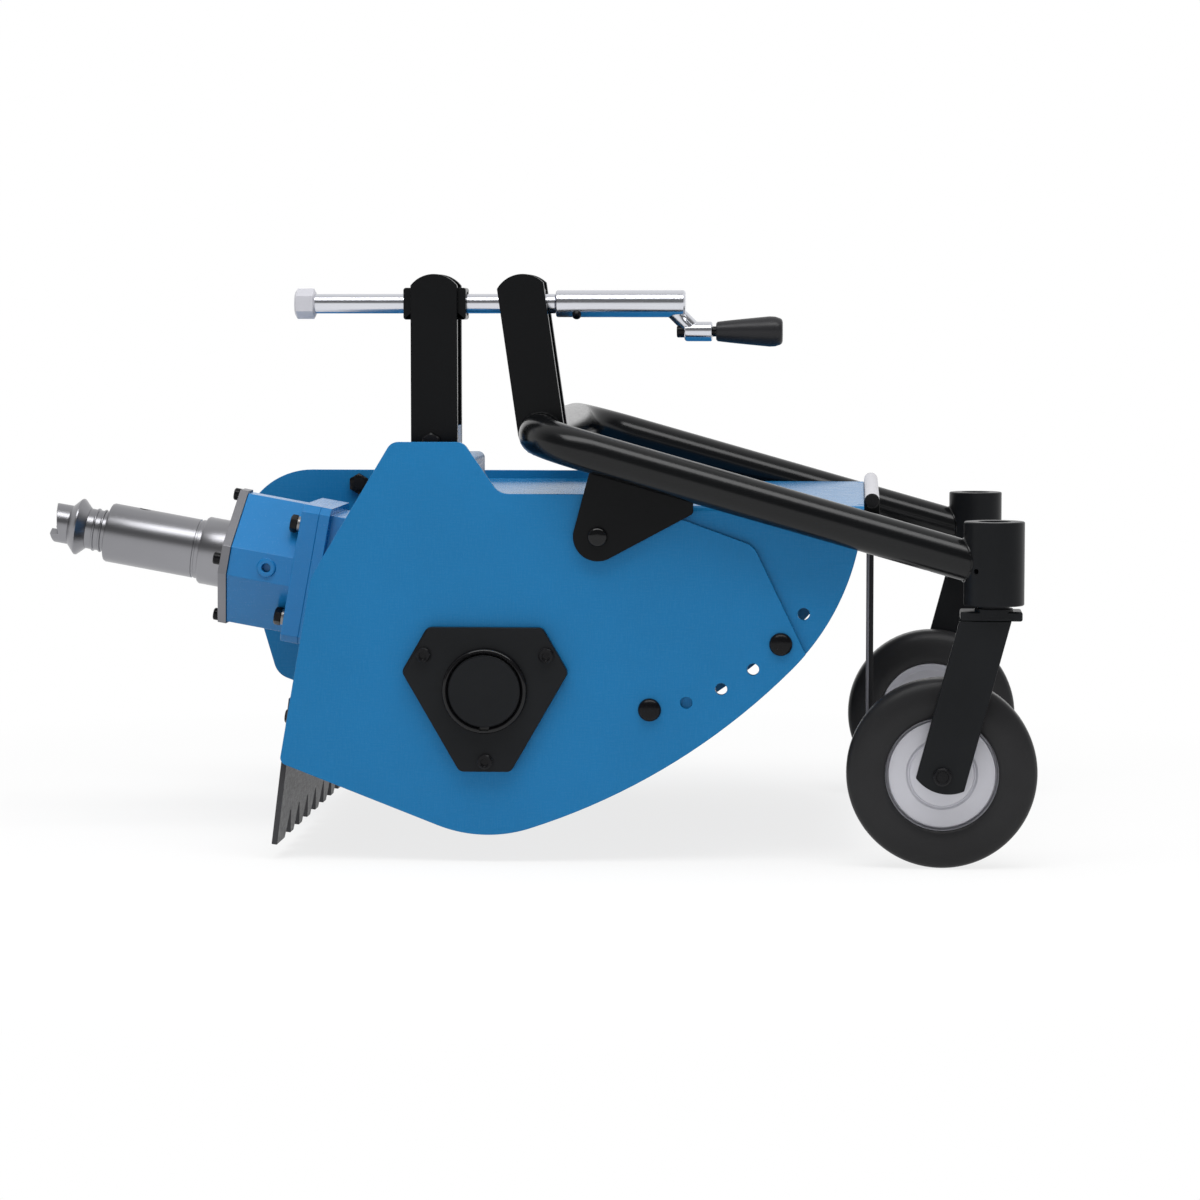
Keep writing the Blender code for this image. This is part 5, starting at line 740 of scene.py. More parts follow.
def turn(bm, profile, origin, axis, count, closed=False):
    """A turned solid. The profile is a list of (distance along the axis, radius)."""
    skin(bm, [ring_of(origin + along * axis, axis, radius, count) for along, radius in profile],
         closed)


def washer(bm, inner, outer, low, high, origin, axis, count):
    bore = clear(inner, count)
    profile = ((low, bore), (low, outer), (high, outer), (high, bore))
    turn(bm, profile, origin, axis, count, closed=True)


def drill(bm, radius, low, high, origin, axis, count=BOLT):
    """A round cutter from low to high along an axis."""
    corner = clear(radius, count)
    turn(bm, [(low, corner), (high, corner)], origin, axis, count)


def prism(bm, outline, low, high, origin=Vector(), u=X_AXIS, v=Z_AXIS, w=Y_AXIS):
    """An outline in the u, v plane, run along w from low to high."""
    skin(bm, [[origin + a * u + b * v + depth * w for a, b in outline] for depth in (low, high)])


def block(bm, x, y, z):
    prism(bm, [(x[0], z[0]), (x[1], z[0]), (x[1], z[1]), (x[0], z[1])], y[0], y[1])


def fan(start, stop, facets):
    """Angles from start to stop, both of them included."""
    return [start + (stop - start) * k / facets for k in range(facets + 1)]


def dome(base, high, radius, step):
    """The profile of a dome from its rim towards its top, step degrees for each facet."""
    angles = [radians(angle) for angle in range(0, 90, step)]
    return [(base + high * sin(angle), radius * cos(angle)) for angle in angles]


def shifted(along, radius, steps):
    """A stretch of a profile, from its steps past a place and out from a radius."""
    return [(along + more, radius + rise) for more, rise in steps]


def rounded(corners, closed=True):
    """Points of an outline whose corners are (x, z, radius)."""
    points = []
    count = len(corners)
    for i, corner in enumerate(corners):
        here = Vector(corner[:2])
        radius = corner[2] if len(corner) > 2 else 0
        if radius == 0 or (not closed and i in (0, count - 1)):
            points.append(tuple(here))
            continue
        back = (Vector(corners[i - 1][:2]) - here).normalized()
        ahead = (Vector(corners[(i + 1) % count][:2]) - here).normalized()
        half = 0.5 * back.angle(ahead)
        reach = radius / tan(half)
        centre = here + (back + ahead).normalized() * (radius / sin(half))
        start = here + back * reach - centre
        sweep = start.angle_signed(here + ahead * reach - centre)
        facets = max(1, ceil(abs(sweep) / ARC_STEP))
        for k in range(facets + 1):
            turned = start.copy()
            turned.rotate(Matrix.Rotation(-sweep * k / facets, 2))
            points.append(tuple(centre + turned))
    return points


def mitre(spots, i):
    """The way sideways at a path's corner, and the cosine of half the corner's turn."""
    before = (spots[i] - spots[i - 1]).normalized() if i else None
    after = (spots[i + 1] - spots[i]).normalized() if i + 1 < len(spots) else None
    ahead = ((before or after) + (after or before)).normalized()
    return Vector((-ahead.y, ahead.x)), ahead.dot(after or before)


def offset_path(path, distance):
    """An open path moved sideways, with its corners mitred."""
    spots = [Vector(point) for point in path]
    moved = []
    for i, here in enumerate(spots):
        side, share = mitre(spots, i)
        moved.append(tuple(here + side * distance / share))
    return moved


def sheet_outline(path, thickness):
    """The cut edge of a folded sheet whose middle follows a path."""
    return offset_path(path, 0.5 * thickness) + offset_path(path, -0.5 * thickness)[::-1]


def belt_outline(big, big_radius, small, small_radius):
    """The taut outline around two circles, big one first."""
    big, small = Vector(big), Vector(small)
    along = small - big
    heading = atan2(along.y, along.x)
    lean = acos((big_radius - small_radius) / along.length)
    points = []
    for centre, radius, start, stop in (
        (big, big_radius, heading + lean, heading + 2 * pi - lean),
        (small, small_radius, heading - lean, heading + lean),
    ):
        for angle in fan(start, stop, ceil(ROUND * (stop - start) / (2 * pi))):
            points.append(tuple(centre + radius * Vector((cos(angle), sin(angle)))))
    return points


def meet(a, a_way, b, b_way):
    """Where the line through a along a_way meets the line through b along b_way."""
    a, a_way, b, b_way = (Vector(value) for value in (a, a_way, b, b_way))
    across = a_way.x * b_way.y - a_way.y * b_way.x
    reach = ((b - a).x * b_way.y - (b - a).y * b_way.x) / across
    return a + reach * a_way


def at(x_z, y=0.0):
    return Vector((x_z[0], y, x_z[1]))


def drive_point(u, v=0.0, y=0.0):
    """A point of the tilted drive line, from its place along and across the axis."""
    return BEVEL + u * U_AXIS + v * V_AXIS + y * Y_AXIS


def drive_xz(u, v=0.0):
    point = drive_point(u, v)
    return point.x, point.z


# Outlines and places
def lower_edge():
    """The lower edge from the hood's front top down and back, and its last heading."""
    spot = Vector(EDGE_START)
    heading = EDGE_HEADING
    points = [tuple(spot)]
    for radius, sweep in EDGE_ARCS:
        centre = spot + radius * Vector((sin(heading), -cos(heading)))
        facets = ceil(sweep / EDGE_STEP)
        for k in range(1, facets + 1):
            angle = heading - sweep * k / facets
            points.append(tuple(centre + radius * Vector((-sin(angle), cos(angle)))))
        heading -= sweep
        spot = Vector(points[-1])
    return points, heading


def on_edge(x):
    """The point at x on the straight rear stretch of the lower edge."""
    points, heading = lower_edge()
    end = points[-1]
    return x, end[1] + (x - end[0]) * tan(heading)


def plate_front():
    """A side plate's front: its step where the hood shows, and the lower edge behind it."""
    top, bottom = Vector(FRONT_STEP[1]), Vector(FRONT_STEP[2])
    way = bottom - top
    points = lower_edge()[0]
    kept = [(*corner, FRONT_STEP_ROUND) for corner in FRONT_STEP[:2]]
    for before, here in zip(points, points[1:]):
        sides = [way.x * (point[1] - top.y) - way.y * (point[0] - top.x) for point in (before, here)]
        if sides[1] < 0:
            if sides[0] >= 0:
                kept.append(tuple(meet(top, way, before, Vector(here) - Vector(before))))
            kept.append(here)
    return kept


def near_plate_outline():
    return rounded([
        (*on_edge(REAR_CORNER_X), REAR_CORNER_ROUND),
        (*REAR_SHOULDER, REAR_SHOULDER_ROUND),
        (PEAK_X[0], PEAK_TOP, PEAK_ROUND),
        (PEAK_X[1], PEAK_TOP, PEAK_ROUND),
        (PEAK_FOOT_X, PLATE_TOP, PEAK_FOOT_ROUND),
        *plate_front(),
    ])


def far_plate_outline():
    return rounded([*LOBE_CORNERS, *plate_front()])


def screw_spots(centre, circle, angles):
    return [(centre[0] + circle * cos(radians(angle)), centre[1] + circle * sin(radians(angle)))
            for angle in angles]


def hood_hole(index):
    angle = HOOD_HOLES_START + index * HOOD_HOLES_STEP
    return (HOOD_HOLES_CENTRE[0] + HOOD_HOLES_RADIUS * cos(angle),
            HOOD_HOLES_CENTRE[1] + HOOD_HOLES_RADIUS * sin(angle))


def bearing_screw_spots():
    return screw_spots(ROTOR_AXIS, FLANGE_SCREW_CIRCLE, FLANGE_SCREWS)


def wall_path():
    """Middle of the sheet from the deck's front edge over the rear wall to its foot."""
    middle = DECK_TOP - 0.5 * SHEET
    bend = drive_xz(WALL_U, WALL_BEND_V)
    foot_x = bend[0] - (bend[1] - WALL_FOOT_Z) * tan(COMB_TILT)
    return rounded([
        (DECK_FRONT_X, middle),
        (DECK_REAR_X, middle, DECK_BEND),
        (*drive_xz(WALL_U, WALL_TOP_V), DECK_BEND),
        (*bend, DECK_BEND),
        (foot_x, WALL_FOOT_Z),
    ], closed=False)


def comb_frame():
    """Origin on the comb's front face at its foot, the way up along it and the way back."""
    bend = Vector(drive_xz(WALL_U, WALL_BEND_V))
    up = Vector((sin(COMB_TILT), cos(COMB_TILT)))
    back = Vector((-up.y, up.x))
    face = bend + back * (0.5 * SHEET + GAP)
    foot = face + up * ((COMB_BOTTOM - face.y) / up.y)
    return at(foot), at(up), at(back)


def comb_bolt_spots():
    """Where the comb's bolts meet its front face."""
    foot, up, _ = comb_frame()
    return [foot + up * (COMB_BOLT_Z - COMB_BOTTOM) / up.z + y * Y_AXIS for y in COMB_BOLT_Y]


def drive_ring(long, flat, u):
    """An eight sided ring round the drive line, from its half size and its flats' half width."""
    return [drive_point(u, v, y) for y, v in (
        (flat, long), (long, flat), (long, -flat), (flat, -long),
        (-flat, -long), (-long, -flat), (-long, flat), (-flat, long))]


def box_bolt_spots():
    return [(a * BOX_BOLT, b * BOX_BOLT) for a in (-1, 1) for b in (-1, 1)]


def front_screw_spots():
    reach = FRONT_SCREW_CIRCLE
    return [(0, reach), (reach, 0), (0, -reach), (-reach, 0)]


def belt_ring(radius_more, y):
    outline = belt_outline(BEVEL_CENTRE, DRIVE_GROOVE + radius_more,
                           ROTOR_AXIS, DRIVEN_GROOVE + radius_more)
    return [at(point, y) for point in outline]


def cover_screw_spots():
    """Screws in the rim of the drive cover: round the big end and round the small one."""
    reach = BELT_RUN + BELT_THICK + COVER_ROOM + COVER_WALL + 0.5 * COVER_RIM
    big = screw_spots(BEVEL_CENTRE, DRIVE_GROOVE + reach, COVER_SCREWS[0])
    small = screw_spots(ROTOR_AXIS, DRIVEN_GROOVE + reach, COVER_SCREWS[1])
    return big + small


def flange_outline():
    """Three flats round the rotor axis, the top one level, joined by cut corners."""
    lean = acos(FLANGE_FLAT / FLANGE_CORNER)
    shape = []
    for middle in FLANGE_FLATS:
        for way in (-1, 1):
            angle = radians(middle) + way * lean
            shape.append((ROTOR_AXIS[0] + FLANGE_CORNER * cos(angle),
                          ROTOR_AXIS[1] + FLANGE_CORNER * sin(angle), FLANGE_ROUND))
    return rounded(shape)


def hammer_place(index):
    """Angle of a hammer's row round the rotor and its place along it."""
    angle = HAMMER_START + (index % HAMMER_ROWS) * 2 * pi / HAMMER_ROWS
    return angle, (index - 0.5 * (HAMMERS - 1)) * HAMMER_PITCH - HAMMER_SHIFT


def hammer_pin(index):
    angle, y = hammer_place(index)
    return at((ROTOR_AXIS[0] + PIN_CIRCLE * cos(angle), ROTOR_AXIS[1] + PIN_CIRCLE * sin(angle)), y)


def lug_outline():
    """A lug from inside the rotor tube out round the pin, along and across its own row."""
    foot = sqrt(ROTOR_TUBE_RADIUS ** 2 - LUG_FOOT ** 2) - 2 * FUSE
    head = [(PIN_CIRCLE + LUG_ROUND * cos(angle), LUG_ROUND * sin(angle))
            for angle in fan(-0.5 * pi, 0.5 * pi, BOLT)]
    return [(foot, -LUG_FOOT), *head, (foot, LUG_FOOT)]


def frame_axes():
    """Origin on the cross tube, the way forward along the frame and square to it."""
    ahead = Vector((cos(FRAME_SLOPE), 0, -sin(FRAME_SLOPE)))
    return at(FRAME_REAR), ahead, Vector((sin(FRAME_SLOPE), 0, cos(FRAME_SLOPE)))


def gusset_outline():
    """A plate that hangs under the tube and holds the pivot in its rounded foot."""
    origin, ahead, lift = frame_axes()
    drop = sqrt(FRAME_TUBE_RADIUS ** 2 - (FRAME_Y - GUSSET_IN - GUSSET) ** 2) + GAP
    line = Vector((origin.x, origin.z)) - drop * Vector((lift.x, lift.z))
    way = Vector((ahead.x, ahead.z))
    rear_top = line + way * (GUSSET_REAR[0] - line.x) / way.x
    tip_top = line + way * (GUSSET_TIP[0] - line.x) / way.x
    pivot = Vector(FRAME_PIVOT)

    def touch(point, side):
        away = pivot - Vector(point)
        lean = asin(GUSSET_ROUND / away.length)
        angle = atan2(away.y, away.x) + side * lean
        return Vector(point) + away.length * cos(lean) * Vector((cos(angle), sin(angle)))

    start = touch(GUSSET_TIP, -1) - pivot
    start = touch(GUSSET_TIP, 1) - pivot if start.y > 0 else start
    first = atan2(start.y, start.x)
    last = atan2(GUSSET_REAR_Z - pivot.y, GUSSET_REAR[1] - pivot.x) - 2 * pi
    last = last + 2 * pi if last + 2 * pi < first else last
    arc = [tuple(pivot + GUSSET_ROUND * Vector((cos(angle), sin(angle))))
           for angle in fan(first, last, ceil(abs(last - first) / ARC_STEP))]
    rear, tip, foot = GUSSET_ROUNDS
    top = rounded([(*rear_top, rear), (*tip_top, tip), (*GUSSET_TIP, foot), arc[0]], closed=False)
    return [tuple(rear_top), *top[1:-1], *arc]


def bar_outline(low, high_centre):
    """A flat bar with a top rounded to an arc over its pivot, from low upwards."""
    half = 0.5 * BAR_WIDE
    lean = asin(half / BAR_OVER)
    top = [(BAR_OVER * sin(angle), high_centre + BAR_OVER * cos(angle))
           for angle in fan(lean, -lean, END_FACETS)]
    return [(-half, low), (half, low), *top]


def leg_outline():
    """The leg in its own plane, its foot cut to an arc about a point over the axle."""
    half = 0.5 * LEG_WIDE
    lean = asin(half / LEG_END_RADIUS)
    up = Vector((sin(LEG_TILT), cos(LEG_TILT)))
    across = Vector((cos(LEG_TILT), -sin(LEG_TILT)))
    axle = Vector(WHEEL_CENTRE)
    points = []
    for angle in fan(-lean, lean, END_FACETS):
        rise = LEG_END_UP - LEG_END_RADIUS * cos(angle)
        points.append(tuple(axle + up * rise + across * LEG_END_RADIUS * sin(angle)))
    for side in (half, -half):
        base = axle + across * side
        points.append(tuple(base + up * ((CROWN_BOTTOM - base.y) / up.y)))
    return points


def hanger_outline():
    """An arm of the hanger: round over the rod, square at its foot."""
    half = 0.5 * HANGER_WIDE
    head = [(half * cos(angle), half * sin(angle)) for angle in fan(0, pi, END_FACETS)]
    return [*head, (-half, -HANGER_BAR_Z[1]), (half, -HANGER_BAR_Z[1])]


# Pieces
def solid(shape, *sizes, **choices):
    """A new mesh with one shape in it."""
    bm = bmesh.new()
    shape(bm, *sizes, **choices)
    return bm


def to_object(name, bm):
    """An object of the scene that takes a mesh over."""
    mesh = bpy.data.meshes.new(name)
    bm.to_mesh(mesh)
    bm.free()
    made = bpy.data.objects.new(name, mesh)
    bpy.context.collection.objects.link(made)
    return made


def add_piece(name, bm, material, body, node, bevel=0.0, angle=SHARP, slot=None):
    """One piece of the picture. It is finished, and rides its body, in settle()."""
    bmesh.ops.recalc_face_normals(bm, faces=bm.faces)
    piece = to_object(name, bm)
    piece.data.materials.append(MATERIALS[material])
    PIECES.append((piece, body, node, slot or SLOTS[material], bevel, angle))
    return piece


def carve(piece, tool_bm, operation="DIFFERENCE"):
    """Cuts a piece with a solid, or joins the solid to it, and keeps the plain result."""
    bmesh.ops.recalc_face_normals(tool_bm, faces=tool_bm.faces)
    tool = to_object("tool", tool_bm)
    change = piece.modifiers.new("cut", "BOOLEAN")
    change.object = tool
    change.operation = operation
    change.solver = "EXACT"
    made = bpy.data.meshes.new_from_object(piece.evaluated_get(bpy.context.evaluated_depsgraph_get()))
    piece.modifiers.remove(change)
    bpy.data.objects.remove(tool)
    old = piece.data
    piece.data = made
    made.name = old.name
    bpy.data.meshes.remove(old)


def settle():
    """Rounds the edges, shades each piece and lets it ride its body."""
    for piece, body, node, slot, bevel, angle in PIECES:
        piece.data.shade_smooth()
        piece.data.set_sharp_from_angle(angle=radians(angle))
        if bevel:
            round_off = piece.modifiers.new("edges", "BEVEL")
            round_off.width = bevel
            round_off.segments = BEVEL_SEGMENTS
            round_off.limit_method = "ANGLE"
            round_off.angle_limit = BEVEL_FROM
            round_off.use_clamp_overlap = False
            round_off.harden_normals = True
        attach(piece, body)
        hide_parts(node)


def add_screw_rings(bm, seat, way, steps, closed=False):
    """A screw or nut from steps of (kind of ring, place along way, reach)."""
    skin(bm, [kind(seat + along * way, way, reach, BOLT) for kind, along, reach in steps], closed)


def add_bolt(bm, seat, way, size, sink, length, nut_at=None):
    """A hexagon bolt standing on a seat, its shank running in against way."""
    radius, flat, high = size
    steps = [(ring_of, -length, SHANK_TIP * radius), (ring_of, SHANK_TAPER * radius - length, radius)]
    if nut_at:
        far = nut_at + NUT_HEIGHT
        steps += [(ring_of, -far, radius), (ring_of, -far, NUT_TURNED * flat),
                  (hex_ring, NUT_CORNERS * NUT_HEIGHT - far, flat), (hex_ring, -nut_at, flat),
                  (ring_of, -nut_at, radius)]
    steps.append((ring_of, sink, radius))
    steps += [(hex_ring if six_sided else ring_of, sink + up * high, wide * flat)
              for six_sided, up, wide in HEAD_RINGS]
    add_screw_rings(bm, seat, way, steps)


def add_cap_screw(bm, seat, way, size, length):
    """A round headed screw with a six sided socket in its head."""
    radius, head, high = size
    socket = SOCKET * head
    add_screw_rings(bm, seat, way, [
        (ring_of, -length, radius), (ring_of, GAP, radius), (ring_of, GAP, head),
        (ring_of, GAP + high - CAP_EDGE, head), (ring_of, GAP + high, head - CAP_EDGE),
        (ring_of, GAP + high, SOCKET_MOUTH * socket), (hex_ring, GAP + high - SOCKET_EDGE, socket),
        (hex_ring, GAP + SOCKET_FLOOR * high, socket)])


def add_nut(bm, seat, way, bore):
    """A nut whose face lies on a seat, the rest of it against way."""
    add_screw_rings(bm, seat, way, [
        (ring_of, -NUT_HEIGHT, bore), (ring_of, -NUT_HEIGHT, NUT_TURNED * NUT_FLAT),
        (hex_ring, (NUT_CORNERS - 1) * NUT_HEIGHT, NUT_FLAT),
        (hex_ring, -NUT_LIFT * NUT_HEIGHT, NUT_FLAT),
        (ring_of, 0, NUT_FACE * NUT_FLAT), (ring_of, 0, bore)], closed=True)


def add_domed_bolt(bm, seat, way, length, nut_at):
    """A carriage bolt with a smooth domed head."""
    along, back = BOLT_RIM
    profile = [(-length, HOOD_BOLT_RADIUS), (0, HOOD_BOLT_RADIUS), (0, HOOD_BOLT_HEAD - back),
               (along, HOOD_BOLT_HEAD), *dome(FUSE, HOOD_BOLT_DOME, HOOD_BOLT_HEAD, DOME_STEP)]
    turn(bm, profile, seat, way, ROD)
    add_nut(bm, seat - nut_at * way, way, HOOD_BOLT_RADIUS)


def add_bead(bm, path, radius=WELD, closed=False, ripple=RIPPLE):
    """A weld bead along a path: a thin roll whose girth ripples as a welder leaves it."""
    count = len(path)
    rings = []
    for i, here in enumerate(path):
        before = path[i - 1] if i or closed else here
        after = path[(i + 1) % count] if i + 1 < count or closed else here
        way = (after - before).normalized()
        girth = radius * (1 + ripple * sin(i * RIPPLE_TURN) + ripple * noise.noise(here * RIPPLE_SCALE))
        rings.append(ring_of(here, way, girth, BEAD_SIDES))
    skin(bm, rings, closed)


# Side plates
def make_side_plate(hand, side, outline):
    way = side * Y_AXIS
    place = ("mower_body", f"{hand}_side_plate")
    sheet = solid(prism, outline, *sorted((side * PLATE_IN, side * PLATE_OUT)))
    plate = add_piece(f"{hand}_side_plate_sheet", sheet, "blue_paint", *place, EDGE)
    bores = [(ROTOR_AXIS, PLATE_BORE, ROUND)]
    bores += [(hood_hole(index), HOOD_BOLT_RADIUS + BOLT_PLAY, ROD) for index in range(PLATE_HOLES)]
    bores += [(spot, FLANGE_SCREW[0] + BOLT_PLAY, BOLT) for spot in bearing_screw_spots()]
    if side == RIGHT:
        bores.append((BEVEL_CENTRE, CROSS_RADIUS + CROSS_PLAY, ROD))
    holes = bmesh.new()
    for spot, radius, count in bores:
        drill(holes, radius, side * PLATE_IN - PAST, side * PLATE_OUT + PAST, at(spot), Y_AXIS, count)
    carve(plate, holes)

    bolts = bmesh.new()
    cheek = PLATE + GAP + HOOD_SHEET + GAP
    for index in HOOD_BOLTED:
        add_domed_bolt(bolts, at(hood_hole(index), side * (PLATE_OUT + GAP)), way,
                       cheek + NUT_HEIGHT + BOLT_END, cheek)
    if side == RIGHT:
        add_bolt(bolts, at(FAR_BOLT, PLATE_IN - GAP), -Y_AXIS, FAR_BOLT_SIZE, 0,
                 PLATE + NUT_HEIGHT + BOLT_END, PLATE + 2 * GAP)
    add_piece(f"{hand}_hood_bolts", bolts, "blackened_bolt", *place)

    pivot = at(FRAME_PIVOT)
    outside = GUSSET_IN + GUSSET + GAP
    under = outside + PIVOT_UNDER
    head = PIVOT_HEAD_WIDE * PIVOT_WASHER
    profile = [(PLATE_IN - NUT_HEIGHT - CHAMFER, PIVOT_BOLT_RADIUS), (under, PIVOT_BOLT_RADIUS),
               (under, head),
               *dome(under + CHAMFER, outside + PIVOT_HEAD - under - CHAMFER, head,
                     PIVOT_DOME_STEP)]
    bolt = solid(turn, profile, pivot, way, ROUND)
    add_nut(bolt, pivot + (PLATE_IN - GAP) * way, way, PIVOT_BOLT_RADIUS)
    add_piece(f"{hand}_pivot_bolt", bolt, "gloss_black", *place)
    bore = PIVOT_BOLT_RADIUS + GAP
    spacer = solid(washer, bore, SPACER_RADIUS, PLATE_OUT + GAP, GUSSET_IN - GAP, pivot, way, ROD)
    washer(spacer, bore, PIVOT_WASHER, outside, outside + PIVOT_WASHER_THICK, pivot, way, ROD)
    add_piece(f"{hand}_pivot_spacer", spacer, "black_paint", *place)


# Deck, rear wall, hood and comb
def make_deck():
    place = ("mower_body", "top_deck")
    sheet = solid(prism, sheet_outline(wall_path(), SHEET), -INSIDE, INSIDE)
    deck = add_piece("deck_sheet", sheet, "blue_paint", *place, FINE_EDGE)
    holes = bmesh.new()
    back = comb_frame()[2]
    for spot in comb_bolt_spots():
        drill(holes, COMB_BOLT[0] + BOLT_PLAY, -3 * SHEET, SHEET, spot, back)
    carve(deck, holes)
    # The seams that hold the deck and the rear wall between the side plates
    seams = bmesh.new()
    path = [Vector(point) for point in offset_path(wall_path(), -0.5 * SHEET)]
    for side in (LEFT, RIGHT):
        for first, last in zip(path, path[1:]):
            length = (last - first).length
            if length < SHORTEST_SEAM:
                continue
            steps = ceil(length / BEAD_STEP)
            start, stop = first.lerp(last, SEAM_END), first.lerp(last, 1 - SEAM_END)
            add_bead(seams, [at(start.lerp(stop, k / steps), side * (INSIDE - SEAM_INSET))
                             for k in range(steps + 1)])
    add_piece("deck_seams", seams, "blue_paint", *place)


def make_comb():
    place = ("mower_body", "rear_comb")
    foot, up, back = comb_frame()
    high = (COMB_TOP - COMB_BOTTOM) / up.z
    tip = 0.5 * COMB_TIP
    outline = [(-INSIDE, high), (-INSIDE, 0)]
    first = -0.5 * (COMB_TEETH - 1) * COMB_PITCH
    for i in range(COMB_TEETH):
        middle = first + i * COMB_PITCH
        if i:
            outline.append((middle - tip, 0))
        if i < COMB_TEETH - 1:
            outline.append((middle + tip, 0))
            outline.append((middle + 0.5 * COMB_PITCH, COMB_NOTCH_DEEP, COMB_NOTCH_ROUND))
    outline += [(INSIDE, 0), (INSIDE, high)]
    plate = solid(prism, rounded(outline), 0, COMB_THICK, foot, Y_AXIS, up, back)
    add_piece("comb_plate", plate, "comb_steel", *place, BAR_EDGE)
    bolts = bmesh.new()
    nut_at = COMB_THICK + 2 * GAP + SHEET
    for spot in comb_bolt_spots():
        seat = spot + COMB_THICK * back
        add_bolt(bolts, seat, back, COMB_BOLT, GAP, nut_at + COMB_BOLT_END)
        add_nut(bolts, seat - nut_at * back, back, COMB_BOLT[0])
    add_piece("comb_bolts", bolts, "blackened_bolt", *place)


def make_hood():
    """One sheet bent into a channel, its cheeks cut to the side plates' edge."""
    wall = HOOD_SHEET
    inner = INSIDE - wall
    top = DECK_TOP - wall
    channel = rounded([
        (-INSIDE, HOOD_LOW), (-INSIDE, DECK_TOP, HOOD_BEND), (INSIDE, DECK_TOP, HOOD_BEND),
        (INSIDE, HOOD_LOW), (inner, HOOD_LOW), (inner, top, HOOD_BEND - wall),
        (-inner, top, HOOD_BEND - wall), (-inner, HOOD_LOW),
    ])
    sheet = solid(prism, channel, DECK_FRONT_X + SEAT, HOOD_FRONT_X, Vector(), Y_AXIS, Z_AXIS, X_AXIS)
    hood = add_piece("hood_sheet", sheet, "blue_paint", "mower_body", "front_hood", FINE_EDGE)
    rear, front = HOOD_REAR_X - PAST, HOOD_FRONT_X + PAST
    edge = [point for point in lower_edge()[0] if point[0] > rear]
    outline = [(rear, DECK_TOP + PAST), (front, DECK_TOP + PAST), (front, top),
               (edge[0][0], top - GAP), *edge[1:], (rear, edge[-1][1])]
    carve(hood, solid(prism, outline, -PLATE_OUT, PLATE_OUT), "INTERSECT")
    holes = bmesh.new()
    for index in range(HOOD_HOLES):
        for side in (LEFT, RIGHT):
            if index == HOOD_BLIND:
                continue
            middle = side * (INSIDE - 0.5 * wall)
            drill(holes, HOOD_BOLT_RADIUS + BOLT_PLAY, middle - wall, middle + wall,
                  at(hood_hole(index)), Y_AXIS, ROD)
    arm = (HINGE_HALF - HANGER_PLAY, HINGE_HALF + GAP + HANGER_ARM + HANGER_PLAY)
    for side in (LEFT, RIGHT):
        block(holes, (HOOD_FRONT_X - HANGER_NOTCH, front), sorted((side * arm[0], side * arm[1])),
              (top - PAST, DECK_TOP + PAST))
    carve(hood, holes)


# Gearbox and its drive line
def make_gearbox():
    square = (BOX_FLANGE, BOX_FLANGE - BOX_CHAMFER)
    case = solid(skin, [
        drive_ring(BOX_LONG, BOX_FLAT, BOX_U[1]), drive_ring(BOX_LONG, BOX_FLAT, BOX_U[0]),
        drive_ring(*square, BOX_U[0]), drive_ring(*square, BOX_FLANGE_U)])
    housing = add_piece("gearbox_case", case, "cast_blue_paint", "mower_body", "gearbox_housing",
                        CAST_EDGE)
    out = -BOX_LONG - SIDE_BOSS
    boss = solid(turn, [(out, SIDE_BOSS_RADIUS - CHAMFER), (out + CHAMFER, SIDE_BOSS_RADIUS),
                        (PAST - BOX_LONG, SIDE_BOSS_RADIUS)], BEVEL, Y_AXIS, ROD)
    turn(boss, [(SHAFT_BOSS_FROM, TUBE_RADIUS), (BOX_FLANGE, TUBE_RADIUS)], BEVEL, Y_AXIS, ROUND)
    carve(housing, boss, "UNION")
    carve(housing, solid(drill, CAVITY_RADIUS, CAVITY_U, BOX_U[1] + PAST, BEVEL, U_AXIS, ROUND))
    bores = solid(drill, CROSS_BEARING + GAP, CAVITY_RADIUS - 2 * PAST, BOX_FLANGE + PAST,
                  BEVEL, Y_AXIS, ROUND)
    drill(bores, SIDE_BOSS_HOLE, -BOX_LONG - PAST, SIDE_BOSS_DEEP - BOX_LONG, BEVEL, Y_AXIS, ROD)
    for y, v in box_bolt_spots():
        drill(bores, BOX_BOLT_SIZE[0] + BOLT_PLAY, BOX_FLANGE_U - PAST, BOX_U[0] + PAST,
              drive_point(0, v, y), U_AXIS)
    carve(housing, bores)


def stand_outline():
    """The box between the flange's back and the rear wall, seen from the side."""
    outer = offset_path(wall_path(), -(0.5 * SHEET + GAP))
    top_way = Vector(drive_xz(1)) - Vector(drive_xz(0))
    levels = [drive_xz(0, ADAPTER_HALF_HIGH), drive_xz(0, -ADAPTER_HALF_HIGH)]
    inside = False
    outline = []
    for before, here in zip(outer, outer[1:]):
        way = Vector(here) - Vector(before)
        for level in levels:
            if abs(top_way.x * way.y - top_way.y * way.x) < PARALLEL:
                continue
            spot = meet(level, top_way, before, way)
            if 0 <= (spot - Vector(before)).dot(way) < way.length_squared:
                outline.append(tuple(spot))
                inside = not inside
        if inside:
            outline.append(here)
    return [*outline, drive_xz(ADAPTER_U + FUSE, -ADAPTER_HALF_HIGH),
            drive_xz(ADAPTER_U + FUSE, ADAPTER_HALF_HIGH)]


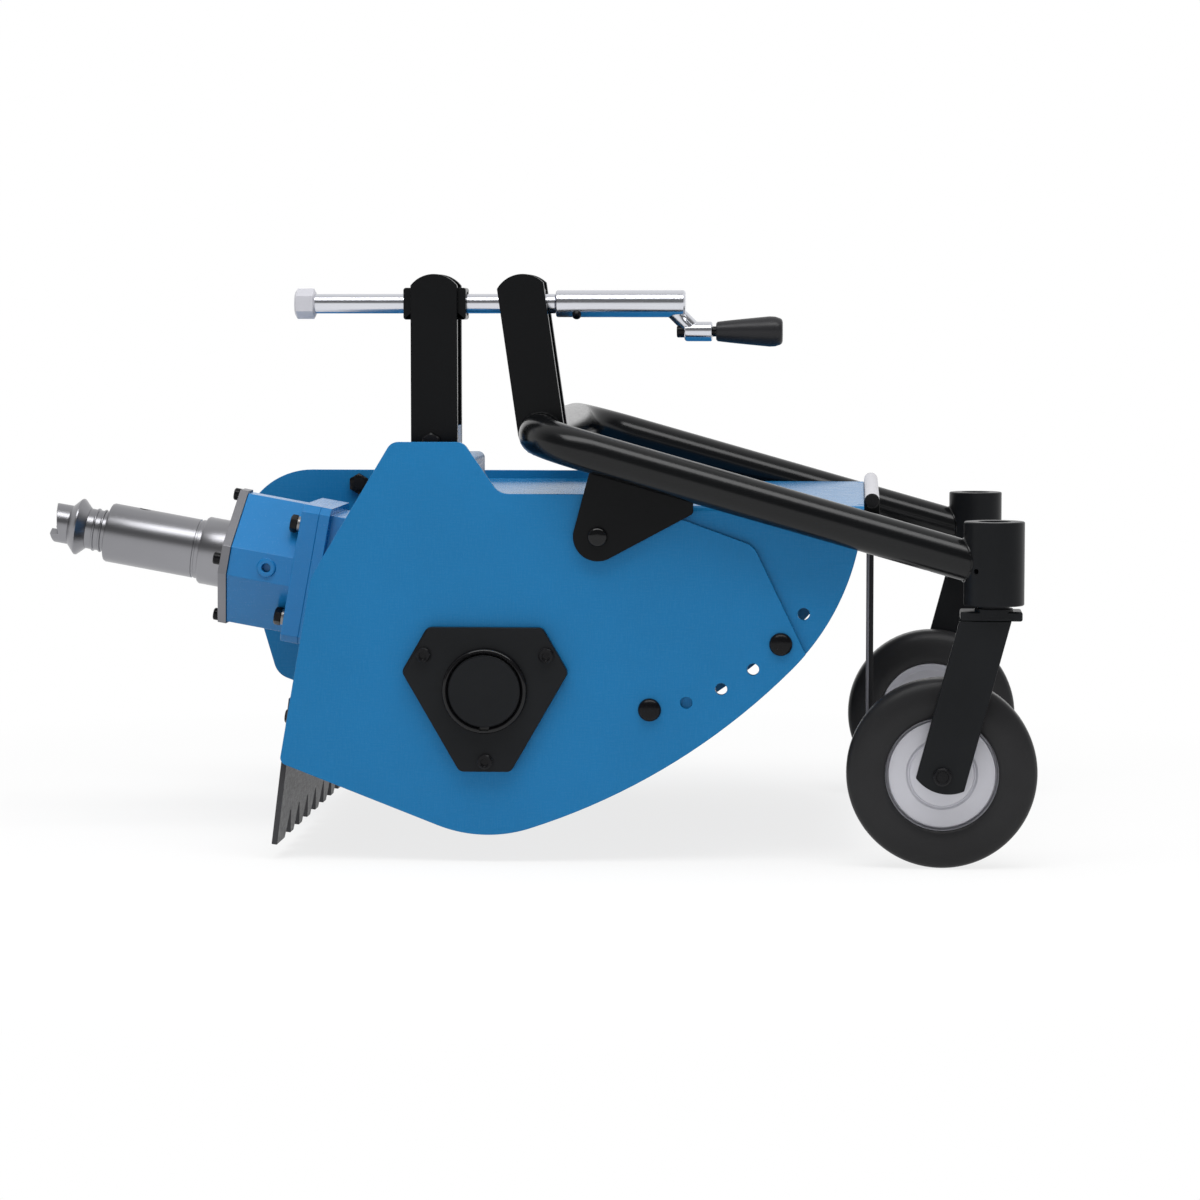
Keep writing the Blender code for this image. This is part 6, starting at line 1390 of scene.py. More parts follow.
def make_adapter():
    """A square flange and the box that stands it on the rear wall."""
    place = ("mower_body", "gearbox_adapter")
    square = (BOX_FLANGE, BOX_FLANGE - BOX_CHAMFER)
    flange = solid(skin, [drive_ring(*square, BOX_FLANGE_U - SEAT), drive_ring(*square, ADAPTER_U)])
    adapter = add_piece("gearbox_stand", flange, "cast_blue_paint", *place, FINE_EDGE)
    carve(adapter, solid(prism, stand_outline(), -ADAPTER_HALF_WIDE, ADAPTER_HALF_WIDE), "UNION")
    bolts = bmesh.new()
    washers = bmesh.new()
    shank, flat, high = BOX_BOLT_SIZE
    for y, v in box_bolt_spots():
        seat = drive_point(BOX_U[0], v, y)
        washer(washers, shank + GAP, flat / cos(pi / 6), GAP, FLAT_WASHER, seat, U_AXIS, ROD)
        washer(washers, shank + GAP, flat, FLAT_WASHER + GAP, SPRING_WASHER, seat, U_AXIS, ROD)
        add_bolt(bolts, seat, U_AXIS, (shank, flat, high + GAP - SPRING_WASHER), SPRING_WASHER,
                 BOX_U[0] - BOX_FLANGE_U + BOX_BOLT_DEEP)
    add_piece("gearbox_bolts", bolts, "blackened_bolt", *place)
    add_piece("gearbox_washers", washers, "washer_zinc", *place)


def make_front_flange():
    place = ("mower_body", "front_flange")
    low = BOX_U[1] + GAP
    high = low + FRONT_FLANGE
    reach = FRONT_SCREW_CIRCLE + FRONT_SCREW[1]
    plate = solid(skin, [drive_ring(reach, BOX_FLAT, BOX_U[1] + SEAT), drive_ring(reach, BOX_FLAT, high)])
    flange = add_piece("bearing_flange", plate, "grey_casting", *place, FINE_EDGE)
    holes = solid(drill, SLEEVE_BORE, low - PAST, high + PAST, BEVEL, U_AXIS, ROUND)
    screws = bmesh.new()
    for y, v in front_screw_spots():
        drill(holes, FRONT_SCREW[0] + BOLT_PLAY, low - PAST, high + PAST, drive_point(0, v, y), U_AXIS)
        add_cap_screw(screws, drive_point(high, v, y), U_AXIS, FRONT_SCREW, 0.5 * FRONT_FLANGE)
    carve(flange, holes)
    add_piece("flange_screws", screws, "blackened_bolt", *place)


def make_sleeve():
    low = BOX_U[1] + 2 * GAP + FRONT_FLANGE
    bore = clear(SLEEVE_BORE, ROUND)
    profile = [(low, bore), (low, SLEEVE_RING - CHAMFER), (low + CHAMFER, SLEEVE_RING),
               *shifted(SLEEVE_RING_U, SLEEVE_RING, SLEEVE_RIM),
               *shifted(SLEEVE_RING_U, SLEEVE_RADIUS, SLEEVE_GROOVE),
               *shifted(SLEEVE_U, SLEEVE_RADIUS, SLEEVE_END), (SLEEVE_U, bore)]
    tube = solid(turn, profile, BEVEL, U_AXIS, ROUND, closed=True)
    sleeve = add_piece("drive_sleeve", tube, "turned_steel", "mower_body", "pto_sleeve")
    carve(sleeve, solid(drill, SLEEVE_HOLE, 0.5 * SLEEVE_BORE, SLEEVE_RADIUS + PAST,
                        drive_point(SLEEVE_HOLE_U), V_AXIS, ROD))


def make_input():
    """The shaft that the tractor turns: its neck and its claw coupling."""
    neck = SLEEVE_U + GAP
    nose = BEVEL_BACK + GAP
    profile = [(INPUT_FRONT, CROSS_RADIUS - CHAMFER), (INPUT_FRONT + CHAMFER, CROSS_RADIUS),
               (nose, CROSS_RADIUS), (nose, INPUT_RADIUS), (neck, INPUT_RADIUS), (neck, INPUT_NECK)]
    for ring in INPUT_RINGS:
        profile += shifted(ring, INPUT_NECK, INPUT_RING)
    profile += [(INPUT_NECK_U, INPUT_NECK), (INPUT_NECK_U, INPUT_NOSE),
                (INPUT_NOSE_U - CHAMFER, INPUT_NOSE), (INPUT_NOSE_U, INPUT_NOSE - CHAMFER)]
    add_piece("drive_shaft", solid(turn, profile, BEVEL, U_AXIS, ROUND), "turned_steel",
              "input_drive", "input_shaft")

    root, low, high = DOG_U
    angles = []
    heights = []
    for jaw in range(DOG_JAWS):
        for k in range(JAW_STEPS + 1):
            share = k / JAW_STEPS
            angles.append(2 * pi * jaw / DOG_JAWS + (2 * pi / DOG_JAWS - JAW_CLIFF) * share)
            heights.append(low + (high - low) * share)

    def dog_ring(radius, levels):
        return [drive_point(u, radius * cos(angle), radius * sin(angle))
                for angle, u in zip(angles, levels)]

    start = INPUT_NECK_U + GAP
    rings = [dog_ring(radius, [u] * len(angles)) for radius, u in (
        (DOG_BORE, start), (INPUT_NECK, start), *shifted(COLLAR_RADIUS, COLLAR_U, COLLAR_STEPS),
        (DOG_RADIUS, root))]
    rings += [dog_ring(DOG_RADIUS, [u - DOG_EDGE for u in heights]),
              dog_ring(DOG_RADIUS - DOG_EDGE, heights), dog_ring(DOG_BORE, heights)]
    add_piece("claw_coupling", solid(skin, rings, closed=True), "turned_steel",
              "input_drive", "coupling_dog")


def make_belt_drive():
    hollow = BELT_RUN + BELT_THICK + COVER_ROOM
    skinned = hollow + COVER_WALL
    rim = skinned + COVER_RIM
    seat = PLATE_OUT + GAP
    top = seat + COVER_WALL
    rings = [(hollow, COVER_OUT - COVER_WALL), (hollow, seat), (rim, seat),
             (rim, seat + (1 - COVER_RIM_EDGE) * COVER_WALL), (rim - COVER_RIM_EDGE * COVER_WALL, top),
             *shifted(skinned, top, COVER_FILLET)]
    rings += [(skinned - COVER_ROUND * (1 - cos(angle)), COVER_OUT - COVER_ROUND * (1 - sin(angle)))
              for angle in fan(0, 0.5 * pi, COVER_ROUND_STEPS)]
    cover = solid(skin, [belt_ring(more, y) for more, y in rings])
    add_piece("belt_cover", cover, "blue_paint", "mower_body", "drive_cover")
    screws = bmesh.new()
    for spot in cover_screw_spots():
        add_cap_screw(screws, at(spot, top), Y_AXIS, COVER_SCREW, COVER_WALL)
    add_piece("belt_cover_screws", screws, "blackened_bolt", "mower_body", "drive_cover")
    tube = solid(washer, TUBE_RADIUS - TUBE_WALL, TUBE_RADIUS, BOX_FLANGE + GAP, PLATE_IN - GAP,
                 BEVEL, Y_AXIS, ROUND)
    add_piece("shaft_tube", tube, "blue_paint", "mower_body", "cross_shaft_tube")
    run = ring_of(BEVEL + (PLATE_IN - SHAFT_SEAM_IN) * Y_AXIS, Y_AXIS, TUBE_RADIUS + WELD_LIFT,
                  SHAFT_SEAM_STEPS)
    add_piece("shaft_tube_seam", solid(add_bead, run, closed=True), "blue_paint",
              "mower_body", "cross_shaft_tube")


# Bearings
def make_bearings():
    """The two flanged bearing units of the rotor, screwed to the side plates."""
    rotor = at(ROTOR_AXIS)
    place = ("mower_body", "left_bearing_housing")
    outer = PLATE_OUT + GAP
    face = outer + FLANGE_THICK
    boss_end = face + FLANGE_BOSS
    inside = CAP_RADIUS - CAP_GROOVE
    unit = solid(prism, flange_outline(), -face, -outer)
    housing = add_piece("near_bearing_unit", unit, "cast_black", *place, UNIT_EDGE)
    core = solid(turn, [(boss_end, inside - CORE_EDGE), (boss_end - CORE_EDGE, inside),
                        (outer + FUSE, inside)], rotor, -Y_AXIS, ROUND)
    carve(housing, core, "UNION")
    ring = [(face + GAP, inside + GAP), (face + GAP, FLANGE_BOSS_RADIUS)]
    ring += [(boss_end - BOSS_ROUND * (1 - sin(angle)), FLANGE_BOSS_RADIUS - BOSS_ROUND * (1 - cos(angle)))
             for angle in fan(0, 0.5 * pi, BOSS_ROUND_STEPS)]
    ring.append((boss_end - CAP_THICK, inside + GAP))
    collar = add_piece("near_bearing_collar", solid(turn, ring, rotor, -Y_AXIS, ROUND, closed=True),
                       "gloss_black", *place)
    # A thumb slot at the foot of the collar lets the cap be prised off
    foot = ROTOR_AXIS[1] - inside
    carve(collar, solid(block, (ROTOR_AXIS[0] - THUMB_SLOT, ROTOR_AXIS[0] + THUMB_SLOT),
                        (-boss_end - FUSE, -face - THUMB_SLOT_FLOOR),
                        (foot - THUMB_SLOT_DEEP, foot + FUSE)))
    bore = solid(drill, BEARING_RADIUS + GAP, outer - FUSE, outer + BEARING_WIDE + GAP,
                 rotor, -Y_AXIS, ROUND)
    screws = bmesh.new()
    for spot in bearing_screw_spots():
        seat = at(spot, -face)
        drill(bore, FLANGE_SCREW[0] + BOLT_PLAY, outer - PAST, face + PAST, at(spot), -Y_AXIS)
        add_cap_screw(screws, seat, -Y_AXIS, FLANGE_SCREW, FLANGE_THICK + PLATE + NUT_HEIGHT)
        add_nut(screws, seat + (FLANGE_THICK + PLATE + 2 * GAP) * Y_AXIS, -Y_AXIS, FLANGE_SCREW[0])
    carve(housing, bore)
    add_piece("near_bearing_screws", screws, "blackened_bolt", *place)

    place = ("mower_body", "right_bearing_housing")
    inner = PLATE_IN - GAP
    unit = solid(prism, flange_outline(), inner - FLANGE_THICK, inner)
    housing = add_piece("far_bearing_unit", unit, "cast_black", *place, UNIT_EDGE)
    carve(housing, solid(drill, STUB_RADIUS + SMALL_BEARING + GAP, inner - FLANGE_THICK - FUSE,
                         inner + FUSE, rotor, Y_AXIS, ROUND))
    screws = bmesh.new()
    for spot in bearing_screw_spots():
        add_cap_screw(screws, at(spot, PLATE_OUT), Y_AXIS, FLANGE_SCREW, PLATE + GAP + 0.5 * FLANGE_THICK)
    add_piece("far_bearing_screws", screws, "blackened_bolt", *place)


# Rotor
def make_rotor():
    place = ("rotor", "rotor_tube")
    left, right = ROTOR_TUBE_ENDS
    edge = 2 * CHAMFER
    step = PLATE_OUT + STUB_STEP
    profile = [(-(PLATE_OUT + GAP + BEARING_WIDE), STUB_RADIUS), (left, STUB_RADIUS),
               (left, ROTOR_TUBE_RADIUS - edge), (left + edge, ROTOR_TUBE_RADIUS),
               (right - edge, ROTOR_TUBE_RADIUS), (right, ROTOR_TUBE_RADIUS - edge),
               (right, STUB_RADIUS), (step, STUB_RADIUS), (step, CROSS_RADIUS),
               (PULLEY_Y[1] + CHAMFER, CROSS_RADIUS)]
    barrel = solid(turn, profile, at(ROTOR_AXIS), Y_AXIS, ROUND)
    add_piece("rotor_barrel", barrel, "black_paint", *place, slot="forged_steel")
    lugs = bmesh.new()
    pins = bmesh.new()
    seams = bmesh.new()
    lean = asin(LUG_FOOT / ROTOR_TUBE_RADIUS)
    reach = ROTOR_TUBE_RADIUS + LUG_SEAM_LIFT
    head = 0.5 * LUG_SLOT + LUG_THICK + GAP
    end = head + PIN_HEAD
    for index in range(HAMMERS):
        angle, y = hammer_place(index)
        out = Vector((cos(angle), 0, sin(angle)))
        across = Vector((-sin(angle), 0, cos(angle)))
        for side in (LEFT, RIGHT):
            near = y + side * 0.5 * LUG_SLOT
            far = near + side * LUG_THICK
            prism(lugs, lug_outline(), *sorted((near, far)), at(ROTOR_AXIS), out, across)
            add_bead(seams, [at(ROTOR_AXIS, far) + reach * (cos(turned) * out + sin(turned) * across)
                             for turned in fan(-lean, lean, LUG_SEAM_STEPS)])
        turn(pins, [(-end, PIN_HEAD_RADIUS - CHAMFER), (-end + CHAMFER, PIN_HEAD_RADIUS),
                    (-head, PIN_HEAD_RADIUS), (-head, PIN_RADIUS), (end - CHAMFER, PIN_RADIUS),
                    (end, PIN_RADIUS - CHAMFER)], hammer_pin(index), Y_AXIS, ROD)
    add_piece("rotor_lugs", lugs, "black_paint", *place, EDGE, slot="forged_steel")
    add_piece("rotor_seams", seams, "black_paint", *place, slot="forged_steel")
    add_piece("hammer_pins", pins, "washer_zinc", *place)


def make_hammers():
    corners = ((-1, -1), (1, -1), (1, 1), (-1, 1))
    for index, letter in enumerate("abcdefghijkl"):
        pin = hammer_pin(index)
        rings = [[pin - down * Z_AXIS + a * thick * X_AXIS + b * wide * Y_AXIS for a, b in corners]
                 for down, wide, thick in HAMMER_SHAPE]
        number = f"{index + 1:02d}"
        hammer = add_piece(f"hammer_forging_{number}", solid(skin, rings), "forged_steel",
                           f"hammer_{letter}", f"hammer_{number}", CAST_EDGE)
        carve(hammer, solid(drill, PIN_RADIUS + RUN, -HAMMER_WIDE, HAMMER_WIDE, pin, Y_AXIS, ROD))


# Height frame
def frame_tube_rings(spots, radius):
    """Rings of the bent tube round a path in the frame's own plane."""
    origin, ahead, lift = frame_axes()
    made = []
    for i, here in enumerate(spots):
        side, share = mitre(spots, i)
        side = side * (1 / share)
        middle = origin + here.x * ahead + here.y * Y_AXIS
        across = side.x * ahead + side.y * Y_AXIS
        made.append([middle + radius * (cos(angle) * across + sin(angle) * lift)
                     for angle in fan(0, 2 * pi, FRAME_SIDES)[:-1]])
    return made


def make_frame_tube():
    place = ("height_frame", "frame_tube")
    origin, ahead, lift = frame_axes()
    radius = FRAME_TUBE_RADIUS
    reach = (BARREL_X - FRAME_REAR[0]) / cos(FRAME_SLOPE)
    path = rounded([(reach, -FRAME_Y), (0, -FRAME_Y, FRAME_BEND), (0, FRAME_Y, FRAME_BEND),
                    (reach, FRAME_Y)], closed=False)
    spots = [Vector(point) for point in path]
    rings = frame_tube_rings(spots, radius) + frame_tube_rings(spots, radius - FRAME_TUBE_WALL)[::-1]
    tube = add_piece("bent_frame_tube", solid(skin, rings, closed=True), "tube_black", *place)
    ends = bmesh.new()
    barrels = bmesh.new()
    vents = bmesh.new()
    seams = bmesh.new()
    low, high = BARREL_Z
    bore = STEM_RADIUS + RUN
    for side in (LEFT, RIGHT):
        stand = at((BARREL_X, 0), side * FRAME_Y)
        turn(ends, [(low - 5 * PAST, BARREL_RADIUS - FUSE), (high + 5 * PAST, BARREL_RADIUS - FUSE)],
             stand, Z_AXIS, ROUND)
        drain = origin + (reach - FRAME_BEND) * ahead + side * FRAME_Y * Y_AXIS
        turn(ends, [(0.5 * radius, DRAIN_RADIUS), (2 * radius, DRAIN_RADIUS)], drain, -lift, BOLT)
        turn(barrels, [(low, bore + CHAMFER), (low, BARREL_RADIUS - CHAMFER),
                       (low + CHAMFER, BARREL_RADIUS), (high - CHAMFER, BARREL_RADIUS),
                       (high, BARREL_RADIUS - CHAMFER), (high, bore + CHAMFER), (high - CHAMFER, bore),
                       (low + CHAMFER, bore)], stand, Z_AXIS, ROUND, closed=True)
        outward = cos(VENT_TURN) * side * Y_AXIS - sin(VENT_TURN) * X_AXIS
        turn(vents, [(VENT_REACH[0] * bore, VENT_RADIUS), (VENT_REACH[1] * BARREL_RADIUS, VENT_RADIUS)],
             stand + VENT_Z * Z_AXIS, outward, ROD)
        run = []
        for turned in fan(0, 2 * pi, BARREL_SEAM_STEPS)[:-1]:
            sideways = radius * cos(turned)
            start = origin + side * FRAME_Y * Y_AXIS + radius * (cos(turned) * Y_AXIS + sin(turned) * lift)
            back = sqrt(BARREL_RADIUS ** 2 - sideways ** 2)
            run.append(start + ahead * ((BARREL_X - back - start.x) / ahead.x))
        add_bead(seams, run, FINE_WELD, True, FINE_RIPPLE)
    carve(tube, ends)
    carve(add_piece("castor_barrels", barrels, "cast_black", *place), vents)
    for face in (-BAR_FACE, -0.5 * BAR_GAP, 0.5 * BAR_GAP, BAR_FACE):
        run = ring_of(origin + (SCREW_Y + face) * Y_AXIS, Y_AXIS, radius + WELD_LIFT,
                      ARM_SEAM_STEPS)
        add_bead(seams, run, closed=True)
    add_piece("frame_seams", seams, "tube_black", *place)


def make_gussets():
    for name, side in (("left_gusset", LEFT), ("right_gusset", RIGHT)):
        low, high = sorted((side * GUSSET_IN, side * (GUSSET_IN + GUSSET)))
        gusset = add_piece(f"{name}_plate", solid(prism, gusset_outline(), low, high),
                           "black_paint", "height_frame", name, EDGE)
        carve(gusset, solid(drill, PIVOT_BOLT_RADIUS + RUN, low - PAST, high + PAST,
                            at(FRAME_PIVOT), Y_AXIS, ROD))


# Height screw, its arm and its stand
def make_uprights():
    outline = [(a + NUT_PIVOT_X, b) for a, b in bar_outline(PEDESTAL_TOP + GAP, SCREW_Z)]
    for name, side in (("left_upright", LEFT), ("right_upright", RIGHT)):
        near = SCREW_Y + side * 0.5 * BAR_GAP
        bar = solid(prism, outline, *sorted((near, near + side * BAR_THICK)))
        upright = add_piece(f"{name}_bar", bar, "black_paint", "mower_body", name, BAR_EDGE)
        holes = solid(drill, TRUNNION_RADIUS + RUN, *sorted((0, side * (BAR_FACE - PIN_SKIN))),
                      at((NUT_PIVOT_X, SCREW_Z), SCREW_Y), Y_AXIS, ROD)
        drill(holes, EAR_BOLT_SIZE[0] + BOLT_PLAY, -BAR_FACE - PAST, BAR_FACE + PAST,
              at(EAR_BOLT, SCREW_Y), Y_AXIS)
        carve(upright, holes)
    seat = at(EAR_BOLT, SCREW_Y - BAR_FACE)
    bolt = solid(add_bolt, seat, -Y_AXIS, EAR_BOLT_SIZE, GAP, 2 * BAR_FACE + NUT_HEIGHT + BOLT_END)
    add_nut(bolt, seat + (2 * BAR_FACE + GAP) * Y_AXIS, -Y_AXIS, EAR_BOLT_SIZE[0])
    add_piece("upright_bolt", bolt, "blackened_bolt", "mower_body", "left_upright")


def make_pedestal():
    """A folded channel on the deck, open below, with the ear that the uprights clamp."""
    place = ("mower_body", "pedestal")
    low = DECK_TOP + GAP
    top = PEDESTAL_TOP - 0.5 * SHEET
    rear, front = PEDESTAL_X[0] + 0.5 * SHEET, PEDESTAL_X[1] - 0.5 * SHEET
    path = rounded([(rear, low), (rear, top, PEDESTAL_BEND), (front, top, PEDESTAL_BEND), (front, low)],
                   closed=False)
    channel = solid(prism, sheet_outline(path, SHEET), -INSIDE, PEDESTAL_INNER_Y)
    pedestal = add_piece("pedestal_channel", channel, "blue_paint", *place, FINE_EDGE)
    half = 0.5 * BAR_WIDE
    ear = 0.5 * BAR_GAP - GAP
    carve(pedestal, solid(block, (NUT_PIVOT_X - half, NUT_PIVOT_X + half), (SCREW_Y - ear, SCREW_Y + ear),
                          (PEDESTAL_TOP - FUSE, EAR_TOP)), "UNION")
    carve(pedestal, solid(drill, EAR_BOLT_SIZE[0] + BOLT_PLAY, -BAR_GAP, BAR_GAP,
                          at(EAR_BOLT, SCREW_Y), Y_AXIS))
    seams = bmesh.new()
    length = INSIDE + PEDESTAL_INNER_Y
    steps = ceil(length / BEAD_STEP)
    for x in PEDESTAL_X:
        add_bead(seams, [Vector((x, -INSIDE + length * k / steps, low + WELD_LIFT))
                         for k in range(steps + 1)])
    add_piece("pedestal_seams", seams, "blue_paint", *place)


def make_arm():
    """Two bars from the cross tube up to the arm's pivot."""
    pivot = at((ARM_PIVOT_X, SCREW_Z), SCREW_Y)
    across = Vector((cos(ARM_TILT), 0, sin(ARM_TILT)))
    up = Vector((-sin(ARM_TILT), 0, cos(ARM_TILT)))
    outline = bar_outline(-(SCREW_Z - FRAME_REAR[1]) / cos(ARM_TILT), 0)
    for name, side in (("left_arm_plate", LEFT), ("right_arm_plate", RIGHT)):
        near = side * 0.5 * BAR_GAP
        bar = solid(prism, outline, *sorted((near, near + side * BAR_THICK)), pivot, across, up, Y_AXIS)
        arm = add_piece(f"{name}_bar", bar, "black_paint", "height_frame", name, BAR_EDGE)
        holes = solid(drill, TRUNNION_RADIUS + RUN, *sorted((0, side * (BAR_FACE - PIN_SKIN))),
                      pivot, Y_AXIS, ROD)
        drill(holes, FRAME_TUBE_RADIUS + GAP, -BAR_FACE - PAST, BAR_FACE + PAST,
              at(FRAME_REAR, SCREW_Y), Y_AXIS, ROUND)
        carve(arm, holes)


def make_trunnion(name, body, x, half_long, bore):
    """A block between two bars, with a pin into each and a bore for the screw."""
    centre = at((x, SCREW_Z), SCREW_Y)
    half = 0.5 * BAR_GAP - GAP
    outline = rounded([(a * half_long, b * BLOCK_HALF_HIGH, BLOCK_CHAMFER)
                       for a, b in ((-1, -1), (1, -1), (1, 1), (-1, 1))])
    piece = add_piece(f"{name}_body", solid(prism, outline, -half, half, centre),
                      "black_paint", body, name, BAR_EDGE)
    end = BAR_FACE - PIN_SKIN - GAP
    carve(piece, solid(turn, [(-end, TRUNNION_RADIUS), (end, TRUNNION_RADIUS)], centre, Y_AXIS, ROD),
          "UNION")
    carve(piece, solid(drill, bore, -half_long - PAST, half_long + PAST, centre, X_AXIS, ROD))


def make_screw():
    axis = at((0, SCREW_Z), SCREW_Y)
    step = SLEEVE_X[0] - GAP
    profile = [(SCREW_NUT_X[1] - FUSE, SCREW_RADIUS), (step - CHAMFER, SCREW_RADIUS),
               (step, SCREW_RADIUS - CHAMFER), (step, SCREW_TAIL_RADIUS),
               (SLEEVE_X[0] + SCREW_TAIL, SCREW_TAIL_RADIUS)]
    add_piece("height_spindle", solid(turn, profile, axis, X_AXIS, ROD), "chrome",
              "crank_screw", "height_screw")
    far, near = SCREW_NUT_X
    hollow, face = (share * SCREW_NUT_FLAT for share in SCREW_NUT_FACE)
    nut = solid(add_screw_rings, axis, X_AXIS, [
        (ring_of, far, hollow), (ring_of, far, face),
        (hex_ring, far + 2 * CHAMFER, SCREW_NUT_FLAT), (hex_ring, near - 2 * CHAMFER, SCREW_NUT_FLAT),
        (ring_of, near - GAP, face)])
    add_piece("spindle_nut", nut, "zinc_disc", "crank_screw", "height_screw")


def make_crank():
    place = ("crank_screw", "crank_sleeve")
    axis = at((0, SCREW_Z), SCREW_Y)
    eye = axis - CRANK_DROP * Z_AXIS
    radius = CRANK_SLEEVE_RADIUS
    bore = clear(SCREW_TAIL_RADIUS + GAP, ROD)
    low, high = SLEEVE_X
    tube = solid(turn, [
        (low + SCREW_TAIL + GAP, bore), (low, bore), (low, radius - CHAMFER), (low + CHAMFER, radius),
        (high - 2 * CHAMFER, radius), (high, radius - 2 * CHAMFER)], axis, X_AXIS, ROUND)
    crank = add_piece("crank_tube", tube, "chrome", *place, EDGE)
    left, right = CRANK_EYE_X
    start = axis + at((high + CRANK_WEB_START[0], CRANK_WEB_START[1]))
    stop = eye + at((left + CRANK_WEB_STOP[0], CRANK_WEB_STOP[1]))
    way = (stop - start).normalized()
    carve(crank, solid(skin, [
        ring_of(start.lerp(stop, share), way, 0.5 * CRANK_WEB_WIDE * size, ROUND)
        for share, size in CRANK_WEB_SIZES]), "UNION")
    carve(crank, solid(turn, [
        *shifted(left, CRANK_EYE_RADIUS, CRANK_EYE_RIM), (right - CAP_EDGE, CRANK_EYE_RADIUS),
        (right, CRANK_EYE_RADIUS - CAP_EDGE)], eye, X_AXIS, ROUND), "UNION")
    carve(crank, solid(drill, GRIP_BOLT_RADIUS + RUN, left - PAST, right + PAST, eye, X_AXIS, ROD))
    side = Vector((0, -sin(SET_SCREW_TURN), -cos(SET_SCREW_TURN)))
    profile = [*shifted(radius, SET_SCREW_RADIUS, SET_SCREW_STEPS), *shifted(radius, 0, SET_SCREW_SOCKET)]
    screw = solid(turn, profile, axis + SET_SCREW_X * X_AXIS, side, ROD)
    add_piece("crank_set_screw", screw, "blackened_bolt", *place)

    left, right = left - GAP, right + GAP
    base = GRIP_X[0] - GAP
    bolt = solid(turn, [
        (left - NUT_HEIGHT, GRIP_NUT_RADIUS - CHAMFER), (left - NUT_HEIGHT + CHAMFER, GRIP_NUT_RADIUS),
        (left, GRIP_NUT_RADIUS), (left, GRIP_BOLT_RADIUS), (right, GRIP_BOLT_RADIUS),
        (right, GRIP_SHOULDER), (base, GRIP_SHOULDER), (base, GRIP_BOLT_RADIUS)], eye, X_AXIS, ROD)
    add_piece("grip_bolt", bolt, "blackened_bolt", "grip", "crank_grip", slot="chrome")
    left, right = GRIP_X
    thin, thick = GRIP_RADII
    profile = [(left, GRIP_BOLT_RADIUS), (left, thin - GRIP_BASE), (left + GRIP_BASE, thin)]
    for k in range(1, GRIP_STEPS + 1):
        profile.append((left + GRIP_BASE + (right - left - GRIP_ENDS) * k / GRIP_STEPS,
                        thin + (thick - thin) * (k / GRIP_STEPS) ** GRIP_SWELL))
    profile += shifted(right, thick, GRIP_TIP)
    add_piece("grip_handle", solid(turn, profile, eye, X_AXIS, ROUND), "black_plastic",
              "grip", "crank_grip")


# Castors
def make_fork(hand, side):
    place = (f"castor_{hand}", f"castor_fork_{hand}")
    inner, outer = side * (LEG_OUTER_Y - LEG_THICK), side * LEG_OUTER_Y
    outline = leg_outline()
    add_piece(f"castor_leg_{hand}", solid(prism, outline, *sorted((inner, outer))),
              "cast_black", *place, LEG_EDGE)
    crown = solid(block, CROWN_X, sorted((side * CROWN_INNER_Y, outer)),
                  (CROWN_BOTTOM, CROWN_BOTTOM + CROWN_THICK))
    add_piece(f"castor_crown_{hand}", crown, "cast_black", *place, CROWN_EDGE)
    neck = BARREL_Z[0] - 0.5 * NECK
    top = BARREL_Z[1] - STEM_END
    thick = STEM_RADIUS + NECK_MORE
    post = solid(turn, [
        (CROWN_BOTTOM + 0.5 * CROWN_THICK, thick), (neck - EDGE, thick), (neck, thick - EDGE),
        (neck, STEM_RADIUS), (top - CHAMFER, STEM_RADIUS),
        (top, STEM_RADIUS - CHAMFER)], at((BARREL_X, 0), side * FRAME_Y), Z_AXIS, ROUND)
    add_piece(f"castor_stem_{hand}", post, "cast_black", *place)
    front, back = at(outline[-2], inner), at(outline[-1], inner)
    steps = ceil((front - back).length / BEAD_STEP)
    seam = solid(add_bead, [back.lerp(front, k / steps) for k in range(steps + 1)])
    add_piece(f"castor_seam_{hand}", seam, "cast_black", *place)

    way = side * Y_AXIS
    wheel = at(WHEEL_CENTRE)
    face = LEG_OUTER_Y + GAP
    profile = [(HUB_INNER_Y - NUT_HEIGHT, AXLE_RADIUS), (LEG_OUTER_Y - FUSE, AXLE_RADIUS),
               (face, AXLE_RADIUS)]
    profile += [*shifted(face, AXLE_HEAD, AXLE_HEAD_STEPS), *shifted(face, 0, (AXLE_HOLLOW,))]
    axle = solid(turn, profile, wheel, way, ROD)
    add_nut(axle, wheel + (HUB_INNER_Y - GAP) * way, way, AXLE_RADIUS)
    add_piece(f"wheel_axle_{hand}", axle, "blackened_bolt", *place)


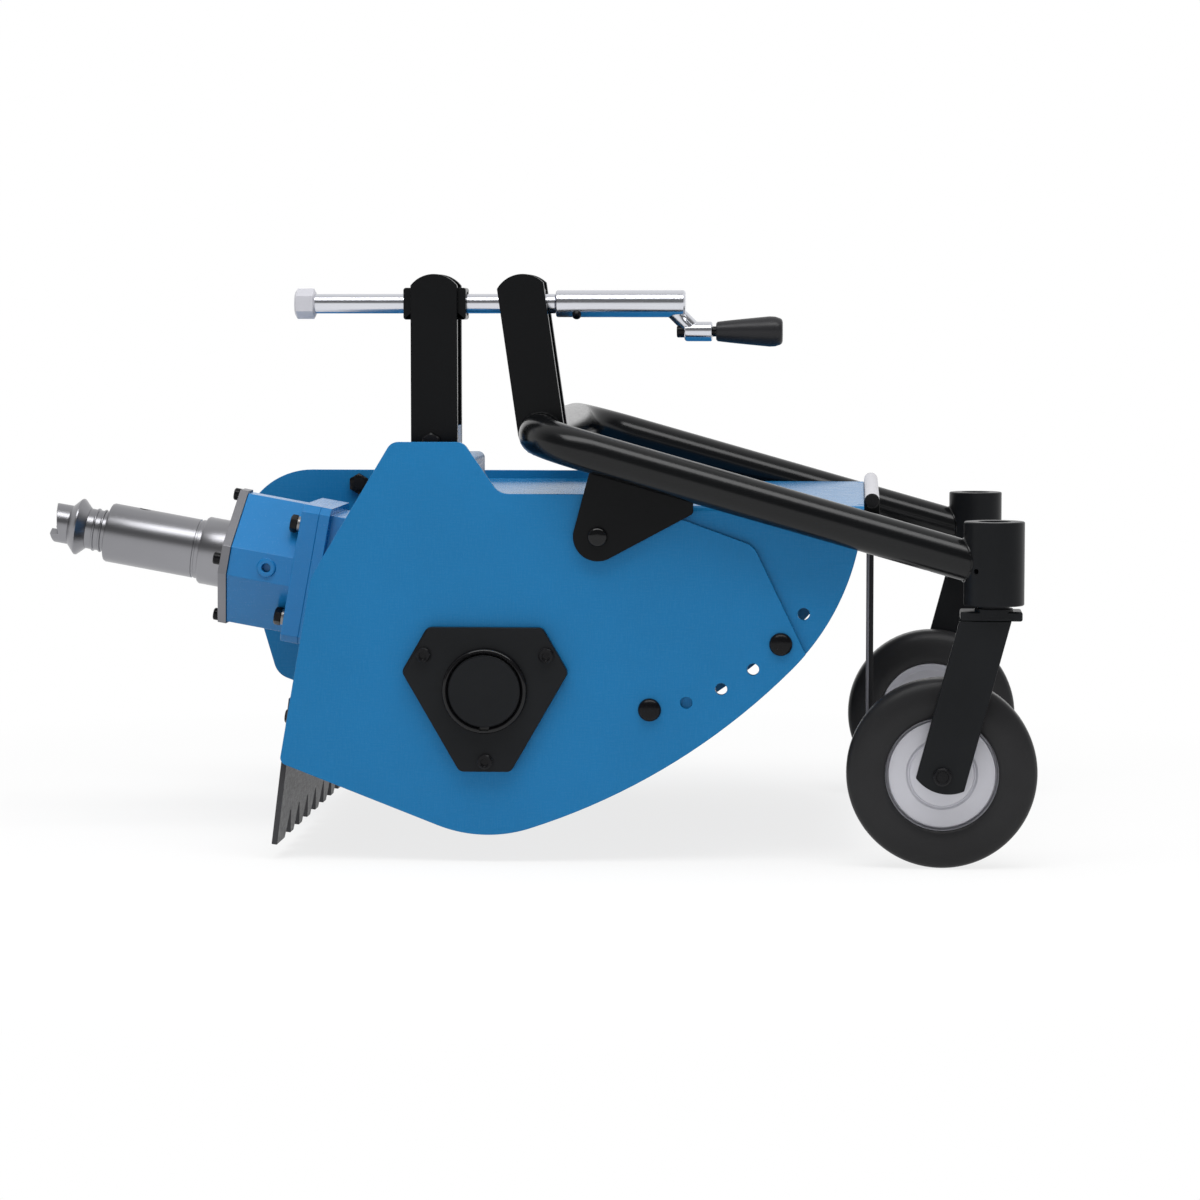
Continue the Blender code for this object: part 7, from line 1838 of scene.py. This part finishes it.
def make_wheel(hand, side):
    way = side * Y_AXIS
    wheel = at(WHEEL_CENTRE)
    half = 0.5 * WHEEL_WIDE
    inner, outer = HUB_INNER_Y, LEG_OUTER_Y - LEG_THICK - GAP
    bore = clear(AXLE_RADIUS + RUN, WHEEL_SIDES)
    rim_in, rim_out = WHEEL_Y - half + RIM_IN, WHEEL_Y + half - RIM_IN
    dish_in, dish_out = WHEEL_Y - DISH_IN, WHEEL_Y + half - DISH_OUT
    flange = TYRE_INNER - GAP
    disc = solid(turn, [
        (inner, bore), (inner, HUB_RADIUS - CHAMFER), (inner + CHAMFER, HUB_RADIUS),
        (dish_in - HUB_CONE, HUB_RADIUS + HUB_CONE), (dish_in, HUB_DISC_RADIUS),
        *shifted(dish_in, DISC_RADIUS, DISH_EDGE),
        *shifted(rim_in, flange, RIM_INNER_LIP), *shifted(rim_out, flange, RIM_OUTER_LIP),
        (dish_out - WELL_DEEP, flange - WELL_SLOPE), *shifted(dish_out, DISC_RADIUS, DISC_EDGE),
        *shifted(dish_out, HUB_DISC_RADIUS, DISC_STEP), *shifted(dish_out, HUB_RADIUS, HUB_FILLET),
        (outer, HUB_RADIUS), (outer, bore)],
        wheel, way, WHEEL_SIDES, closed=True)
    add_piece(f"wheel_disc_{hand}", disc, "zinc_disc", f"wheel_{hand}", f"wheel_rim_{hand}", 0,
              RIM_SHARP)
    low, high = WHEEL_Y - half, WHEEL_Y + half
    shares = [-1 + 2 * k / TREAD_STEPS for k in range(TREAD_STEPS + 1)]
    tread = [(WHEEL_Y + half * share, WHEEL_RADIUS - TREAD_DROP * abs(share) ** TREAD_CURVE)
             for share in shares]
    profile = [*shifted(low, TYRE_INNER, TYRE_INNER_LIP), *tread,
               *shifted(high, TYRE_LIP, TYRE_OUTER_LIP), (high - LIP_WIDE, TYRE_INNER)]
    tyre = solid(turn, profile, wheel, way, WHEEL_SIDES, closed=True)
    add_piece(f"solid_tyre_{hand}", tyre, "tyre_rubber", f"wheel_{hand}", f"tyre_{hand}", 0,
              TYRE_SHARP)


# Front flap
def make_flap():
    hinge = at(HINGE)
    hanger = ("flap", "flap_hanger")
    barrel = solid(washer, HINGE_BORE, HINGE_RADIUS, -HINGE_HALF, HINGE_HALF, hinge, Y_AXIS, ROD)
    add_piece("hinge_barrel", barrel, "zinc_disc", "mower_body", "hinge_tube", HINGE_EDGE)
    inner = HINGE_HALF + GAP
    outer = inner + HANGER_ARM
    end = outer + HANGER_END
    cap = HANGER_ROD + HANGER_CAP
    pin = solid(turn, [
        (-end, cap - CHAMFER), (-end + CHAMFER, cap), (-outer - FUSE, cap), (-outer - FUSE, HANGER_ROD),
        (outer + FUSE, HANGER_ROD), (outer + FUSE, cap), (end - CHAMFER, cap), (end, cap - CHAMFER)],
        hinge, Y_AXIS, ROD)
    add_piece("hinge_pin", pin, "blackened_bolt", *hanger)
    arms = bmesh.new()
    for side in (LEFT, RIGHT):
        prism(arms, hanger_outline(), *sorted((side * inner, side * outer)), hinge)
    add_piece("flap_arms", arms, "black_paint", *hanger, FINE_EDGE)
    back = HINGE[0] + FLAP_THICK - HANGER_BAR_LAP
    bar = solid(block, (back, back + HANGER_ARM), (-inner - FUSE, inner + FUSE),
                (HINGE[1] - HANGER_BAR_Z[1], HINGE[1] - HANGER_BAR_Z[0]))
    add_piece("flap_bar", bar, "black_paint", *hanger, FINE_EDGE)
    front = back - GAP
    split = front - FLAP_SHARE * FLAP_THICK
    across = (-FLAP_HALF, FLAP_HALF)
    add_piece("flap_sheet", solid(block, (split, front), across, (FLAP_BOTTOM, FLAP_TOP)),
              "flap_rubber", "flap", "front_flap", EDGE)
    backing = solid(block, (front - FLAP_THICK, split - GAP), across,
                    (FLAP_BOTTOM + 2 * CHAMFER, FLAP_TOP - CHAMFER))
    add_piece("flap_backing", backing, "flap_fabric", "flap", "front_flap", EDGE)


def dress_packed_nodes():
    """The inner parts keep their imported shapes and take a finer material."""
    for finish, nodes in PACKED_FINISHES.items():
        for node in nodes:
            for material_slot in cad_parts[node].material_slots:
                material_slot.material = MATERIALS[finish]


# Studio
def make_floor():
    bm = bmesh.new()
    bm.faces.new([bm.verts.new((a * FLOOR_REACH, b * FLOOR_REACH, FLOOR_Z))
                  for a, b in ((-1, -1), (1, -1), (1, 1), (-1, 1))])
    floor = to_object("studio_floor", bm)
    material = bpy.data.materials.new("studio_paper")
    material.use_nodes = True
    tree = material.node_tree
    shader = tree.nodes["Principled BSDF"]
    shader.inputs["Base Color"].default_value = (PAPER, PAPER, PAPER, 1)
    shader.inputs["Roughness"].default_value = 1.0
    shader.inputs["Specular IOR Level"].default_value = 0.0
    place = tree.nodes.new("ShaderNodeTexCoord").outputs["Object"]
    reach = add_node(tree, "ShaderNodeVectorMath", "Value", {0: place}, operation="LENGTH")
    glow = add_range(tree, reach, *PAPER_FADE, PAPER_GLOW, 1.0)
    share = add_node(tree, "ShaderNodeMath", "Value", {0: add_seen_rays(tree), 1: glow},
                     operation="MULTIPLY")
    light = add_node(tree, "ShaderNodeEmission", "Emission", {})
    surface = add_node(tree, "ShaderNodeMixShader", "Shader",
                       {"Fac": share, 1: shader.outputs["BSDF"], 2: light})
    tree.links.new(surface, tree.nodes["Material Output"].inputs["Surface"])
    floor.data.materials.append(material)


def add_seen_rays(tree):
    """1 for rays from the camera, by reflection or through glass, else 0."""
    rays = tree.nodes.new("ShaderNodeLightPath")
    total = rays.outputs["Is Camera Ray"]
    for label in ("Is Glossy Ray", "Is Transmission Ray"):
        total = add_node(tree, "ShaderNodeMath", "Value", {0: total, 1: rays.outputs[label]},
                         operation="MAXIMUM")
    return total


def add_mix(tree, factor, first, second):
    return add_node(tree, "ShaderNodeMix", "Result", {"Factor": factor, "A": first, "B": second})


def make_world():
    """Seen by the camera or in metal, the studio is white at its horizon. Higher up its back
    wall stays pale, and its front has a dark gap below the long softbox."""
    world = bpy.data.worlds.new("studio")
    world.use_nodes = True
    tree = world.node_tree
    background = tree.nodes["Background"]
    background.inputs["Color"].default_value = (1, 1, 1, 1)
    split = tree.nodes.new("ShaderNodeSeparateXYZ")
    tree.links.new(tree.nodes.new("ShaderNodeTexCoord").outputs["Generated"], split.inputs["Vector"])
    ramp = tree.nodes.new("ShaderNodeValToRGB")
    tree.links.new(split.outputs["Z"], ramp.inputs["Fac"])
    stops = ramp.color_ramp.elements
    low, high = STUDIO_FRONT[0][0], STUDIO_FRONT[-1][0]
    stops[0].position, stops[1].position = low, high
    for height, _ in STUDIO_FRONT[1:-1]:
        stops.new(height)
    for stop, (_, light) in zip(stops, STUDIO_FRONT):
        stop.color = (light, light, light, 1)
    front = add_range(tree, split.outputs["Y"], -STUDIO_TURN, STUDIO_TURN, 1.0, 0.0)
    back = add_range(tree, split.outputs["Z"], low, high, 1.0, STUDIO_BACK)
    wall = add_mix(tree, front, back, ramp.outputs["Color"])
    strength = add_mix(tree, add_seen_rays(tree), WORLD_LIGHT, wall)
    tree.links.new(strength, background.inputs["Strength"])
    bpy.context.scene.world = world


def turn_to(thing, spot, way):
    """Puts a lamp or camera in the scene, its front along a way."""
    thing.location = spot
    thing.rotation_euler = way.to_track_quat("-Z", "Y").to_euler()
    bpy.context.collection.objects.link(thing)


def make_studio():
    make_floor()
    make_world()
    for name, spot, target, size, watts, seen_in_gloss in LAMPS:
        data = bpy.data.lights.new(name, "AREA")
        data.shape = "RECTANGLE"
        data.size, data.size_y = size
        data.energy = watts
        lamp = bpy.data.objects.new(name, data)
        lamp.visible_glossy = seen_in_gloss
        turn_to(lamp, spot, Vector(target) - Vector(spot))
    camera = bpy.data.cameras.new("photo_camera")
    camera.sensor_width = SENSOR
    camera.lens = SENSOR * VIEW_FOCUS / VIEW_WIDE
    viewer = bpy.data.objects.new("photo_camera", camera)
    turn_to(viewer, VIEW_FROM, Vector(VIEW_WAY))
    bpy.context.scene.camera = viewer
    bpy.context.scene.view_settings.view_transform = "Standard"


def dress():
    make_materials()
    make_side_plate("left", LEFT, near_plate_outline())
    make_side_plate("right", RIGHT, far_plate_outline())
    make_deck()
    make_comb()
    make_hood()
    make_gearbox()
    make_adapter()
    make_front_flange()
    make_sleeve()
    make_input()
    make_belt_drive()
    make_bearings()
    make_rotor()
    make_hammers()
    make_frame_tube()
    make_gussets()
    make_uprights()
    make_pedestal()
    make_arm()
    make_trunnion("nut_block", "nut_trunnion", NUT_PIVOT_X, BLOCK_HALF_LONG, SCREW_RADIUS + NUT_PLAY)
    make_trunnion("arm_block", "arm_trunnion", ARM_PIVOT_X, ARM_BLOCK_HALF_LONG, SCREW_RADIUS + RUN)
    make_screw()
    make_crank()
    for hand, side in (("left", LEFT), ("right", RIGHT)):
        make_fork(hand, side)
        make_wheel(hand, side)
    make_flap()
    settle()
    dress_packed_nodes()
    make_studio()


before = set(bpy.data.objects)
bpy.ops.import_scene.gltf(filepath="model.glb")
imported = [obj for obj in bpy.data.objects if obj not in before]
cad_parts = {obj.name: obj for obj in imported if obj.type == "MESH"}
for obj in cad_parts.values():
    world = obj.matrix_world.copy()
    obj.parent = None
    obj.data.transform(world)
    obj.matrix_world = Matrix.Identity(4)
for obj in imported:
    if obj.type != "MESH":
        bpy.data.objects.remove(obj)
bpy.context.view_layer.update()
dress()
